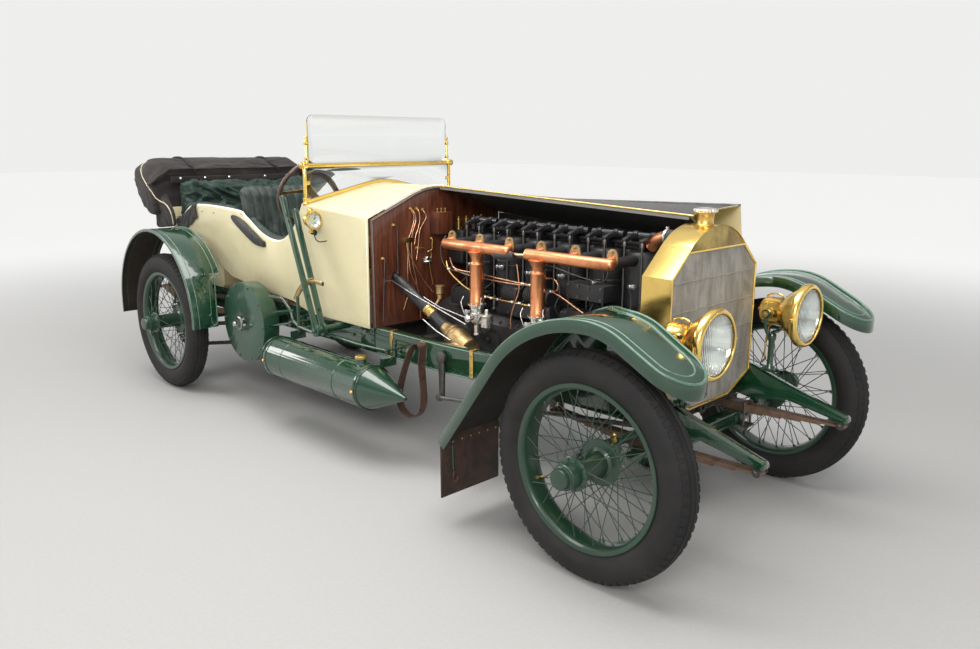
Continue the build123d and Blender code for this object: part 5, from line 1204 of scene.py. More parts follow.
def ignition():
    """Plugs low on each barrel, their leads, and the thin pipes that run along the engine."""
    metal, white, wires = Shape(), Shape(), Shape()
    for i, x in enumerate(CYLINDERS):
        base, way = (x + 6, -82, 1000 + (8 if i % 2 else 0)), Vector((0.35, -1, 0.22)).normalized()
        spark_plug(metal, base, way)
        white.lathe(Vector(base) + way * 18, way, [(0, 0), (8, 0), (9, 6), (7, 12), (8.5, 18), (5, 24), (0, 24)],
            steps=14)
        tip = Vector(base) + way * 54
        boot = tip + way * 16
        white.lathe(tip - way * 2, way, [(0, 0), (6.5, 0), (7.5, 4), (7.5, 20), (5, 24), (0, 25)], steps=12)
        drop = boot + Vector((8, -8, -14))
        far = Vector((x - 60 if i < 3 else x + 40, -176, 880))
        wires.tube(smooth_line([boot, boot + way * 14, drop + Vector((6, 2, -26)),
            (drop + far) / 2 + Vector((10, 6, -14)), far, far + Vector((0, 40, -60))], 6), 3.2, sides=8)
    metal.make("spark_plugs", bright_steel, sharp=35)
    white.make("plug_porcelain", porcelain, sharp=50)
    wires.make("plug_leads", hose_rubber, sharp=70)
    pipes("wire_loops", [
        [(2222, -230, 1160), (2206, -250, 1120), (2204, -250, 1060), (2216, -244, 1016), (2246, -236, 992),
            (2330, -232, 984), (2425, -228, 976)],
        [(3230, -246, 1150), (3262, -262, 1130), (3272, -264, 1090), (3250, -256, 1056), (3190, -230, 1040),
            (3060, -214, 1050), (2920, -210, 1072), (2740, -212, 1096), (2600, -214, 1066), (2560, -214, 1080)],
    ], 3.0, dark_steel)
    pipes("primer_pipes", [
        [(2230, -214, 1046), (2262, -222, 1004), (2320, -226, 992), (2430, -226, 990), (2560, -224, 984),
            (2690, -222, 978), (2800, -220, 975)],
        [(2240, -206, 1000), (2300, -214, 980), (2430, -218, 968), (2560, -218, 966), (2690, -216, 966),
            (2790, -214, 970)],
        [(2700, -214, 1062), (2712, -214, 1000), (2716, -214, 940), (2690, -210, 880), (2656, -204, 800),
            (2650, -200, 740)],
        [(2862, -214, 1012), (2930, -220, 1020), (2962, -222, 1000), (2958, -220, 972), (2924, -216, 960)],
        [(2924, -216, 960), (2990, -220, 940), (3060, -220, 910), (3120, -214, 880), (3160, -200, 850)],
    ], 3.2, bright_copper)
    pipes("valve_chest_pipes", [
        [(2130, -150, 1010), (2180, -170, 960), (2300, -178, 900), (2420, -186, 876), (2560, -186, 868),
            (2760, -186, 866)],
    ], 4.2, old_brass)
    unions = Shape()
    for x, y, z in ((2246, -236, 992), (2484, -221, 986), (2749, -221, 976), (2921, -217, 960), (2800, -220, 975)):
        unions.lathe((x - 9, y, z), (1, 0, -0.05), [(0, 0), (8, 0), (8, 7), (6, 9), (6, 13), (8.5, 13), (8.5, 21),
            (0, 21)], steps=6)
    for x in (2463, 2508, 2553, 2650, 2699, 2764):
        unions.lathe((x - 9, -187, 869), (1, 0, 0), [(0, 0), (9, 0), (9, 6), (6, 8), (6, 12), (9, 12), (9, 19),
            (0, 19)], steps=6)
        unions.tube([(x, -187, 869), (x, -160, 876)], 4, sides=8)
    unions.make("pipe_unions", nickel, bevel=0.5)


def between_manifolds():
    pipe = Shape().tube(smooth_line([(2700, -262, 1120), (2742, -263, 1116), (2800, -264, 1120), (2846, -265, 1124)],
        6), 8, sides=14)
    pipe.make("balance_pipe", bright_copper, sharp=60)
    hose = Shape().lathe((2616, -280, 1101), (1, 0.12, 0.07), [(0, 0), (16, 0), (18.5, 3), (18.5, 16), (17, 18),
        (17, 98), (18.5, 100), (18.5, 114), (16, 117), (0, 117)], steps=24)
    hose.make("balance_hose", hose_rubber, sharp=40)
    Shape().tube(smooth_line([(2620, -278, 1104), (2606, -274, 1106), (2590, -270, 1112)], 4), 11,
        sides=12).make("balance_stub", copper, sharp=60)


def side_units():
    """Ribbed magneto and pump housings behind the risers, the breather and the black timing boxes."""
    ribbed = Shape()
    for x0, x1, z in ((2560, 2660, 900), (2705, 2860, 908)):
        profile = [(0, 0), (38, 0), (40, 3)]
        for k in range(int((x1 - x0 - 8) / 12)):
            profile += [(40, 4 + k * 12), (44, 6 + k * 12), (44, 10 + k * 12), (40, 12 + k * 12)]
        profile += [(40, x1 - x0 - 3), (36, x1 - x0), (0, x1 - x0)]
        ribbed.lathe((x0, -140, z), (1, 0, 0), profile, steps=28)
    ribbed.block((2540, -178, 800), (2880, -104, 872))
    ribbed.block((2990, -196, 940), (3200, -108, 1012))
    ribbed.block((2960, -178, 800), (3330, -100, 880))
    ribbed.block((2190, -170, 800), (2420, -104, 880))
    ribbed.make("magneto_and_pump", engine_black, bevel=4.0, segments=3)
    bolts = [spot((x, -178.6, z), (0, -1, 0)) for x in range(2560, 2880, 52) for z in (812, 860)]
    bolts += [spot((x, -196.6, z), (0, -1, 0)) for x in (3004, 3060, 3120, 3186) for z in (952, 1000)]
    bolts += [spot((x, -178.6, z), (0, -1, 0)) for x in (2976, 3050, 3130, 3220, 3314) for z in (814, 866)]
    copies("side_unit_bolts", hexagon_bolt(5), bolts, dark_steel)
    breather = Shape()
    for x in (2350, 2950):
        breather.lathe((x, -150, 770), (0, 0, 1), [(0, 0), (26, 0), (26, 10), (18, 16), (18, 60), (26, 66), (26, 90),
            (20, 96), (0, 97)], steps=24)
    breather.make("crankcase_breathers", engine_black, sharp=34)
    top = Shape().tube(rounded_line([(2180, 0, 1188), (2180, 20, 1188), (3390, 20, 1188)], [10], 4), 14, sides=16)
    top.make("water_outlet_pipe", engine_black, sharp=60)
    water = Shape().tube(smooth_line([(3330, -40, 1184), (3352, -44, 1206), (3376, -52, 1226), (3412, -60, 1238)], 6),
        27, sides=20)
    water.make("radiator_water_pipe", copper, sharp=60)
    hose = Shape().lathe((3408, -60, 1239), (1, 0, -0.02), [(0, 0), (30, 0), (32, 4), (32, 78), (30, 81), (0, 81)],
        steps=28)
    hose.make("radiator_hose", hose_rubber, sharp=40)
    clamps = Shape()
    for x in (3414, 3470):
        clamps.lathe((x, -60, 1239), (1, 0, -0.02), [(31, 0), (34, 0), (34, 12), (31, 12)], steps=28)
        clamps.block((x, -64, 1270), (x + 12, -52, 1281))
    clamps.make("radiator_hose_clamps", nickel, bevel=0.6)


def crankcase_dressing():
    bolts = []
    for x in range(2160, 3400, 62):
        bolts.append(spot((x, -156, 748), (0, -0.7, 0.7)))
        bolts.append(spot((x, 156, 748), (0, 0.7, 0.7)))
        bolts.append(spot((x, -165.4, 560), (0, -1, 0)))
    copies("crankcase_bolts", hexagon_bolt(6), bolts, dark_steel)
    covers = Shape()
    for x in CYLINDERS:
        outline = [(x + 74 * cos(a) * (1 + 0.1 * abs(sin(2 * a))), -165.2, 648 + 56 * sin(a)) for a in angles(24)]
        covers.slab(outline, (0, -9, 0))
        covers.lathe((x, -174, 648), (0, -1, 0), [(0, 0), (14, 0), (12, 10), (0, 12)], steps=16)
    covers.make("crankcase_doors", engine_black, bevel=1.5)
    drip = Shape().tube([(2150, -168, 600), (2150, -172, 480), (2190, -172, 462)], 9, sides=12)
    drip.make("crankcase_drain", bright_copper, sharp=60)


porcelain = coach_paint("porcelain", (0.78, 0.77, 0.73), 0.2, 0.6, mottle=0.04, dust=0.25)
cylinder_barrels()
valve_train()
manifold(0, "rear")
manifold(3, "front")
carburettor(0, "rear")
carburettor(3, "front")
ignition()
between_manifolds()
side_units()
crankcase_dressing()


# Steering column under the bonnet, its rods, and the box

COLUMN_FOOT = Vector((2430, -310, 640))
COLUMN_WAY = Vector((-cos(radians(27.6)), 0, sin(radians(27.6))))


def column(profile, start):
    return [(r, start + h) for r, h in profile]


def steering_column():
    way = COLUMN_WAY
    box = Shape()
    box.lathe(COLUMN_FOOT, way, [(0, -44), (46, -44), (56, -38), (58, -30), (58, 60), (54, 66), (48, 70), (48, 82),
        (52, 86), (52, 96), (44, 104), (34, 128), (28, 160), (0, 160)], steps=36, hint=(0, 1, 0))
    box.lathe((2430, -310, 600), (0, 1, 0), [(0, -70), (40, -70), (56, -66), (61, -58), (61, 58), (56, 66), (40, 70),
        (0, 70)], steps=36)
    box.block((2384, -431, 574), (2476, -330, 628))
    for a in angles(8, 0.5):
        box.bolt((2430 + 49 * cos(a), -381, 600 + 49 * sin(a)), (0, -1, 0), 5.5, 6)
    box.make("steering_box", bronze, "steering_gear", sharp=32, bevel=1.2)
    tube = Shape()
    tube.lathe(COLUMN_FOOT, way, [(0, 150), (30, 150), (30, 190), (27, 196), (27, 250), (24, 256), (0, 256)], steps=28)
    tube.lathe(COLUMN_FOOT, way, [(0, 300), (26, 300), (30, 306), (31, 560), (24, 566), (21, 570), (21, 1477),
        (0, 1477)], steps=28)
    tube.make("steering_column_tube", engine_black, sharp=34)
    collar = Shape().lathe(COLUMN_FOOT, way, [(0, 250), (28, 250), (30, 254), (30, 268), (27, 272), (27, 286),
        (30, 290), (30, 304), (0, 304)], steps=28)
    collar.make("steering_column_collar", old_brass, sharp=34)
    rods = Shape()
    rods.tube([(1907, -338, 900), (2130, -352, 846), (2470, -330, 752)], 3.2, sides=8)
    rods.tube([(2120, -300, 836), (2240, -296, 800), (2440, -286, 770)], 3.2, sides=8)
    rods.tube([(2200, -374, 742), (2300, -376, 700), (2404, -372, 668)], 3.4, sides=8)
    rods.make("control_rods", bright_steel, sharp=60)
    cup = Shape().lathe((2205, -262, 836), (0, 0, 1), [(0, 0), (14, 0), (14, 20), (20, 26), (20, 60), (24, 62),
        (24, 68), (0, 69)], steps=24)
    cup.tube([(2205, -262, 840), (2196, -276, 812), (2190, -290, 796)], 8, sides=12)
    cup.make("steering_grease_cup", bronze, sharp=34)


steering_column()


# Seats

def swelled(name, shape, cap, voxel=9.0, pressure=4.0, firm=15.0):
    """A closed form remeshed and blown up as cloth, no point moved more than cap, then subdivided once."""
    piece = placed(name, shape.mesh(name, merge=0.05))
    remesh = piece.modifiers.new("even", "REMESH")
    remesh.mode = "VOXEL"
    remesh.voxel_size = voxel / 1000
    applied(piece)
    before = [v.co.copy() for v in piece.data.vertices]
    limit = cap / 1000
    scene = bpy.context.scene
    cloth = piece.modifiers.new("swell", "CLOTH")
    settings = cloth.settings
    settings.quality = 4
    settings.use_pressure = True
    settings.uniform_pressure_force = pressure
    settings.tension_stiffness = settings.compression_stiffness = firm
    settings.shear_stiffness = firm * 0.5
    settings.effector_weights.gravity = 0
    cloth.point_cache.frame_start, cloth.point_cache.frame_end = 1, 20
    for number in range(1, 21):
        scene.frame_set(number)
    blown = piece.evaluated_get(bpy.context.evaluated_depsgraph_get())
    after = [v.co.copy() for v in blown.data.vertices]
    piece.modifiers.remove(cloth)
    scene.frame_set(1)
    for vertex, start, end in zip(piece.data.vertices, before, after):
        move = end - start
        vertex.co = start + move * min(1.0, limit / max(move.length, 1e-9))
    return smoothed(piece, 1)


def pressed(piece, offset):
    """Moves each point along its normal by offset(station, y, height, normal) millimetres."""
    data = piece.data
    moves = [v.normal * (offset(v.co.x * 1000 + MIDDLE, v.co.y * 1000, v.co.z * 1000, v.normal) / 1000)
        for v in data.vertices]
    for vertex, move in zip(data.vertices, moves):
        vertex.co += move
    for polygon in data.polygons:
        polygon.use_smooth = True
    return piece


def crumple(point, scale, seed=0.0, turns=1.5):
    """Ridged folds of slack hide, 0 to 1."""
    p = Vector(point) / scale + Vector((seed, seed * 2, 0))
    bend = noise.noise_vector(p * 0.6) * turns
    value = 1 - abs(noise.noise(p + bend)) * 2.6
    fine = 1 - abs(noise.noise((p + bend) * 2.3 + Vector((7, 0, 3)))) * 2.6
    return max(value, 0) * 0.75 + max(fine, 0) * 0.25


def pleat(value, pitch, sharpness=0.55):
    """0 on a seam, 1 on the crown between two."""
    return abs(sin(pi * value / pitch)) ** sharpness


def on_surface(piece, points, lift=0.0):
    """Points of station millimetres pulled on to a piece's surface."""
    line = []
    for p in points:
        place, normal = piece.closest_point_on_mesh(metres(p))[1:3]
        q = place + normal * lift / 1000
        line.append(Vector((q.x * 1000 + MIDDLE, q.y * 1000, q.z * 1000)))
    return line


def welt(name, piece, points, radius, finish):
    """Piping that lies on a pad's surface."""
    line = on_surface(piece, smooth_line(points, 7), radius * 0.35)
    return Shape().tube(line, radius, sides=8).make(name, finish, sharp=80)


def block_pad(x0, x1, half, z0, z1, roll):
    """A cushion's blank: a block with generous corners in plan and a rolled top edge."""
    rings = []
    for z, inset in ((z0, 10), (z0 + 10, 2), (z1 - roll, 2), (z1 - roll * 0.35, roll * 0.25), (z1, roll * 0.9)):
        rings.append(rounded_box_line(x0 + inset, x1 - inset, half - inset, z, 36))
    return Shape().rings(rings)


def rounded_box_line(x0, x1, half, z, corner):
    corners = [(x1, -half), (x1, half), (x0, half), (x0, -half)]
    line = []
    for i, (x, y) in enumerate(corners):
        cx = x - corner if x == x1 else x + corner
        cy = y - corner if y > 0 else y + corner
        start = (-90, 0, 90, 180)[i]
        for k in range(6):
            a = radians(start + 90 * k / 5)
            line.append((cx + corner * cos(a), cy + corner * sin(a), z))
    return line


def cushion(name, x0, x1, half, z0, z1, pitch):
    blank = block_pad(x0 + 10, x1 - 12, half - 10, z0 + 1, z1 - 14, 34)
    piece = swelled(name, blank, 22, voxel=12.0)

    def sewn(x, y, z, normal):
        top = max(normal.z, 0.0)
        front = max(normal.x, 0.0)
        crown = 10 * top * (1 - ((x - (x0 + x1) / 2) / ((x1 - x0) / 2)) ** 2)
        seams = -8 * (1 - pleat(y, pitch)) * max(top, front * 0.8) if z > z0 + 20 else 0
        slack = 5 * crumple((x, y, z), 150, 3.0) * max(top, 0.3)
        return crown + seams + slack - 2
    pressed(piece, sewn)
    for vertex in piece.data.vertices:
        vertex.co.z = max(vertex.co.z, z0 / 1000)
        vertex.co.x = min(max(vertex.co.x, (x0 - MIDDLE) / 1000), (x1 - MIDDLE) / 1000)
        vertex.co.y = min(max(vertex.co.y, -half / 1000), half / 1000)
    finished(piece, seat_leather)
    welt(f"{name}_welt", piece, [(x1 + 20, y, z0 + 30) for y in range(int(-half) + 30, int(half) - 29, 60)], 4.0,
        seat_leather)
    return piece


def back_blank(outline, half, edge_round=44.0):
    """A seat back's blank: its side outline carried across, drawn in towards both ends."""
    centre = Vector((sum(x for x, z in outline) / len(outline), 0, sum(z for x, z in outline) / len(outline)))
    line = smooth_line([(x, 0, z) for x, z in outline], 3, closed=True)
    rings = []
    stops = [1.0, 0.985, 0.955, 0.9, 0.75, 0.5, 0.25]
    stops = [-s for s in stops] + [0.0] + stops[::-1]
    for share in stops:
        inset = edge_round * max(0.0, (abs(share) - 0.9) / 0.1) ** 2.2
        ring = []
        for p in line:
            way = (p - centre)
            ring.append(Vector((p.x, share * half, p.z)) - way.normalized() * inset * 0.8)
        rings.append(ring)
    return Shape().rings(rings)


FRONT_BACK = [(600, 850), (660, 846), (722, 862), (722, 960), (716, 1100), (708, 1240), (700, 1330), (672, 1358),
    (636, 1354), (614, 1320), (606, 1200), (602, 1040)]
REAR_BACK = [(-296, 1062), (-240, 1078), (-128, 1128), (-132, 1200), (-150, 1300), (-176, 1346), (-220, 1356),
    (-268, 1336), (-292, 1290), (-300, 1190)]


def front_seat_back():
    piece = swelled("front_seat_back", back_blank(FRONT_BACK, 506), 16)

    def sewn(x, y, z, normal):
        face = max(normal.x, 0.0) + max(normal.z, 0.0) * 0.8
        side = abs(y)
        bolster = 290 < side
        pleats = -9.5 * (1 - pleat(side - 290, 54)) * face if z > 880 else 0
        if 222 < side < 290:
            pleats = 5 * face * sin(pi * (side - 222) / 68)
        if side < 222:
            pleats = -9.5 * (1 - pleat(side, 55.5)) * face if z > 880 else 0
        seam = -12 * max(0.0, 1 - abs(side - 290) / 9) * face - 12 * max(0.0, 1 - abs(side - 222) / 9) * face
        slack = 7 * crumple((x, y, z), 190, 11.0, 1.0) * face
        wrap = (16 if bolster else 0) * face * ((side - 290) / 216 if bolster else 0) ** 1.6
        return pleats + seam + slack + wrap - 3
    pressed(piece, sewn)
    for vertex in piece.data.vertices:
        half = min(500, side_half(vertex.co.z * 1000) - 14) if vertex.co.z < 1.19 else 528
        vertex.co.y = min(max(vertex.co.y * (1.0 if vertex.co.z < 1.19 else 1 + (vertex.co.z - 1.19) * 0.2),
            -half / 1000), half / 1000)
        vertex.co.z = min(vertex.co.z, 1.370)
    finished(piece, pleated_leather, "front_seat")
    top = [(640, y, 1380) for y in range(-480, 481, 60)]
    welt("front_seat_back_welt", piece, top, 4.0, pleated_leather)


def rear_seat_back():
    piece = swelled("rear_seat_back", back_blank(REAR_BACK, 490), 18)

    def slack_hide(x, y, z, normal):
        face = max(normal.x, 0.0) + max(normal.z, 0.0)
        pulls = -10 * max(0.0, 1 - hypot((y % 160) - 80, (z - 1240) * 0.9) / 26) * face
        return 26 * crumple((x, y * 0.8, z * 1.3), 150, 5.0, 1.9) * face - 9 + pulls
    pressed(piece, slack_hide)
    for vertex in piece.data.vertices:
        vertex.co.x = max(vertex.co.x, (-311.6 - MIDDLE) / 1000)
        vertex.co.y = min(max(vertex.co.y, -0.503), 0.503)
        vertex.co.z = min(vertex.co.z, 1.366)
    finished(piece, slack_leather, "rear_seat")
    welt("rear_seat_back_welt", piece, [(-200, y, 1385) for y in range(-470, 471, 52)], 4.0, slack_leather)
    buttons = []
    for y in range(-400, 401, 160):
        place = on_surface(piece, [(-80, y, 1240)], 1.0)[0]
        buttons.append(spot(place, (1, 0, 0.12)))
    copies("rear_seat_buttons", rivet(9, 0.5), buttons, seat_leather)


def arm_pads():
    """Leather rolls inside the body's top edge, beside both seats."""
    for name, side in (("left", LEFT), ("right", RIGHT)):
        for part, x0, x1 in (("front", 742, 1180), ("rear", -100, 560)):
            line = []
            for i in range(15):
                x = x0 + (x1 - x0) * i / 14
                z = body_top_height(x) + 4
                line.append((x, side * (side_half(z) - 36), z))
            radius = [10 + 14 * sin(pi * min(1, max(0.06, i / 14)) * 0.96 + 0.06) ** 0.35 for i in range(15)]
            roll = Shape().tube(smooth_line(line, 3)[:43], [radius[min(14, i // 3)] for i in range(43)], sides=20)
            piece = smoothed(placed(f"arm_pad_{part}_{name}", roll.mesh(f"arm_pad_{part}_{name}")), 1)
            pressed(piece, lambda x, y, z, normal: 4 * crumple((x * 1.4, y, z), 60, 2.0) - 2.5
                * (1 - pleat(x, 46, 0.4)))
            finished(piece, seat_leather)


pleated_leather = leather("pleated_leather", (0.012, 0.024, 0.021), (0.045, 0.062, 0.056), 7.0, worn=(0.20, 0.22, 0.20),
    worn_share=0.42)
slack_leather = leather("slack_leather", (0.004, 0.015, 0.011), (0.012, 0.040, 0.030), 6.0, worn=(0.07, 0.11, 0.09),
    worn_share=0.22)
cushion("front_seat_cushion", 745, 1215, 425, 840.3, 985, 62)
cushion("rear_seat_cushion", -90, 420, 430, 1013.3, 1120, 62)
front_seat_back()
rear_seat_back()
arm_pads()


# Folded hood

def hood_section(y):
    """Side outline of the hood's bundle at a line across the car, as (station, height)."""
    share = abs(y) / 640
    end = max(0.0, (share - 0.80) / 0.20)
    sag = 9 * sin(share * 9) * (1 - end)
    top_front = -322 + 30 * end
    outline = [
        (-560 + 40 * end, 1190 - 30 * end), (-628 + 26 * end, 1250), (-676 + 30 * end, 1306), (-690 + 34 * end, 1360),
        (-686 + 46 * end, 1432 - 18 * end), (-668 + 60 * end, 1472 - 40 * end), (-630 + 50 * end, 1492 - 62 * end),
        (-560 + 50 * end, 1499 - 74 * end), (-500 + 40 * end, 1494 + sag * 0.4 - 82 * end),
        (-430 + 20 * end, 1474 + sag - 84 * end), (-370, 1448 + sag - 80 * end), (top_front, 1432 - 76 * end),
        (top_front - 2, 1404 - 60 * end), (-330, 1372 - 40 * end), (-344, 1352 - 40 * end), (-336, 1330 - 40 * end),
        (-331, 1280), (-331, 1200), (-336, 1136), (-372, 1118), (-430, 1112), (-500, 1148),
    ]
    return outline


def folded_hood():
    rings = []
    for i in range(81):
        y = -640 + 16.0 * i
        ring = smooth_line([(x, y, z) for x, z in hood_section(y)], 3, closed=True)
        share = abs(y) / 640
        pull = max(0.0, (share - 0.93) / 0.07) ** 2
        centre = Vector((-500, y, 1300))
        rings.append([centre + (p - centre) * (1 - 0.16 * pull) for p in ring])
    piece = smoothed(placed("folded_hood_cover", Shape().rings(rings).mesh("folded_hood_cover")), 1)

    def drape(x, y, z, normal):
        long_fold = 9 * crumple((x * 1.3, y * 0.26, z * 1.6), 170, 21.0, 0.7)
        cross_fold = 5 * crumple((x, y, z), 130, 4.0, 1.3)
        strap_pinch = sum(-7 * max(0.0, 1 - abs(y - at) / 60) ** 2 for at in (-330, 330))
        return long_fold + cross_fold - 9 + strap_pinch * (0.5 + 0.5 * max(normal.z, 0))
    pressed(piece, drape)
    low, high = metres((-704, -638, 1060)), metres((-318, 638, 1501))
    for vertex in piece.data.vertices:
        vertex.co = Vector(min(max(c, a), b) for c, a, b in zip(vertex.co, low, high))
    finished(piece, hood_black, "folded_hood")
    for name, side in (("left", LEFT), ("right", RIGHT)):
        seam = [(-600, side * 575, 1515), (-556, side * 606, 1452), (-500, side * 622, 1392), (-440, side * 632, 1338),
            (-384, side * 640, 1296), (-345, side * 640, 1262), (-330, side * 628, 1236)]
        line = on_surface(piece, smooth_line(seam, 8), 1.4)
        line += smooth_line([line[-1], Vector((-300, side * 606, 1216)), Vector((-250, side * 600, 1206)),
            Vector((-205, side * 596, 1184)), Vector((-186, side * 588, 1150)), Vector((-182, side * 580, 1108)),
            Vector((-186, side * 574, 1062))], 5)[1:]
        Shape().tube(line, 3.6, sides=8).make(f"hood_piping_{name}", piping, sharp=80)
    edge = [on_surface(piece, [(-290, y, 1436)], 1.0)[0] for y in range(-540, 541, 30)]
    Shape().tube(smooth_line(edge, 3), 3.2, sides=8).make("hood_front_hem", hood_black, sharp=80)
    lip = Shape()
    lip_rings = []
    for i in range(61):
        y = -510 + 17.0 * i
        drop = 10 * crumple((0, y, 0), 90, 8.0)
        lip_rings.append([(-319, y, 1378), (-312, y, 1376), (-308 + drop * 0.4, y, 1352 - drop), (-309, y, 1340 - drop),
            (-313, y, 1341 - drop), (-318, y, 1354)])
    lip.rings(lip_rings)
    lip.make("hood_press_flap", hood_black, sharp=60)
    studs = [spot((-309.5, y, 1364), (1, 0, 0.2)) for y in (-260, -75, 215, 400, -440)]
    snap = Shape().lathe((0, 0, 0), (0, 0, 1), [(0, 0), (9, 0), (9, 1.5), (6, 3.5), (6, 5.5), (4, 7), (0, 7.4)],
        steps=14)
    copies("hood_press_studs", snap, studs, nickel)
    straps = Shape()
    for at in (-330, 330):
        line = on_surface(piece, [(-300, at, 1400), (-318, at, 1450), (-400, at, 1490), (-520, at, 1520),
            (-640, at, 1515), (-700, at, 1450), (-715, at, 1380), (-700, at, 1310), (-640, at, 1240), (-560, at, 1170)],
            2.0)
        straps.tube(smooth_line(line, 6), 15, sides=12, flat=0.16, hint=(0, 1, 0))
    straps.make("hood_straps", pad_leather, sharp=60)


def hood_sides():
    """The cloth that hangs from each end of the hood to its pivots, and the loose lap over the body's top edge."""
    for name, side in (("left", LEFT), ("right", RIGHT)):
        rings = []
        for z, x0, x1, inner, outer in ((1050, -500, -194, 534, 568), (1072, -492, -186, 535, 574),
                (1110, -474, -182, 537, 582), (1150, -458, -188, 539, 592), (1188, -470, -214, 540, 600),
                (1220, -490, -290, 530, 600), (1280, -520, -350, 500, 560)):
            ring = []
            for a in angles(40):
                wave = 1 + 0.10 * sin(5 * a + z * 0.03) + 0.05 * sin(9 * a)
                cx, cy = (x0 + x1) / 2, (inner + outer) / 2
                px = cx + (x1 - x0) / 2 * copysign_power(cos(a), 0.7)
                py = cy + (outer - inner) / 2 * copysign_power(sin(a), 0.8) * min(1.0, wave)
                low = z - 40 * max(0.0, (1110 - z) / 60) * max(0.0, (-190 - px) / 310)
                ring.append((px, side * max(py, inner), low))
            rings.append(ring)
        piece = smoothed(placed(f"hood_side_{name}", Shape().rings(rings).mesh(f"hood_side_{name}")), 2)
        pressed(piece, lambda x, y, z, normal: 7 * crumple((x * 1.8, y, z * 0.5), 90, 6.0) - 4)
        for vertex in piece.data.vertices:
            limit = (side_half(vertex.co.z * 1000) + 1.5) / 1000
            vertex.co.y = side * max(side * vertex.co.y, limit if vertex.co.x * 1000 + MIDDLE > -331 else 0.0)
        finished(piece, hood_black)
        lap(name, side)


def copysign_power(value, power):
    return (1 if value >= 0 else -1) * abs(value) ** power


def lap(name, side):
    """A ragged lap of thin cloth over the body's top edge in front of the hood's side."""
    width, drop, thick = 316.0, 132.0, 2.4
    count, rows = 44, 14
    lines = []
    random.seed(7 if side == LEFT else 3)
    ragged = [random.uniform(0.82, 1.0) for k in range(count + 1)]
    for i in range(count + 1):
        x = -222 + width * i / count
        top = body_top_height(x)
        line = []
        reach = (drop - 30 * (i / count)) * ragged[i]
        for j in range(rows + 1):
            t = j / rows * (reach + 34)
            bulge = 3.0 + 8.0 * max(0.0, crumple((x, 0, t * 0.7), 46, 3.0) + 0.3) * min(1.0, t / 40)
            if t < 34:
                a = (34 - t) / 34
                y = side_half(top) - 9 - 20 * a
                z = top + 14.5 - 5 * a * a
            else:
                z = top + 12 - (t - 34)
                y = side_half(z) + bulge
            line.append(Vector((x, side * y, z)))
        lines.append(line)
    points, faces = [p for line in lines for p in line], []
    n = rows + 1
    for i in range(count):
        for j in range(rows):
            faces.append((i * n + j, i * n + j + 1, (i + 1) * n + j + 1, (i + 1) * n + j))
    piece = placed(f"hood_lap_{name}", Shape().add(points, faces).mesh(f"hood_lap_{name}"))
    solid = piece.modifiers.new("cloth", "SOLIDIFY")
    solid.thickness = thick / 1000
    solid.offset = 1.0
    smoothed(piece, 1)
    for polygon in piece.data.polygons:
        polygon.use_smooth = True
    finished(piece, hood_black)


folded_hood()
hood_sides()


# Lamps

def turned_piece(centre, way, profile, steps=64):
    return Shape().lathe(centre, way, profile, steps=steps, hint=(0, 0, 1))


def lamp_glass_finish():
    """Ribbed glass, thin enough that the silvered dish behind it shows."""
    finish = Finish("lamp_glass", Transmission_Weight=0.96, IOR=1.18, Coat_Weight=0.6, Coat_Roughness=0.02)
    flute = (finish.axes()[1] * 520).wave() * 0.5 + 0.5
    finish.give(Base_Color=finish.mix(finish.cloud(30.0), (0.90, 0.95, 0.93), (0.98, 1.0, 0.98)),
        Roughness=finish.cloud(60.0).step(0.6, 0.9) * 0.06 + 0.01)
    return finish.bump(flute, 0.0014, 0.35).material


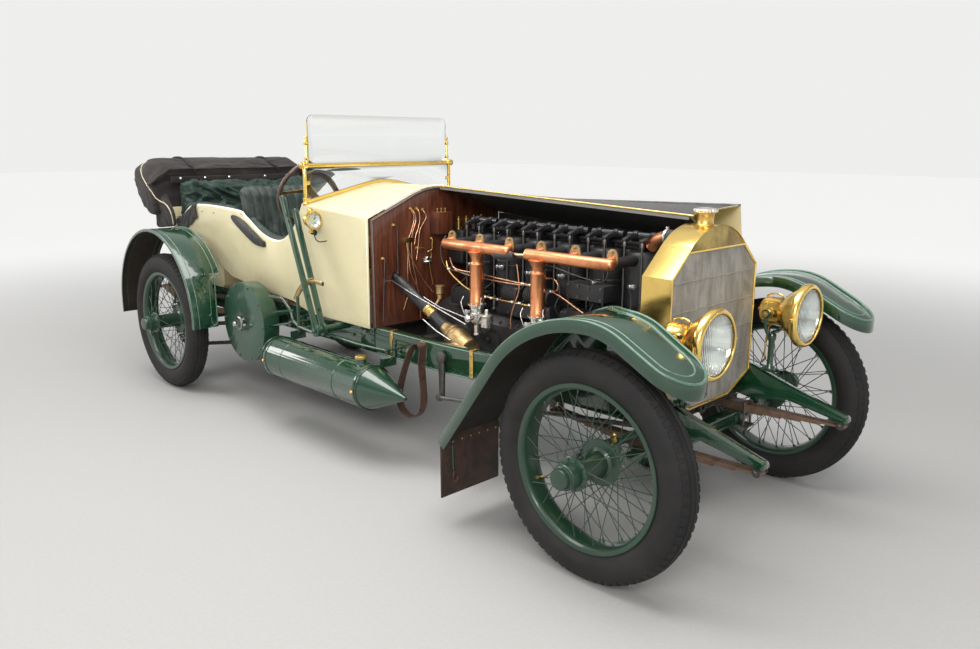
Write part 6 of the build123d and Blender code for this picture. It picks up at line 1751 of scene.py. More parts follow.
def headlamp_forms(forms):
    """The right headlamp: spun brass bell, silvered dish, burner, hinged rim, trunnions and glass."""
    x, y, z = 3862, -375, 903
    shell = forms["shells"].join(turned_piece((x, y, z), (1, 0, 0), [(0, -229), (9, -229), (14, -226), (18, -218),
        (17, -209), (12, -205), (28, -204), (46, -203), (54, -200), (58, -194), (59.5, -188), (59.5, -176),
        (61.5, -174), (61.5, -168), (60, -166), (62, -140), (66, -112), (72, -103), (80, -94), (89, -82), (98, -69),
        (107, -55), (114, -43), (120, -34), (125, -28), (128, -26), (129.5, -24), (129.5, -20), (127, -18), (127, -12),
        (129, -10), (129, 4), (122, 5), (119, 2), (117.6, -8), (112, -16), (100, -27), (84, -46), (64, -74), (40, -92),
        (20, -98), (0, -99)]))
    shell.tube(smooth_line([(x - 190, y, z + 59), (x - 190, y, z + 66), (x - 176, y, z + 74), (x - 150, y, z + 78),
        (x - 128, y, z + 74), (x - 118, y, z + 67)], 5), 4, sides=10)
    for a in angles(8):
        shell.lathe((x - 204, y + 36 * cos(a), z + 36 * sin(a)), (-1, 0, 0), [(0, 0), (6, 0), (6, 1.5), (0, 2)],
            steps=14)
    forms["dishes"].join(turned_piece((x, y, z), (1, 0, 0), [(116, -7), (112, -14.5), (100, -25.5), (84, -44.5),
        (64, -72.5), (40, -90.5), (20, -96.5), (0, -97.5), (0, -98), (20, -97), (40, -91), (64, -73), (84, -45),
        (100, -26), (112, -15), (116, -7.5)]))
    burner = forms["burners"].lathe((x - 99, y, z), (1, 0, 0), [(0, 0), (15, 0), (15, 14), (9, 18), (9, 34), (6, 38),
        (0, 40)], steps=20)
    burner.tube([(x - 58, y, z - 22), (x - 58, y, z - 4), (x - 58, y - 7, z + 8)], 2.4, sides=8)
    burner.tube([(x - 58, y, z - 4), (x - 58, y + 7, z + 8)], 2.4, sides=8)
    burner.tube([(x - 66, y, z), (x - 58, y, z), (x - 58, y, z - 22)], 3, sides=8)
    rim = forms["rims"].join(turned_piece((x, y, z), (1, 0, 0), [(118, -5), (135, -26), (136, -24), (137.4, -18),
        (137.4, -6), (136, -1), (131, 4.5), (126, 7.4), (121, 7.8), (117.6, 6.2), (116.6, 3), (117, -1)]))
    for a in angles(16, 0.5):
        rim.dome((x + 6.4, y + 126 * cos(a), z + 126 * sin(a)), (1, 0, 0), 3.0)
    rim.lathe((x - 14, y - 143, z - 16), (0, 0, 1), [(0, 0), (5, 0), (5, 32), (0, 32)], steps=12)
    rim.block((x - 24, y - 142, z - 12), (x - 6, y - 131, z + 12))
    rim.lathe((x - 12, y + 137, z), (0, 1, 0), [(0, 0), (6, 0), (6, 4), (4, 6), (9, 10), (9, 16), (0, 18)], steps=14)
    for face in (-1, 1):
        forms["trunnions"].lathe((x - 150, y + face * 58, z), (0, face, 0), [(0, 0), (24, 0), (24, 4), (15, 6),
            (15, 16), (0, 16)], steps=24)
        forms["trunnions"].lathe((x - 150, y + face * 95, z), (0, face, 0), [(0, 0), (14, 0), (14, 5), (8, 6), (8, 10),
            (0, 12)], steps=6)
    forms["lenses"].lathe((x, y, z), (1, 0, 0), [(0, -4), (112, -4), (115, -3), (115, -1), (112, 0.5), (96, 2.8),
        (70, 5.0), (40, 6.8), (0, 7.6)], steps=64)


def side_lamp_forms(forms):
    """The right side lamp, a small brass lamp on a stay from the cowl, with a hooked wire below it."""
    x, y, z = 1533, -566, 1209
    shell = forms["shells"].join(turned_piece((x, y, z), (1, 0, 0), [(0, -77), (8, -77), (12, -72), (11, -67),
        (22, -65), (30, -58), (34, -50), (35, -44), (36.5, -42), (36.5, -38), (35.5, -36), (37, -20), (38, -12),
        (44, -8), (48.5, -5), (49.6, -1), (49.6, 4), (46, 6), (42.5, 5), (41, 2), (41, -3), (28, -14), (0, -22)], 44))
    shell.lathe((x - 30, y, z + 34), (0, 0, 1), [(0, 0), (18, 0), (18, 5), (13, 7), (13, 15), (17, 17), (17, 21),
        (9, 28), (0, 30)], steps=24)
    shell.tube([(x - 30, y, z - 34), (x - 30, y, z - 64)], 7, sides=14)
    shell.lathe((x - 30, y, z - 68), (0, 0, 1), [(0, 0), (12, 0), (12, 8), (8, 12), (0, 12)], steps=18)
    forms["dishes"].join(turned_piece((x, y, z), (1, 0, 0), [(40.5, -3), (28, -13.4), (0, -21.4), (0, -21.8),
        (28, -13.8), (40.5, -3.4)], 40))
    forms["lenses"].lathe((x, y, z), (1, 0, 0), [(0, -1.6), (40.2, -1.6), (40.2, 1.2), (28, 4.2), (14, 6), (0, 6.6)],
        steps=40)
    stay = forms["stays"].tube(smooth_line([(x - 30, y, z - 62), (x - 32, y + 6, z - 72), (x - 34, y + 24, z - 74),
        (x - 34, -536, z - 70)], 5), 7, sides=12)
    stay.lathe((x - 34, -536, z - 70), (0, 1, 0.04), [(0, -6), (17, -6), (17, -2), (12, 4), (0, 4)], steps=20)
    stay.tube(smooth_line([(x - 10, y, z - 40), (x - 4, y, z - 60), (x + 2, y, z - 84), (x + 16, y + 2, z - 104),
        (x + 36, y + 6, z - 112), (x + 60, y + 14, z - 110), (x + 72, y + 30, z - 106)], 5), 3.4, sides=8)


def fork_forms(forms):
    """The right lamp fork: eyes round the trunnions, a collared post, its foot and the lamp's pipe."""
    x, y, z = 3712, -375, 903
    reach, cradle = 83.3, 807
    fork = forms["forks"].tube(rounded_line([(x, y - reach, z - 12), (x, y - reach, cradle), (x, y + reach, cradle),
        (x, y + reach, z - 12)], [50, 50], 10), 9, sides=14, flat=0.8, hint=(1, 0, 0))
    for face in (-1, 1):
        fork.lathe((x, y + face * (reach - 8), z), (0, face, 0), [(0, 0), (20, 0), (20, 16), (0, 16)], steps=24)
    fork.lathe((x, -359, 0), (0, 0, 1), [(0, 642), (22, 642), (22, 650), (14, 660), (13, 700), (13, 770), (17, 776),
        (19, 786), (19, 800), (14, 806), (11, 812), (0, 812)], steps=24)
    fork.slab([(x - 34, -378, 634), (x + 34, -378, 634), (x + 34, -340, 634), (x - 34, -340, 634)], (0, 0, 11))
    for face in (-1, 1):
        fork.bolt((x + face * 24, -359, 644), (0, 0, 1), 7)
    forms["lamp_pipes"].tube(smooth_line([(x - 6, y, z - 56), (x - 26, y, z - 76), (x - 30, y + 8, z - 130),
        (x - 30, -362, z - 200), (x - 26, -366, 690), (x - 44, -372, 664)], 6), 4.2, sides=8)


lamp_glass = lamp_glass_finish()
LAMP_FORMS = {
    "shells": (brass, "lamp_shells", 33), "dishes": (silvered, (), 60), "burners": (old_brass, (), 50),
    "rims": (brass, (), 30), "trunnions": (old_brass, (), 34), "lenses": (lamp_glass, "lamp_lenses", 50),
    "stays": (chassis_black, (), 50), "forks": (green_paint, "lamp_brackets", 40), "lamp_pipes": (old_brass, (), 60),
}
lamp_forms = {name: Shape() for name in LAMP_FORMS}
headlamp_forms(lamp_forms)
side_lamp_forms(lamp_forms)
fork_forms(lamp_forms)
for name, (finish, node, sharp) in LAMP_FORMS.items():
    lamp_forms[name].both_sides().make("lamp_" + name.replace("lamp_", ""), finish, node, sharp=sharp)


# Radiator

FRONT, BACK = 3630.0, 3490.0


def radiator_edge(grow, arch_steps=24):
    """Front outline (y, height), anticlockwise seen from the front, straight sides under an arched head."""
    half, shoulder, chine = 326 + grow, 1110 + grow * 0.4, 635 - grow * 0.4
    head_half, head, foot_half, foot = 216 + grow, 1207 + grow * 0.4, 155 + grow * 0.4, 555 - grow
    crown = 1300
    rise = crown - head
    radius = (head_half ** 2 + rise ** 2) / (2 * rise)
    centre = crown - radius
    start = atan2(head - centre, head_half)
    line = [(half, chine), (half, shoulder)]
    for k in range(arch_steps + 1):
        a = start + (pi - 2 * start) * k / arch_steps
        line.append((radius * cos(a), centre + radius * sin(a)))
    line += [(-half, shoulder), (-half, chine), (-foot_half, foot), (foot_half, foot)]
    return line


def radiator_shell():
    """Sheet-brass jacket with a raised front lip, a duller head panel and a bright strip under it."""
    rings = []
    for x, grow in ((BACK, 1.0), (BACK, 5.2), (BACK + 2, 6.0), (FRONT - 2, 6.0), (FRONT, 5.0), (FRONT, 1.0),
            (FRONT - 3, -1.0), (FRONT - 8, -2.6), (FRONT - 8, -3.0), (BACK + 4, -3.0), (BACK, -2.0)):
        rings.append([(x, y, z) for y, z in radiator_edge(grow)])
    jacket = Shape().rings(rings, closed=True)
    jacket.make("radiator_jacket", brass, "radiator_shell", bevel=1.6, sharp=25, bevel_angle=24, segments=3)
    head = [(FRONT - 3, y, z) for y, z in radiator_edge(-3.4) if z > 1204]
    Shape().slab(head, (-(FRONT - BACK) + 8, 0, 0)).make("radiator_head_tank", head_brass, bevel=0.8)
    strip = Shape()
    strip.block((FRONT - 6, -212, 1201), (FRONT - 0.4, 212, 1209))
    for side in (-1, 1):
        strip.slab([(FRONT - 6, side * 214, 1209), (FRONT - 6, side * 214, 1201), (FRONT - 6, side * 322, 1106),
            (FRONT - 6, side * 323, 1112)], (5.2, 0, 0))
        strip.block((FRONT - 6, side * 323 - 4, 640), (FRONT - 0.8, side * 323 + 1, 1110))
    strip.make("radiator_front_strips", brass, bevel=0.7)
    lines = Shape()
    for z in (1090, 970, 850, 730):
        wavy = [(FRONT - 4.4, y, z + 1.3 * sin(y * 0.05)) for y in range(-320, 321, 16)]
        lines.tube(wavy, 2.0, sides=6)
    lines.make("radiator_solder_lines", solder, sharp=70)
    core = Shape()
    inner = [(322.4, 635), (322.4, 1108), (216, 1200), (-216, 1200), (-322.4, 1108), (-322.4, 636), (-153, 559),
        (153, 559)]
    core.slab([(BACK + 12, y, z) for y, z in inner], (FRONT - BACK - 17.4, 0, 0))
    core.make("radiator_matrix_block", core_metal, "radiator_core", sharp=30)
    foot = Shape()
    for side in (-1, 1):
        foot.slab([(BACK + 20, side * 60, 540), (BACK + 20, side * 150, 546), (BACK + 20, side * 150, 552),
            (BACK + 20, side * 60, 549)], (100, 0, 0))
    foot.make("radiator_feet", dark_steel, bevel=0.8)


def radiator_filler():
    """Brass neck with a pale knurled cap."""
    x = (FRONT + BACK) / 2
    neck = Shape().lathe((x, 0, 1290), (0, 0, 1), [(0, 0), (44, 0), (44, 4), (38, 8), (35, 14), (34, 30), (36, 48),
        (37, 50), (37, 54), (34, 56), (0, 56)], steps=40)
    neck.make("filler_neck", old_brass, sharp=32)
    cap = Shape().milled((x, 0, 0), (1, 0, 0), (0, 1, 0), 96, 2.6, [(40, 1345, 0), (46, 1347, 1), (49.6, 1350, 1),
        (50, 1358, 1), (48, 1361, 0.6), (42, 1362.5, 0), (20, 1366, 0), (1, 1366.8, 0)], period=4, cut=(0, 1))
    cap.make("filler_cap", pale_nickel, sharp=26)
    chain = []
    for k in range(15):
        t = k / 14
        chain.append((x - 30 - 18 * t, 36 + 26 * t, 1342 - 34 * sin(pi * t * 0.5)))
    Shape().tube(smooth_line(chain, 3), 1.6, sides=6).make("filler_chain", old_brass, sharp=70)


head_brass = bare_metal("head_brass", (0.50, 0.37, 0.13), 0.30, (0.20, 0.15, 0.07), 7.0, 0.8)
solder = bare_metal("solder", (0.50, 0.50, 0.46), 0.42, (0.25, 0.24, 0.21), 30.0, 0.6, metallic=0.8)
pale_nickel = bare_metal("pale_nickel", (0.80, 0.76, 0.66), 0.30, (0.40, 0.34, 0.24), 60.0, 0.6)
radiator_shell()
radiator_filler()


# Windscreen fittings and steering wheel

def screen_fittings():
    """Sockets, hinge clamps with knurled nuts, finger tips and the screen's edge channels."""
    x = 1401
    metal, knurled = Shape(), Shape()
    for side in (-1, 1):
        y = side * 526
        metal.lathe((x, y, 1284), (0, 0, 1), [(0, 0), (19, 0), (19, 6), (15, 9), (13.5, 26), (16, 28), (16, 34),
            (11, 36), (0, 36)], steps=24)
        metal.lathe((x, y - side * 16, 1494), (0, side, 0), [(0, 0), (17, 0), (18.5, 2), (18.5, 28), (17, 30), (0, 30)],
            steps=28)
        knurled.milled((x, y, 1494), (1, 0, 0), (0, 0, 1), 40, 1.8, [(9, side * 14, 0), (18, side * 15, 1),
            (18, side * 24, 1), (15, side * 26, 0), (7, side * 28, 0), (0.5, side * 29, 0)])
        finger = y - side * 18
        metal.lathe((x, finger, 1636), (0, 0, 1), [(0, 0), (9.5, 0), (11, 5), (9, 12), (4, 16), (0, 17)], steps=18)
        for z in (1530, 1612):
            metal.block((x - 8, finger - 12, z - 9), (x + 8, finger + 12, z + 9))
            metal.dome((x + 8, finger, z), (1, 0, 0), 4)
        for z in (1310, 1400):
            metal.block((x - 6, y - side * 26, z - 10), (x + 6, y - side * 8, z + 10))
    metal.make("screen_clamps", brass, bevel=0.8, sharp=32)
    knurled.make("screen_knobs", old_brass, sharp=28)
    edge = Shape()
    for y in (-499, 499):
        edge.tube([(x, y, 1545), (x, y, 1724)], 3.2, sides=8)
    edge.make("screen_edge_channels", brass, sharp=50)


def wheel_forms():
    """Varnished rim with finger hollows underneath on a brass spider of four arms."""
    centre = Vector((1100.7, -310, 1335))
    side, up, way = square_to(COLUMN_WAY, (0, 1, 0))

    def at(angle, radius, height):
        return centre + (side * cos(angle) + up * sin(angle)) * radius + way * height
    rim = Shape()
    rings = []
    for a in angles(144):
        ring = []
        for b in angles(14):
            under = max(0.0, -sin(b))
            hollow = 1.5 * under * max(0.0, sin(36 * a)) ** 2
            ring.append(at(a, 197 + (13 - hollow) * cos(b), (12.6 - hollow) * sin(b)))
        rings.append(ring)
    rim.rings(rings, closed=True)
    rim.make("steering_wheel_rim", wheel_wood, "steering_wheel", body="steering_wheel", sharp=60)
    spider = Shape()
    for a in angles(4):
        rings = []
        for r, half, thick, lift in ((20, 15, 6, 8), (46, 12, 5, 6), (90, 9.5, 4, 1), (150, 8.5, 3.6, -4),
                (182, 10, 3.4, -6), (192, 15, 3, -8)):
            across = -side * sin(a) + up * cos(a)
            rings.append([at(a, r, lift) + across * half * cos(b) + way * thick * sin(b) for b in angles(12)])
        spider.rings(rings)
        for spread in (-0.035, 0.035):
            spider.dome(at(a + spread, 192, -11), -way, 3, rise=0.4)
    spider.lathe(centre, way, [(0, -20), (24, -20), (27, -16), (29, -4), (31, 2), (31, 14), (27, 19), (18, 22),
        (18, 20), (0, 20)], steps=36)
    for a in angles(6):
        spider.bolt(at(a, 24, 16), way, 2.6, washer=False)
    spider.make("steering_wheel_spider", old_brass, body="steering_wheel", sharp=34)
    levers = Shape()
    for a in (0.9, 2.3):
        levers.tube(smooth_line([at(a, 12, 30), at(a, 50, 34), at(a, 92, 30)], 4), [4, 4, 3.6, 3.4, 3.2, 3, 3, 3, 3],
            sides=8)
        levers.lathe(at(a, 96, 29), at(a, 97, 29) - at(a, 96, 29), [(0, -6), (6, -5), (8, 0), (6, 7), (0, 9)], steps=14)
    levers.lathe(centre, way, [(0, 22), (15, 22), (16, 25), (16, 33), (12, 37), (0, 38)], steps=24)
    levers.make("hand_control_levers", nickel, sharp=40)


screen_fittings()
wheel_forms()


# Chains

def chain_path():
    """Pin places round both chain wheels and the count of links."""
    x, z = 858.0, 556.0 - WHEEL_HEIGHT
    span, turn = hypot(x, z), atan2(z, x)
    pitch = 44.45
    front = 112.0 + 0.3 + pitch ** 2 / (8 * 122.0) + 10
    rear = 168.0 + 5.0 + 10
    lean = (rear - front) / span
    run = span * (1 - lean ** 2) ** 0.5
    parts = (front * (pi - 2 * lean), run, rear * (pi + 2 * lean), run)
    total = sum(parts)
    links = round(total / pitch / 2) * 2

    def tangent(sign):
        a = turn + sign * (pi / 2 - lean)
        return (Vector((x + front * cos(a), WHEEL_HEIGHT + z + front * sin(a))),
            Vector((rear * cos(a), WHEEL_HEIGHT + rear * sin(a))))
    upper, lower = tangent(1), tangent(-1)
    points = []
    for i in range(links):
        s = total * i / links
        if s < parts[0]:
            a = turn - pi / 2 + lean + s / front
            points.append((x + front * cos(a), WHEEL_HEIGHT + z + front * sin(a)))
        elif s < parts[0] + run:
            points.append(tuple(upper[0].lerp(upper[1], (s - parts[0]) / run)))
        elif s < parts[0] + run + parts[2]:
            a = turn + pi / 2 - lean + (s - parts[0] - run) / rear
            points.append((rear * cos(a), WHEEL_HEIGHT + rear * sin(a)))
        else:
            points.append(tuple(lower[1].lerp(lower[0], (s - parts[0] - run - parts[2]) / run)))
    return points


def link_item(pitch, gauge, thick, roller):
    """A pair of waisted side plates along X with their pins or rollers along Y."""
    item = Shape()
    outline = []
    for end in (-1, 1):
        for k in range(9):
            a = pi / 2 - end * pi / 2 + pi * (k - 4) / 8 * 1.15
            outline.append((end * pitch / 2 + 9.4 * cos(a), 9.4 * sin(a)))
    line = sorted(outline[:9] + [(0, -6.6)] + outline[9:] + [(0, 6.6)], key=lambda p: atan2(p[1], p[0]))
    for side in (-1, 1):
        item.slab([(u, side * gauge, w) for u, w in line], (0, side * thick, 0))
    for end in (-1, 1):
        radius, reach = (8.6, gauge - 0.3) if roller else (4.6, gauge + thick + 1.2)
        item.lathe((end * pitch / 2, -reach, 0), (0, 1, 0), [(0, 0), (radius, 0), (radius, 2 * reach), (0, 2 * reach)],
            steps=14)
    return item


def chains():
    points = chain_path()
    count = len(points)
    for parity, name, gauge, roller in ((0, "inner", 7.4, True), (1, "outer", 9.8, False)):
        spots = []
        for side in (-1, 1):
            for i in range(parity, count, 2):
                a, b = Vector(points[i]), Vector(points[(i + 1) % count])
                way = (b - a).normalized()
                pitch = (b - a).length
                middle = (a + b) / 2
                normal = Vector((-way.y, 0, way.x))
                spots.append(spot((middle.x, side * 600, middle.y), normal, (way.x, 0, way.y)))
        copies(f"chain_{name}_links", link_item(pitch, gauge, 2.1, roller), spots, chain_steel, "drive_chains"
            if parity == 0 else (), sharp=34)


# Frame fittings

def rail_face(x):
    """Half width of the frame at its rails' outer faces, which draw in towards the front."""
    return 440 if x < 2450 else 440 - 58 * (x - 2450) / 700


def rail_fittings():
    """Yellow clips round the right rail, bolts, the rail's joint plates and the pale line along its top."""
    clips = Shape()
    for x in (2023, 2612):
        y = -rail_face(x)
        clips.slab([(x - 13, y - 2.4, 664), (x + 13, y - 2.4, 664), (x + 13, y - 2.4, 530), (x - 13, y - 2.4, 530)],
            (0, 2.2, 0))
        clips.slab([(x - 13, y - 2.4, 662.2), (x + 13, y - 2.4, 662.2), (x + 13, y + 40, 662.2),
            (x - 13, y + 40, 662.2)], (0, 0, 2.2))
        for z in (552, 640):
            clips.dome((x, y - 2.4, z), (0, -1, 0), 6)
    clips.make("rail_clips", old_brass, bevel=0.5)
    bolts = []
    places = [(2096, 572), (2168, 584), (2057, 600), (2407, 597), (2477, 623), (2465, 552), (1793, 600), (1693, 588),
        (1240, 630), (1240, 560), (1390, 600), (1880, 640), (1880, 545), (2300, 560), (700, 640), (700, 545),
        (560, 600), (820, 560), (960, 640), (2740, 560), (2740, 620), (2860, 590)]
    for side in (-1, 1):
        for x, z in places:
            if side < 0 and 2400 < x < 2480:  # The pitman arm swings close to the rail here.
                continue
            bolts.append(spot((x, side * rail_face(x), z), (0, side, 0)))
    copies("rail_bolts", hexagon_bolt(7.2), bolts, green_paint)
    rivets = []
    for side in (-1, 1):
        for x in range(100, 2961, 52):
            for z in (648, 531):
                rivets.append(spot((x, side * rail_face(x), z), (0, side, 0)))
    copies("rail_rivets", rivet(4.6, 0.5), rivets, green_paint)
    bead = Shape()
    for side in (-1, 1):
        for z, radius in ((655, 2.6), (525, 2.2)):
            bead.tube([(1900, side * 441, z), (2450, side * 441, z), (2960, side * 392, z)], radius, sides=8)
    bead.make("rail_beads", pale_green, sharp=60)
    plates = Shape()
    for x in (1080, 1820):
        plates.slab([(x + u, -444.2, z) for u, z in ((-60, 524), (60, 524), (60, 656), (-60, 656))], (0, 4, 0))
        for u in (-44, 44):
            for z in (545, 590, 635):
                plates.bolt((x + u, -444.2, z), (0, -1, 0), 6.4)
    plates.both_sides().make("rail_joint_plates", green_paint, bevel=0.7)


def strap_band():
    """Wide brown leather band in a closed loop."""
    line = smooth_line([(2278, 0, 646), (2246, 0, 634), (2196, 0, 560), (2142, 0, 430), (2121, 0, 330), (2142, 0, 280),
        (2190, 0, 254), (2240, 0, 256), (2290, 0, 290), (2316, 0, 350), (2311, 0, 430), (2300, 0, 540), (2306, 0, 620),
        (2300, 0, 644)], 6, closed=True)
    rings = []
    count = len(line)
    for i, point in enumerate(line):
        way = (line[(i + 1) % count] - line[i - 1]).normalized()
        out = Vector((-way.z, 0, way.x))
        droop = (646 - point.z) / 394
        low, high = -447.5 - 6 * droop, -491 - 4 * droop
        wave = 1.4 * sin(i * 0.55)
        rings.append([(point.x + out.x * s, y + (wave if abs(y) > 470 else 0), point.z + out.z * s) for s,
            y in ((-2.3, low), (-2.6, (low + high) / 2), (-2.3, high), (2.3, high), (2.6, (low + high) / 2),
            (2.3, low))])
    band = Shape().rings(rings, closed=True)
    band.make("strap_band", strap_leather, "bonnet_strap", sharp=40)
    loop = Shape()
    loop.tube([(2222, -444.6, 610), (2212, -444.6, 592), (2212, -496, 592), (2222, -496, 610)], 2.6, sides=8,
        closed=True)
    loop.slab([(2262, -440.2, 652), (2300, -440.2, 652), (2300, -440.2, 616), (2262, -440.2, 616)], (0, -5, 0))
    loop.dome((2281, -445.2, 630), (0, -1, 0), 5)
    loop.make("strap_fittings", old_brass, bevel=0.4, sharp=40)


def tank_fittings():
    """Knurled cap, seam bead, band screws, drain cock and feed pipe of the side tank."""
    metal = Shape()
    metal.milled((1970, -600, 0), (1, 0, 0), (0, 1, 0), 48, 1.8, [(24, 534, 0), (31, 535, 1), (31.4, 546, 1),
        (28, 550, 0), (12, 552, 0), (0.5, 552.6, 0)])
    metal.lathe((1672, -600, 292), (0, 0, -1), [(0, -10), (14, -10), (14, 4), (9, 6), (9, 22), (6, 24), (0, 25)],
        steps=18)
    metal.tube([(1672, -600, 274), (1696, -600, 274)], 4, sides=10)
    for x in (1192, 2048):
        metal.bolt((x, -600 - 121, 398), (0, -1, 0), 7)
    metal.make("tank_fittings", old_brass, sharp=30)
    seams = Shape()
    for x in (1156, 1350, 1860, 2068):
        seams.lathe((x, -600, 398), (1, 0, 0), [(114.2, -4), (116.6, -3), (117.4, 0), (116.6, 3), (114.2, 4)], steps=72)
    seams.tube([(1160, -600, 398 + 115.2), (1930, -600, 398 + 115.2)], 2.2, sides=8)
    seams.make("tank_seams", green_paint, sharp=60)
    pipe = Shape().tube(smooth_line([(1150, -600, 330), (1128, -600, 330), (1112, -588, 348), (1108, -540, 380),
        (1112, -470, 430), (1120, -450, 500), (1130, -446, 540)], 6), 5, sides=10)
    pipe.make("tank_pipe", copper, sharp=60)


def lever_fittings():
    """Green grips, finger triggers with their rods, the bronze gate's teeth and the brake rods."""
    grips, rods, bronze_parts = Shape(), Shape(), Shape()
    for line, x, z in ((-642, 1350, 1330), (-598, 1400, 1260)):
        foot, top = Vector((1630, line, 632)), Vector((x, line, z))
        way = (top - foot).normalized()
        grips.lathe(top - way * 112, way, [(0, 0), (11, 0), (13.5, 8), (14.6, 40), (14, 80), (15.4, 104), (12, 116),
            (0, 121)], steps=20)
        front = Vector((way.z, 0, -way.x))
        if front.x < 0:
            front = -front
        rods.tube([top - way * 128 + front * 19, foot + way * 300 + front * 19], 3, sides=8)
        rods.tube(smooth_line([top - way * 128 + front * 19, top - way * 96 + front * 26, top - way * 40 + front * 30,
            top - way * 12 + front * 27], 4), 4, sides=8)
        for reach in (140, 330, 560):
            guide = top - way * reach + Vector((0, -5, 0))
            rods.slab([guide + front * u + way * v for u, v in ((13, 7), (24, 7), (24, -7), (13, -7))], (0, 10, 0))
        rods.bolt(foot + Vector((0, -9.5, 0)), (0, -1, 0), 13)
    grips.make("lever_grips", guard_green, sharp=34)
    rods.make("lever_triggers", guard_green, bevel=0.5, sharp=40)
    arc = []
    for k in range(41):
        a = radians(80 + 68 * k / 40)
        arc.append(Vector((1630 + 261 * cos(a), -620, 632 + 261 * sin(a))))
    bronze_parts.tube(arc, 12.5, sides=12, flat=0.62, hint=(0, 1, 0))
    for k in range(30):
        a = radians(100 + 50 * k / 29)
        way = Vector((cos(a), 0, sin(a)))
        at, across = Vector((1630, -624.4, 632)) + way * 276, Vector((-way.z, 0, way.x)) * 2.6
        bronze_parts.slab([at + across, at - across, at + way * 6], (0, 8.8, 0))
    bronze_parts.make("lever_gate_rack", bronze, sharp=34)
    links = Shape()
    bent = [(1118, 747), (1258, 756), (1345, 696), (1365, 640), (1420, 618), (1571, 605)]
    links.tube(rounded_line([(x, -620, z) for x, z in bent], [40, 50, 40, 40], 6), 8, sides=12)
    links.tube([(968, -612, 538), (1330, -612, 620)], 7, sides=10)
    links.tube([(1632, -566, 598), (1896, -566, 592), (2113, -540, 590)], 6, sides=10)
    for x, y, z in ((968, -612, 538), (1330, -612, 620), (1632, -566, 598), (2113, -540, 590)):
        links.lathe((x, y - 8, z), (0, 1, 0), [(0, 0), (13, 0), (13, 16), (0, 16)], steps=18)
        links.bolt((x, y - 8, z), (0, -1, 0), 6)
    for path in ([(1330, -612, 620), (1330, -470, 620), (1330, -441, 620)], [(2113, -540, 590), (2113, -441, 590)],
            [(968, -612, 538), (968, -640, 538)]):
        links.tube(path, 6, sides=10)
    links.make("brake_rods", green_paint, sharp=40)


def spring_fittings():
    """Plates, U-bolts, nuts and shackle nuts of the four springs."""
    steel = Shape()
    for x in (3518, 3622):
        steel.tube(rounded_line([(x, -359 - 30, 352), (x, -359 - 30, 470), (x, -359 + 30, 470), (x, -359 + 30, 352)],
            [16, 16], 6), 6, sides=10)
        for y in (-389, -329):
            steel.bolt((x, y, 360), (0, 0, -1), 9)
    steel.slab([(3500, -396, 352), (3640, -396, 352), (3640, -322, 352), (3500, -322, 352)], (0, 0, 9))
    steel.slab([(3505, -386, 461), (3635, -386, 461), (3635, -332, 461), (3505, -332, 461)], (0, 0, 6))
    for x in (4056, 3090):
        z = 465.7 if x > 3500 else 477.7
        for side in (-1, 1):
            steel.bolt((x, -359 + side * 27, z), (0, side, 0), 11)
    for x in (-36, 36):
        steel.tube(rounded_line([(x, -492 - 34, 400), (x, -492 - 34, 530), (x, -492 + 34, 530), (x, -492 + 34, 400)],
            [16, 16], 6), 6.5, sides=10)
        for y in (-526, -458):
            steel.bolt((x, y, 408), (0, 0, -1), 9)
    steel.slab([(-60, -532, 400), (60, -532, 400), (60, -452, 400), (-60, -452, 400)], (0, 0, 9))
    for x in (-610, 610):
        for side in (-1, 1):
            steel.bolt((x, -492 + side * 31, 581.5), (0, side, 0), 11)
    steel.both_sides().make("spring_fittings", dark_steel, sharp=34)


def axle_fittings():
    """Grease cups at the kingpins, the guard's hub nut and its ring of bolts."""
    cups = Shape()
    for y in (-588, 588):
        cups.lathe((3570, y, 512), (0, 0, 1), [(0, 0), (15, 0), (15, 6), (10, 8), (10, 14), (13, 16), (13, 28), (8, 32),
            (0, 33)], steps=20)
    guard = []
    for side in (-1, 1):
        for a in angles(10):
            guard.append(spot((858 + 226 * cos(a), side * 652.2, 556 + 226 * sin(a)), (0, side, 0)))
        for a in angles(6, 0.5):
            guard.append(spot((858 + 44 * cos(a), side * 664.5, 556 + 44 * sin(a)), (0, side, 0)))
    copies("chain_guard_bolts", hexagon_bolt(5.5), guard, dark_steel)
    nut = Shape()
    nut.lathe((858, -712, 556), (0, -1, 0), [(0, -4), (13, -4), (15, 0), (13, 6), (0, 8)], steps=20)
    nut.lathe((858, -690, 556), (0, -1, 0), [(38.3, -14), (41, -12), (41, -2), (38.3, 0)], steps=40)
    nut.both_sides().make("chain_guard_caps", bright_steel, sharp=30)
    cups.make("kingpin_cups", old_brass, sharp=34)


chains()
rail_fittings()
strap_band()
tank_fittings()
lever_fittings()
spring_fittings()
axle_fittings()


# Bonnet

BONNET_BACK, BONNET_FRONT = 1913.0, 3484.0


def bonnet_line(station):
    """Hinge height, half width and shoulder height of the closed bonnet at a station."""
    share = (station - BONNET_BACK) / (BONNET_FRONT - BONNET_BACK)
    return 1384 - 59 * share, 462 - 122 * share, 1230 - 112 * share


def bonnet_top(shape, over, under, back=BONNET_BACK, front=BONNET_FRONT, steps=14, mark=0):
    """Right top sheet of the closed bonnet between two depths under its outer face."""
    rings = []
    for i in range(steps + 1):
        x = back + (front - back) * i / steps
        apex, half, shoulder = bonnet_line(x)
        rings.append([(x, -6.4, apex - over), (x, -half * 0.5, (apex + shoulder) / 2 - over),
            (x, -half, shoulder - over), (x, -half, shoulder - under), (x, -half * 0.5, (apex + shoulder) / 2 - under),
            (x, -6.4, apex - under)])
    return shape.rings(rings, mark)


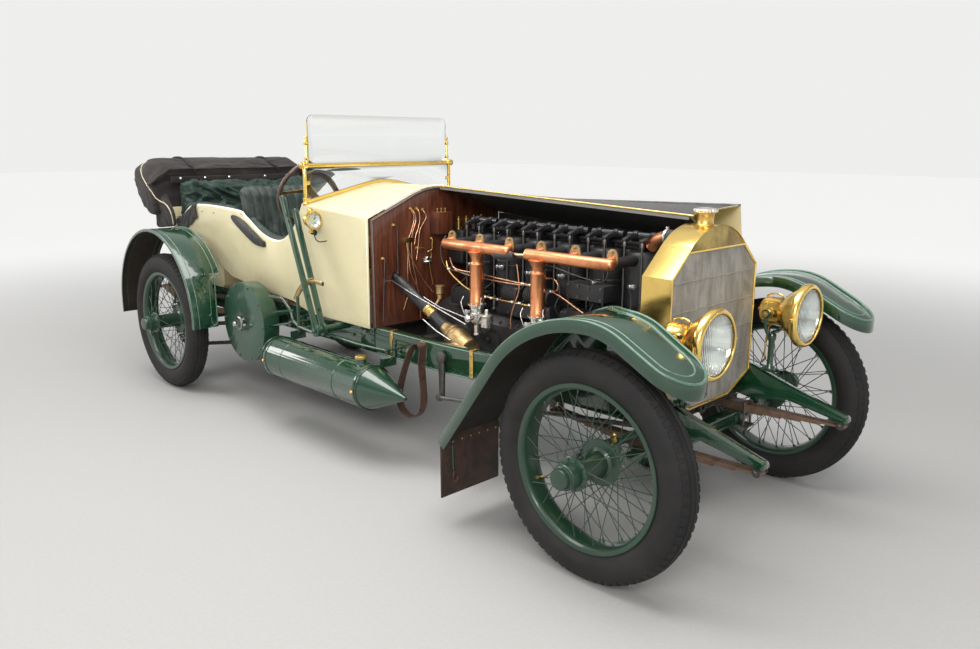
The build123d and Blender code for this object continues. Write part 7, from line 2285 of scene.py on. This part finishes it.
def bonnet_side(shape, outer, inner, mark=0):
    """Right side sheet, cut away in front where the fender's valance rises."""
    rings = []
    for x, foot in ((1913, 670), (2160, 670), (2430, 670), (2700, 670), (3004, 670), (3059, 719), (3114, 768),
            (3180, 823), (3246, 878), (3365, 908.5), (3484, 938.7)):
        half, shoulder = bonnet_line(x)[1:]
        y = -half - 1
        top = shoulder - 10.2
        rings.append([(x, y + outer, foot), (x, y + outer, (foot + top) / 2), (x, y + outer, top), (x, y + inner, top),
            (x, y + inner, (foot + top) / 2), (x, y + inner, foot)])
    return shape.rings(rings, mark)


def knuckled(shape, start, end, radius, pitch=52.0, mark=0):
    """A hinge of brass knuckles on one pin."""
    start, end = Vector(start), Vector(end)
    run = (end - start).length
    count = max(2, round(run / pitch))
    profile = [(0, 0)]
    for i in range(count):
        a, b = run * i / count, run * (i + 1) / count
        profile += [(radius, a + 0.3), (radius, b - 0.5), (radius - 1.1, b - 0.4), (radius - 1.1, b + 0.2)]
    profile += [(0, run)]
    return shape.lathe(start, end - start, profile, mark, 12)


def turned_about(start, end, degrees):
    start, end = Vector(start), Vector(end)
    return Matrix.Translation(start) @ Matrix.Rotation(radians(degrees), 4, end - start) @ Matrix.Translation(-start)


def bonnet_beads(sheet):
    """Pressed beads along the free edges of the top sheet's outer face."""
    for x in (BONNET_BACK + 6, BONNET_FRONT - 6):
        apex, half, shoulder = bonnet_line(x)
        sheet.tube([(x, -12, apex - 1.2), (x, -half * 0.5, (apex + shoulder) / 2 - 1.2),
            (x, -half + 8, shoulder + 1.2)], 1.9, sides=8)
    return sheet


def side_fittings(metal):
    """A lifting handle and two turn catches on the side sheet."""
    for x, z in ((2330, 1020), (2960, 990)):
        y = -bonnet_line(x)[1] - 1
        metal.tube(rounded_line([(x - 46, y, z), (x - 46, y - 26, z), (x + 46, y - 26, z), (x + 46, y, z)], [12, 12],
            5), 4.4, sides=10)
        for end in (-46, 46):
            metal.lathe((x + end, y, z), (0, -1, 0), [(0, 0), (11, 0), (11, 2), (6, 4), (0, 4)], steps=16)
    for x in (2050, 2860):
        y = -bonnet_line(x)[1] - 1
        metal.lathe((x, y, 704), (0, -1, 0), [(0, 0), (15, 0), (15, 3), (9, 5), (9, 12), (0, 13)], steps=20)
        metal.slab([(x - 5, y - 9, 696), (x + 5, y - 9, 696), (x + 3, y - 9, 674), (x - 3, y - 9, 674)], (0, -4, 0))
    return metal


CENTRE = ((1913, 0, bonnet_line(1913)[0] + 4), (3484, 0, bonnet_line(3484)[0] + 4))
SHOULDER = tuple((x, -bonnet_line(x)[1] - 1, bonnet_line(x)[2] - 4) for x in (1913, 3484))
bonnet_dark = coach_paint("bonnet_inside", (0.030, 0.030, 0.030), 0.46, 0.15, dust=0.3)
hinge_brass = bare_metal("hinge_brass", (0.86, 0.62, 0.22), 0.28, (0.42, 0.28, 0.10), 20.0, 0.5)
leaf_grey = coach_paint("leaf_grey", (0.20, 0.20, 0.19), 0.36, 0.3, dust=0.25)
fold_top = turned_about(*CENTRE, -209)
fold_side = fold_top @ turned_about(*SHOULDER, -150)

top_outer, top_inner = bonnet_beads(bonnet_top(Shape(), 0.1, 1.7)), bonnet_top(Shape(), 1.8, 3.0)
side_outer, side_inner = bonnet_side(Shape(), 0.1, 1.7), bonnet_side(Shape(), 1.8, 3.0)
shoulder_hinge = knuckled(Shape(), SHOULDER[0], SHOULDER[1], 5.6)
fittings = side_fittings(Shape())

left = Shape().join(top_outer).join(side_outer).mirrored()
left.make("bonnet_left_sheets", cream_paint, "bonnet_left", sharp=20)
Shape().join(top_inner).join(side_inner).mirrored().make("bonnet_left_lining", bonnet_dark, sharp=20)
shoulder_hinge.mirrored().make("bonnet_left_hinge", dark_steel, sharp=30)
hinges = Shape()
knuckled(hinges, (1904, 0, bonnet_line(1904)[0] + 4), (3504, 0, bonnet_line(3504)[0] + 4), 4.4)
hinges.make("bonnet_hinges", hinge_brass, sharp=30)
leaf = Shape().slab([(1915, -1, bonnet_line(1915)[0] - 1), (3482, -1, bonnet_line(3482)[0] - 1),
    (3482, -1, bonnet_line(3482)[0] - 15), (1915, -1, bonnet_line(1915)[0] - 15)], (0, 2.4, 0))
leaf.slab([(1915, 1, bonnet_line(1915)[0] - 4.2), (3482, 1, bonnet_line(3482)[0] - 4.2),
    (3482, 26, bonnet_line(3482)[0] - 12.2), (1915, 26, bonnet_line(1915)[0] - 12.2)], (0, 0, -1.6))
for k in range(24):
    x = 1950 + 65 * k
    leaf.dome((x, -1, bonnet_line(x)[0] - 9.5), (0, -1, 0), 2.2)
leaf.make("bonnet_hinge_leaf", leaf_grey, sharp=34)
fittings.mirrored().make("bonnet_left_fittings", old_brass, sharp=34)

TOP_BODY, SIDE_BODY = "bonnet_right_top", "bonnet_right_side"
top_outer.moved(fold_top).make("bonnet_top_sheet", cream_paint, "bonnet_right_top", body=TOP_BODY, sharp=20)
top_inner.moved(fold_top).make("bonnet_top_lining", bonnet_dark, body=TOP_BODY, sharp=20)
shoulder_hinge.moved(fold_top).make("bonnet_top_hinge", dark_steel, body=TOP_BODY, sharp=30)
side_outer.moved(fold_side).make("bonnet_side_sheet", cream_paint, "bonnet_right_side", body=SIDE_BODY, sharp=20)
side_inner.moved(fold_side).make("bonnet_side_lining", bonnet_dark, body=SIDE_BODY, sharp=20)
fittings.moved(fold_side).make("bonnet_side_fittings", old_brass, body=SIDE_BODY, sharp=34)


# Nodes kept from the CAD

KEPT = {
    "frame_rail_left": green_paint, "frame_rail_right": green_paint, "cross_members": chassis_black,
    "front_axle": green_paint, "front_springs": spring_brown, "rear_axle": chassis_black, "rear_springs": spring_brown,
    "gearbox": chassis_black, "drive_chains": chain_steel, "chain_guards": guard_green, "crankcase": engine_black,
    "cylinders": engine_black, "valve_gear": engine_black, "intake_manifolds": copper, "carburettors": nickel,
    "exhaust": chassis_black, "steering_gear": bronze, "radiator_shell": brass, "radiator_core": core_metal,
    "bulkhead": mahogany, "cowl": cream_paint, "body_side_left": cream_paint, "body_side_right": cream_paint,
    "body_rear": cream_paint, "floor": boards, "front_seat": seat_leather, "rear_seat": seat_leather,
    "folded_hood": hood_black, "windscreen_frame": brass, "windscreen_glass": glass, "hand_levers": guard_green,
    "lamp_shells": brass, "lamp_lenses": glass, "lamp_brackets": green_paint, "front_fender_left": green_paint,
    "front_fender_right": green_paint, "rear_fender_left": green_paint, "rear_fender_right": green_paint,
    "mudflaps": flap_leather, "side_tank": green_paint, "fuel_tank": green_paint, "bonnet_left": cream_paint,
    "bonnet_strap": strap_leather, "bonnet_right_top": dark_steel, "bonnet_right_side": dark_steel,
    "steering_wheel": wheel_wood, "pitman_arm": dark_steel, "drag_link": dark_steel, "tie_rod": dark_steel,
    "knuckle_left": guard_green, "knuckle_right": guard_green,
}
for place in ("front_left", "front_right", "rear_left", "rear_right"):
    KEPT["tyre_" + place] = rubber
    KEPT["wheel_" + place] = wheel_green


def undersides(node, back_height):
    """Gives the faces of a fender that look down or at the wheel a matt dark finish, painted shade under the fender."""
    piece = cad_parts[node]
    piece.data.materials.append(painted_underside_shade)
    front = node.startswith("front")
    for polygon in piece.data.polygons:
        centre = polygon.center
        hub = Vector(((3570 if front else 15) - MIDDLE, 0, WHEEL_HEIGHT)) / 1000
        inward = Vector((hub.x - centre.x, 0, hub.z - centre.z)).normalized()
        if polygon.normal.dot(inward) > 0.5 or (abs(polygon.normal.y) > 0.7 and polygon.normal.y * centre.y < 0
                and abs(centre.y) > back_height):
            polygon.material_index = 1


# Matt dark finish for the fenders' faces that look down, at the wheel or inwards: painted shade under the fenders.
painted_underside_shade = cast_black("painted_underside_shade", (0.020, 0.015, 0.011), 0.85, oil=0.1, rust=0.3)
for node, finish in KEPT.items():
    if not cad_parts[node].hide_render:
        dress(node, finish)
for side in ("left", "right"):
    undersides("front_fender_" + side, 0.79)
    undersides("rear_fender_" + side, 0.79)


# Camera, light and floor

def studio():
    scene = bpy.context.scene
    scene.view_settings.view_transform = "Standard"
    eye = (3.6745, -3.034, 1.633)
    yaw, pitch, roll = radians(45.20), radians(12.55), radians(0.21)
    ahead = Vector((-sin(yaw) * cos(pitch), cos(yaw) * cos(pitch), -sin(pitch)))
    right = Vector((cos(yaw), sin(yaw), 0))
    up = right.cross(ahead)
    right, up = right * cos(roll) + up * sin(roll), up * cos(roll) - right * sin(roll)
    lens = bpy.data.cameras.new("photo_camera")
    lens.lens = 30.45
    lens.sensor_width = 36
    lens.clip_start, lens.clip_end = 0.05, 200
    camera = bpy.data.objects.new("photo_camera", lens)
    camera.matrix_world = Matrix.Translation(eye) @ Matrix((right, up, -ahead)).transposed().to_4x4()
    scene.collection.objects.link(camera)
    scene.camera = camera

    def lamp(name, spot, target, size, power, colour=(1.0, 0.98, 0.95)):
        data = bpy.data.lights.new(name, "AREA")
        data.shape = "RECTANGLE"
        data.size, data.size_y = size
        data.energy = power
        data.color = colour
        light = bpy.data.objects.new(name, data)
        light.location = spot
        light.rotation_mode = "QUATERNION"
        light.rotation_quaternion = (Vector(target) - Vector(spot)).to_track_quat("-Z", "Y")
        scene.collection.objects.link(light)
    lamp("ceiling_lamp", (0.6, -1.2, 5.6), (0.2, 0.0, 0.4), (6.0, 3.0), 330)
    lamp("camera_side_lamp", (4.6, -5.4, 4.0), (0.6, 0.0, 0.6), (3.5, 2.2), 250)
    lamp("rear_side_lamp", (-4.5, -4.2, 3.6), (-0.6, 0.0, 0.7), (2.5, 2.0), 120)

    world = bpy.data.worlds.new("room")
    scene.world = world
    world.use_nodes = True
    tree = world.node_tree
    tree.nodes.clear()
    output = tree.nodes.new("ShaderNodeOutputWorld")
    room, plain, blend = (tree.nodes.new(kind) for kind in ("ShaderNodeBackground", "ShaderNodeBackground",
        "ShaderNodeMixShader"))
    path = tree.nodes.new("ShaderNodeLightPath")
    place = tree.nodes.new("ShaderNodeTexCoord")
    split = tree.nodes.new("ShaderNodeSeparateXYZ")
    half = tree.nodes.new("ShaderNodeMath")
    half.operation = "MULTIPLY_ADD"
    half.inputs[1].default_value = half.inputs[2].default_value = 0.5
    link = tree.links.new

    def by_height(stops):
        """Brightness from below the floor (0) over the horizon (0.5) to overhead (1)."""
        ramp = tree.nodes.new("ShaderNodeValToRGB")
        while len(ramp.color_ramp.elements) < len(stops):
            ramp.color_ramp.elements.new(1.0)
        for element, (position, value) in zip(ramp.color_ramp.elements, stops):
            element.position = position
            element.color = (value, value, value * 0.99, 1)
        link(half.outputs[0], ramp.inputs[0])
        return ramp
    lit = by_height([(0.0, 0.26), (0.48, 0.24), (0.52, 0.09), (0.60, 0.15), (0.72, 0.37), (0.86, 0.70), (1.0, 0.68)])
    backdrop = by_height([(0.0, 0.30), (0.44, 0.86), (0.60, 0.86), (0.67, 0.30), (0.74, 0.40), (0.86, 0.82),
        (1.0, 0.80)])
    link(place.outputs["Generated"], split.inputs[0])
    link(split.outputs["Z"], half.inputs[0])
    link(lit.outputs[0], room.inputs[0])
    link(backdrop.outputs[0], plain.inputs[0])
    plain.inputs[1].default_value = 1.0
    seen = path.outputs["Is Camera Ray"]
    for kind in ("Is Glossy Ray", "Is Transmission Ray"):
        either = tree.nodes.new("ShaderNodeMath")
        either.operation = "MAXIMUM"
        link(seen, either.inputs[0])
        link(path.outputs[kind], either.inputs[1])
        seen = either.outputs[0]
    link(seen, blend.inputs[0])
    link(room.outputs[0], blend.inputs[1])
    link(plain.outputs[0], blend.inputs[2])
    link(blend.outputs[0], output.inputs[0])

    ground = Finish("pale_floor", Base_Color=(0.52, 0.51, 0.50), Roughness=0.62, Emission_Strength=1.0)
    deep, across = ground.axes()[:2]
    far = ((deep * deep + across * across) ** 0.5).step(2.6, 10.0)
    ground.give(Base_Color=ground.mix(ground.cloud(60.0, 3.0), (0.38, 0.38, 0.38), (0.43, 0.43, 0.425)),
        Emission_Color=ground.mix(far, (0.0, 0.0, 0.0), (0.61, 0.61, 0.60)))
    floor = Shape().slab([(-40000, -40000, -40), (40000, -40000, -40), (40000, 40000, -40), (-40000, 40000, -40)],
        (0, 0, 39))
    plane = bpy.data.objects.new("studio_floor", floor.mesh("studio_floor"))
    plane.data.materials.append(ground.material)
    scene.collection.objects.link(plane)


studio()
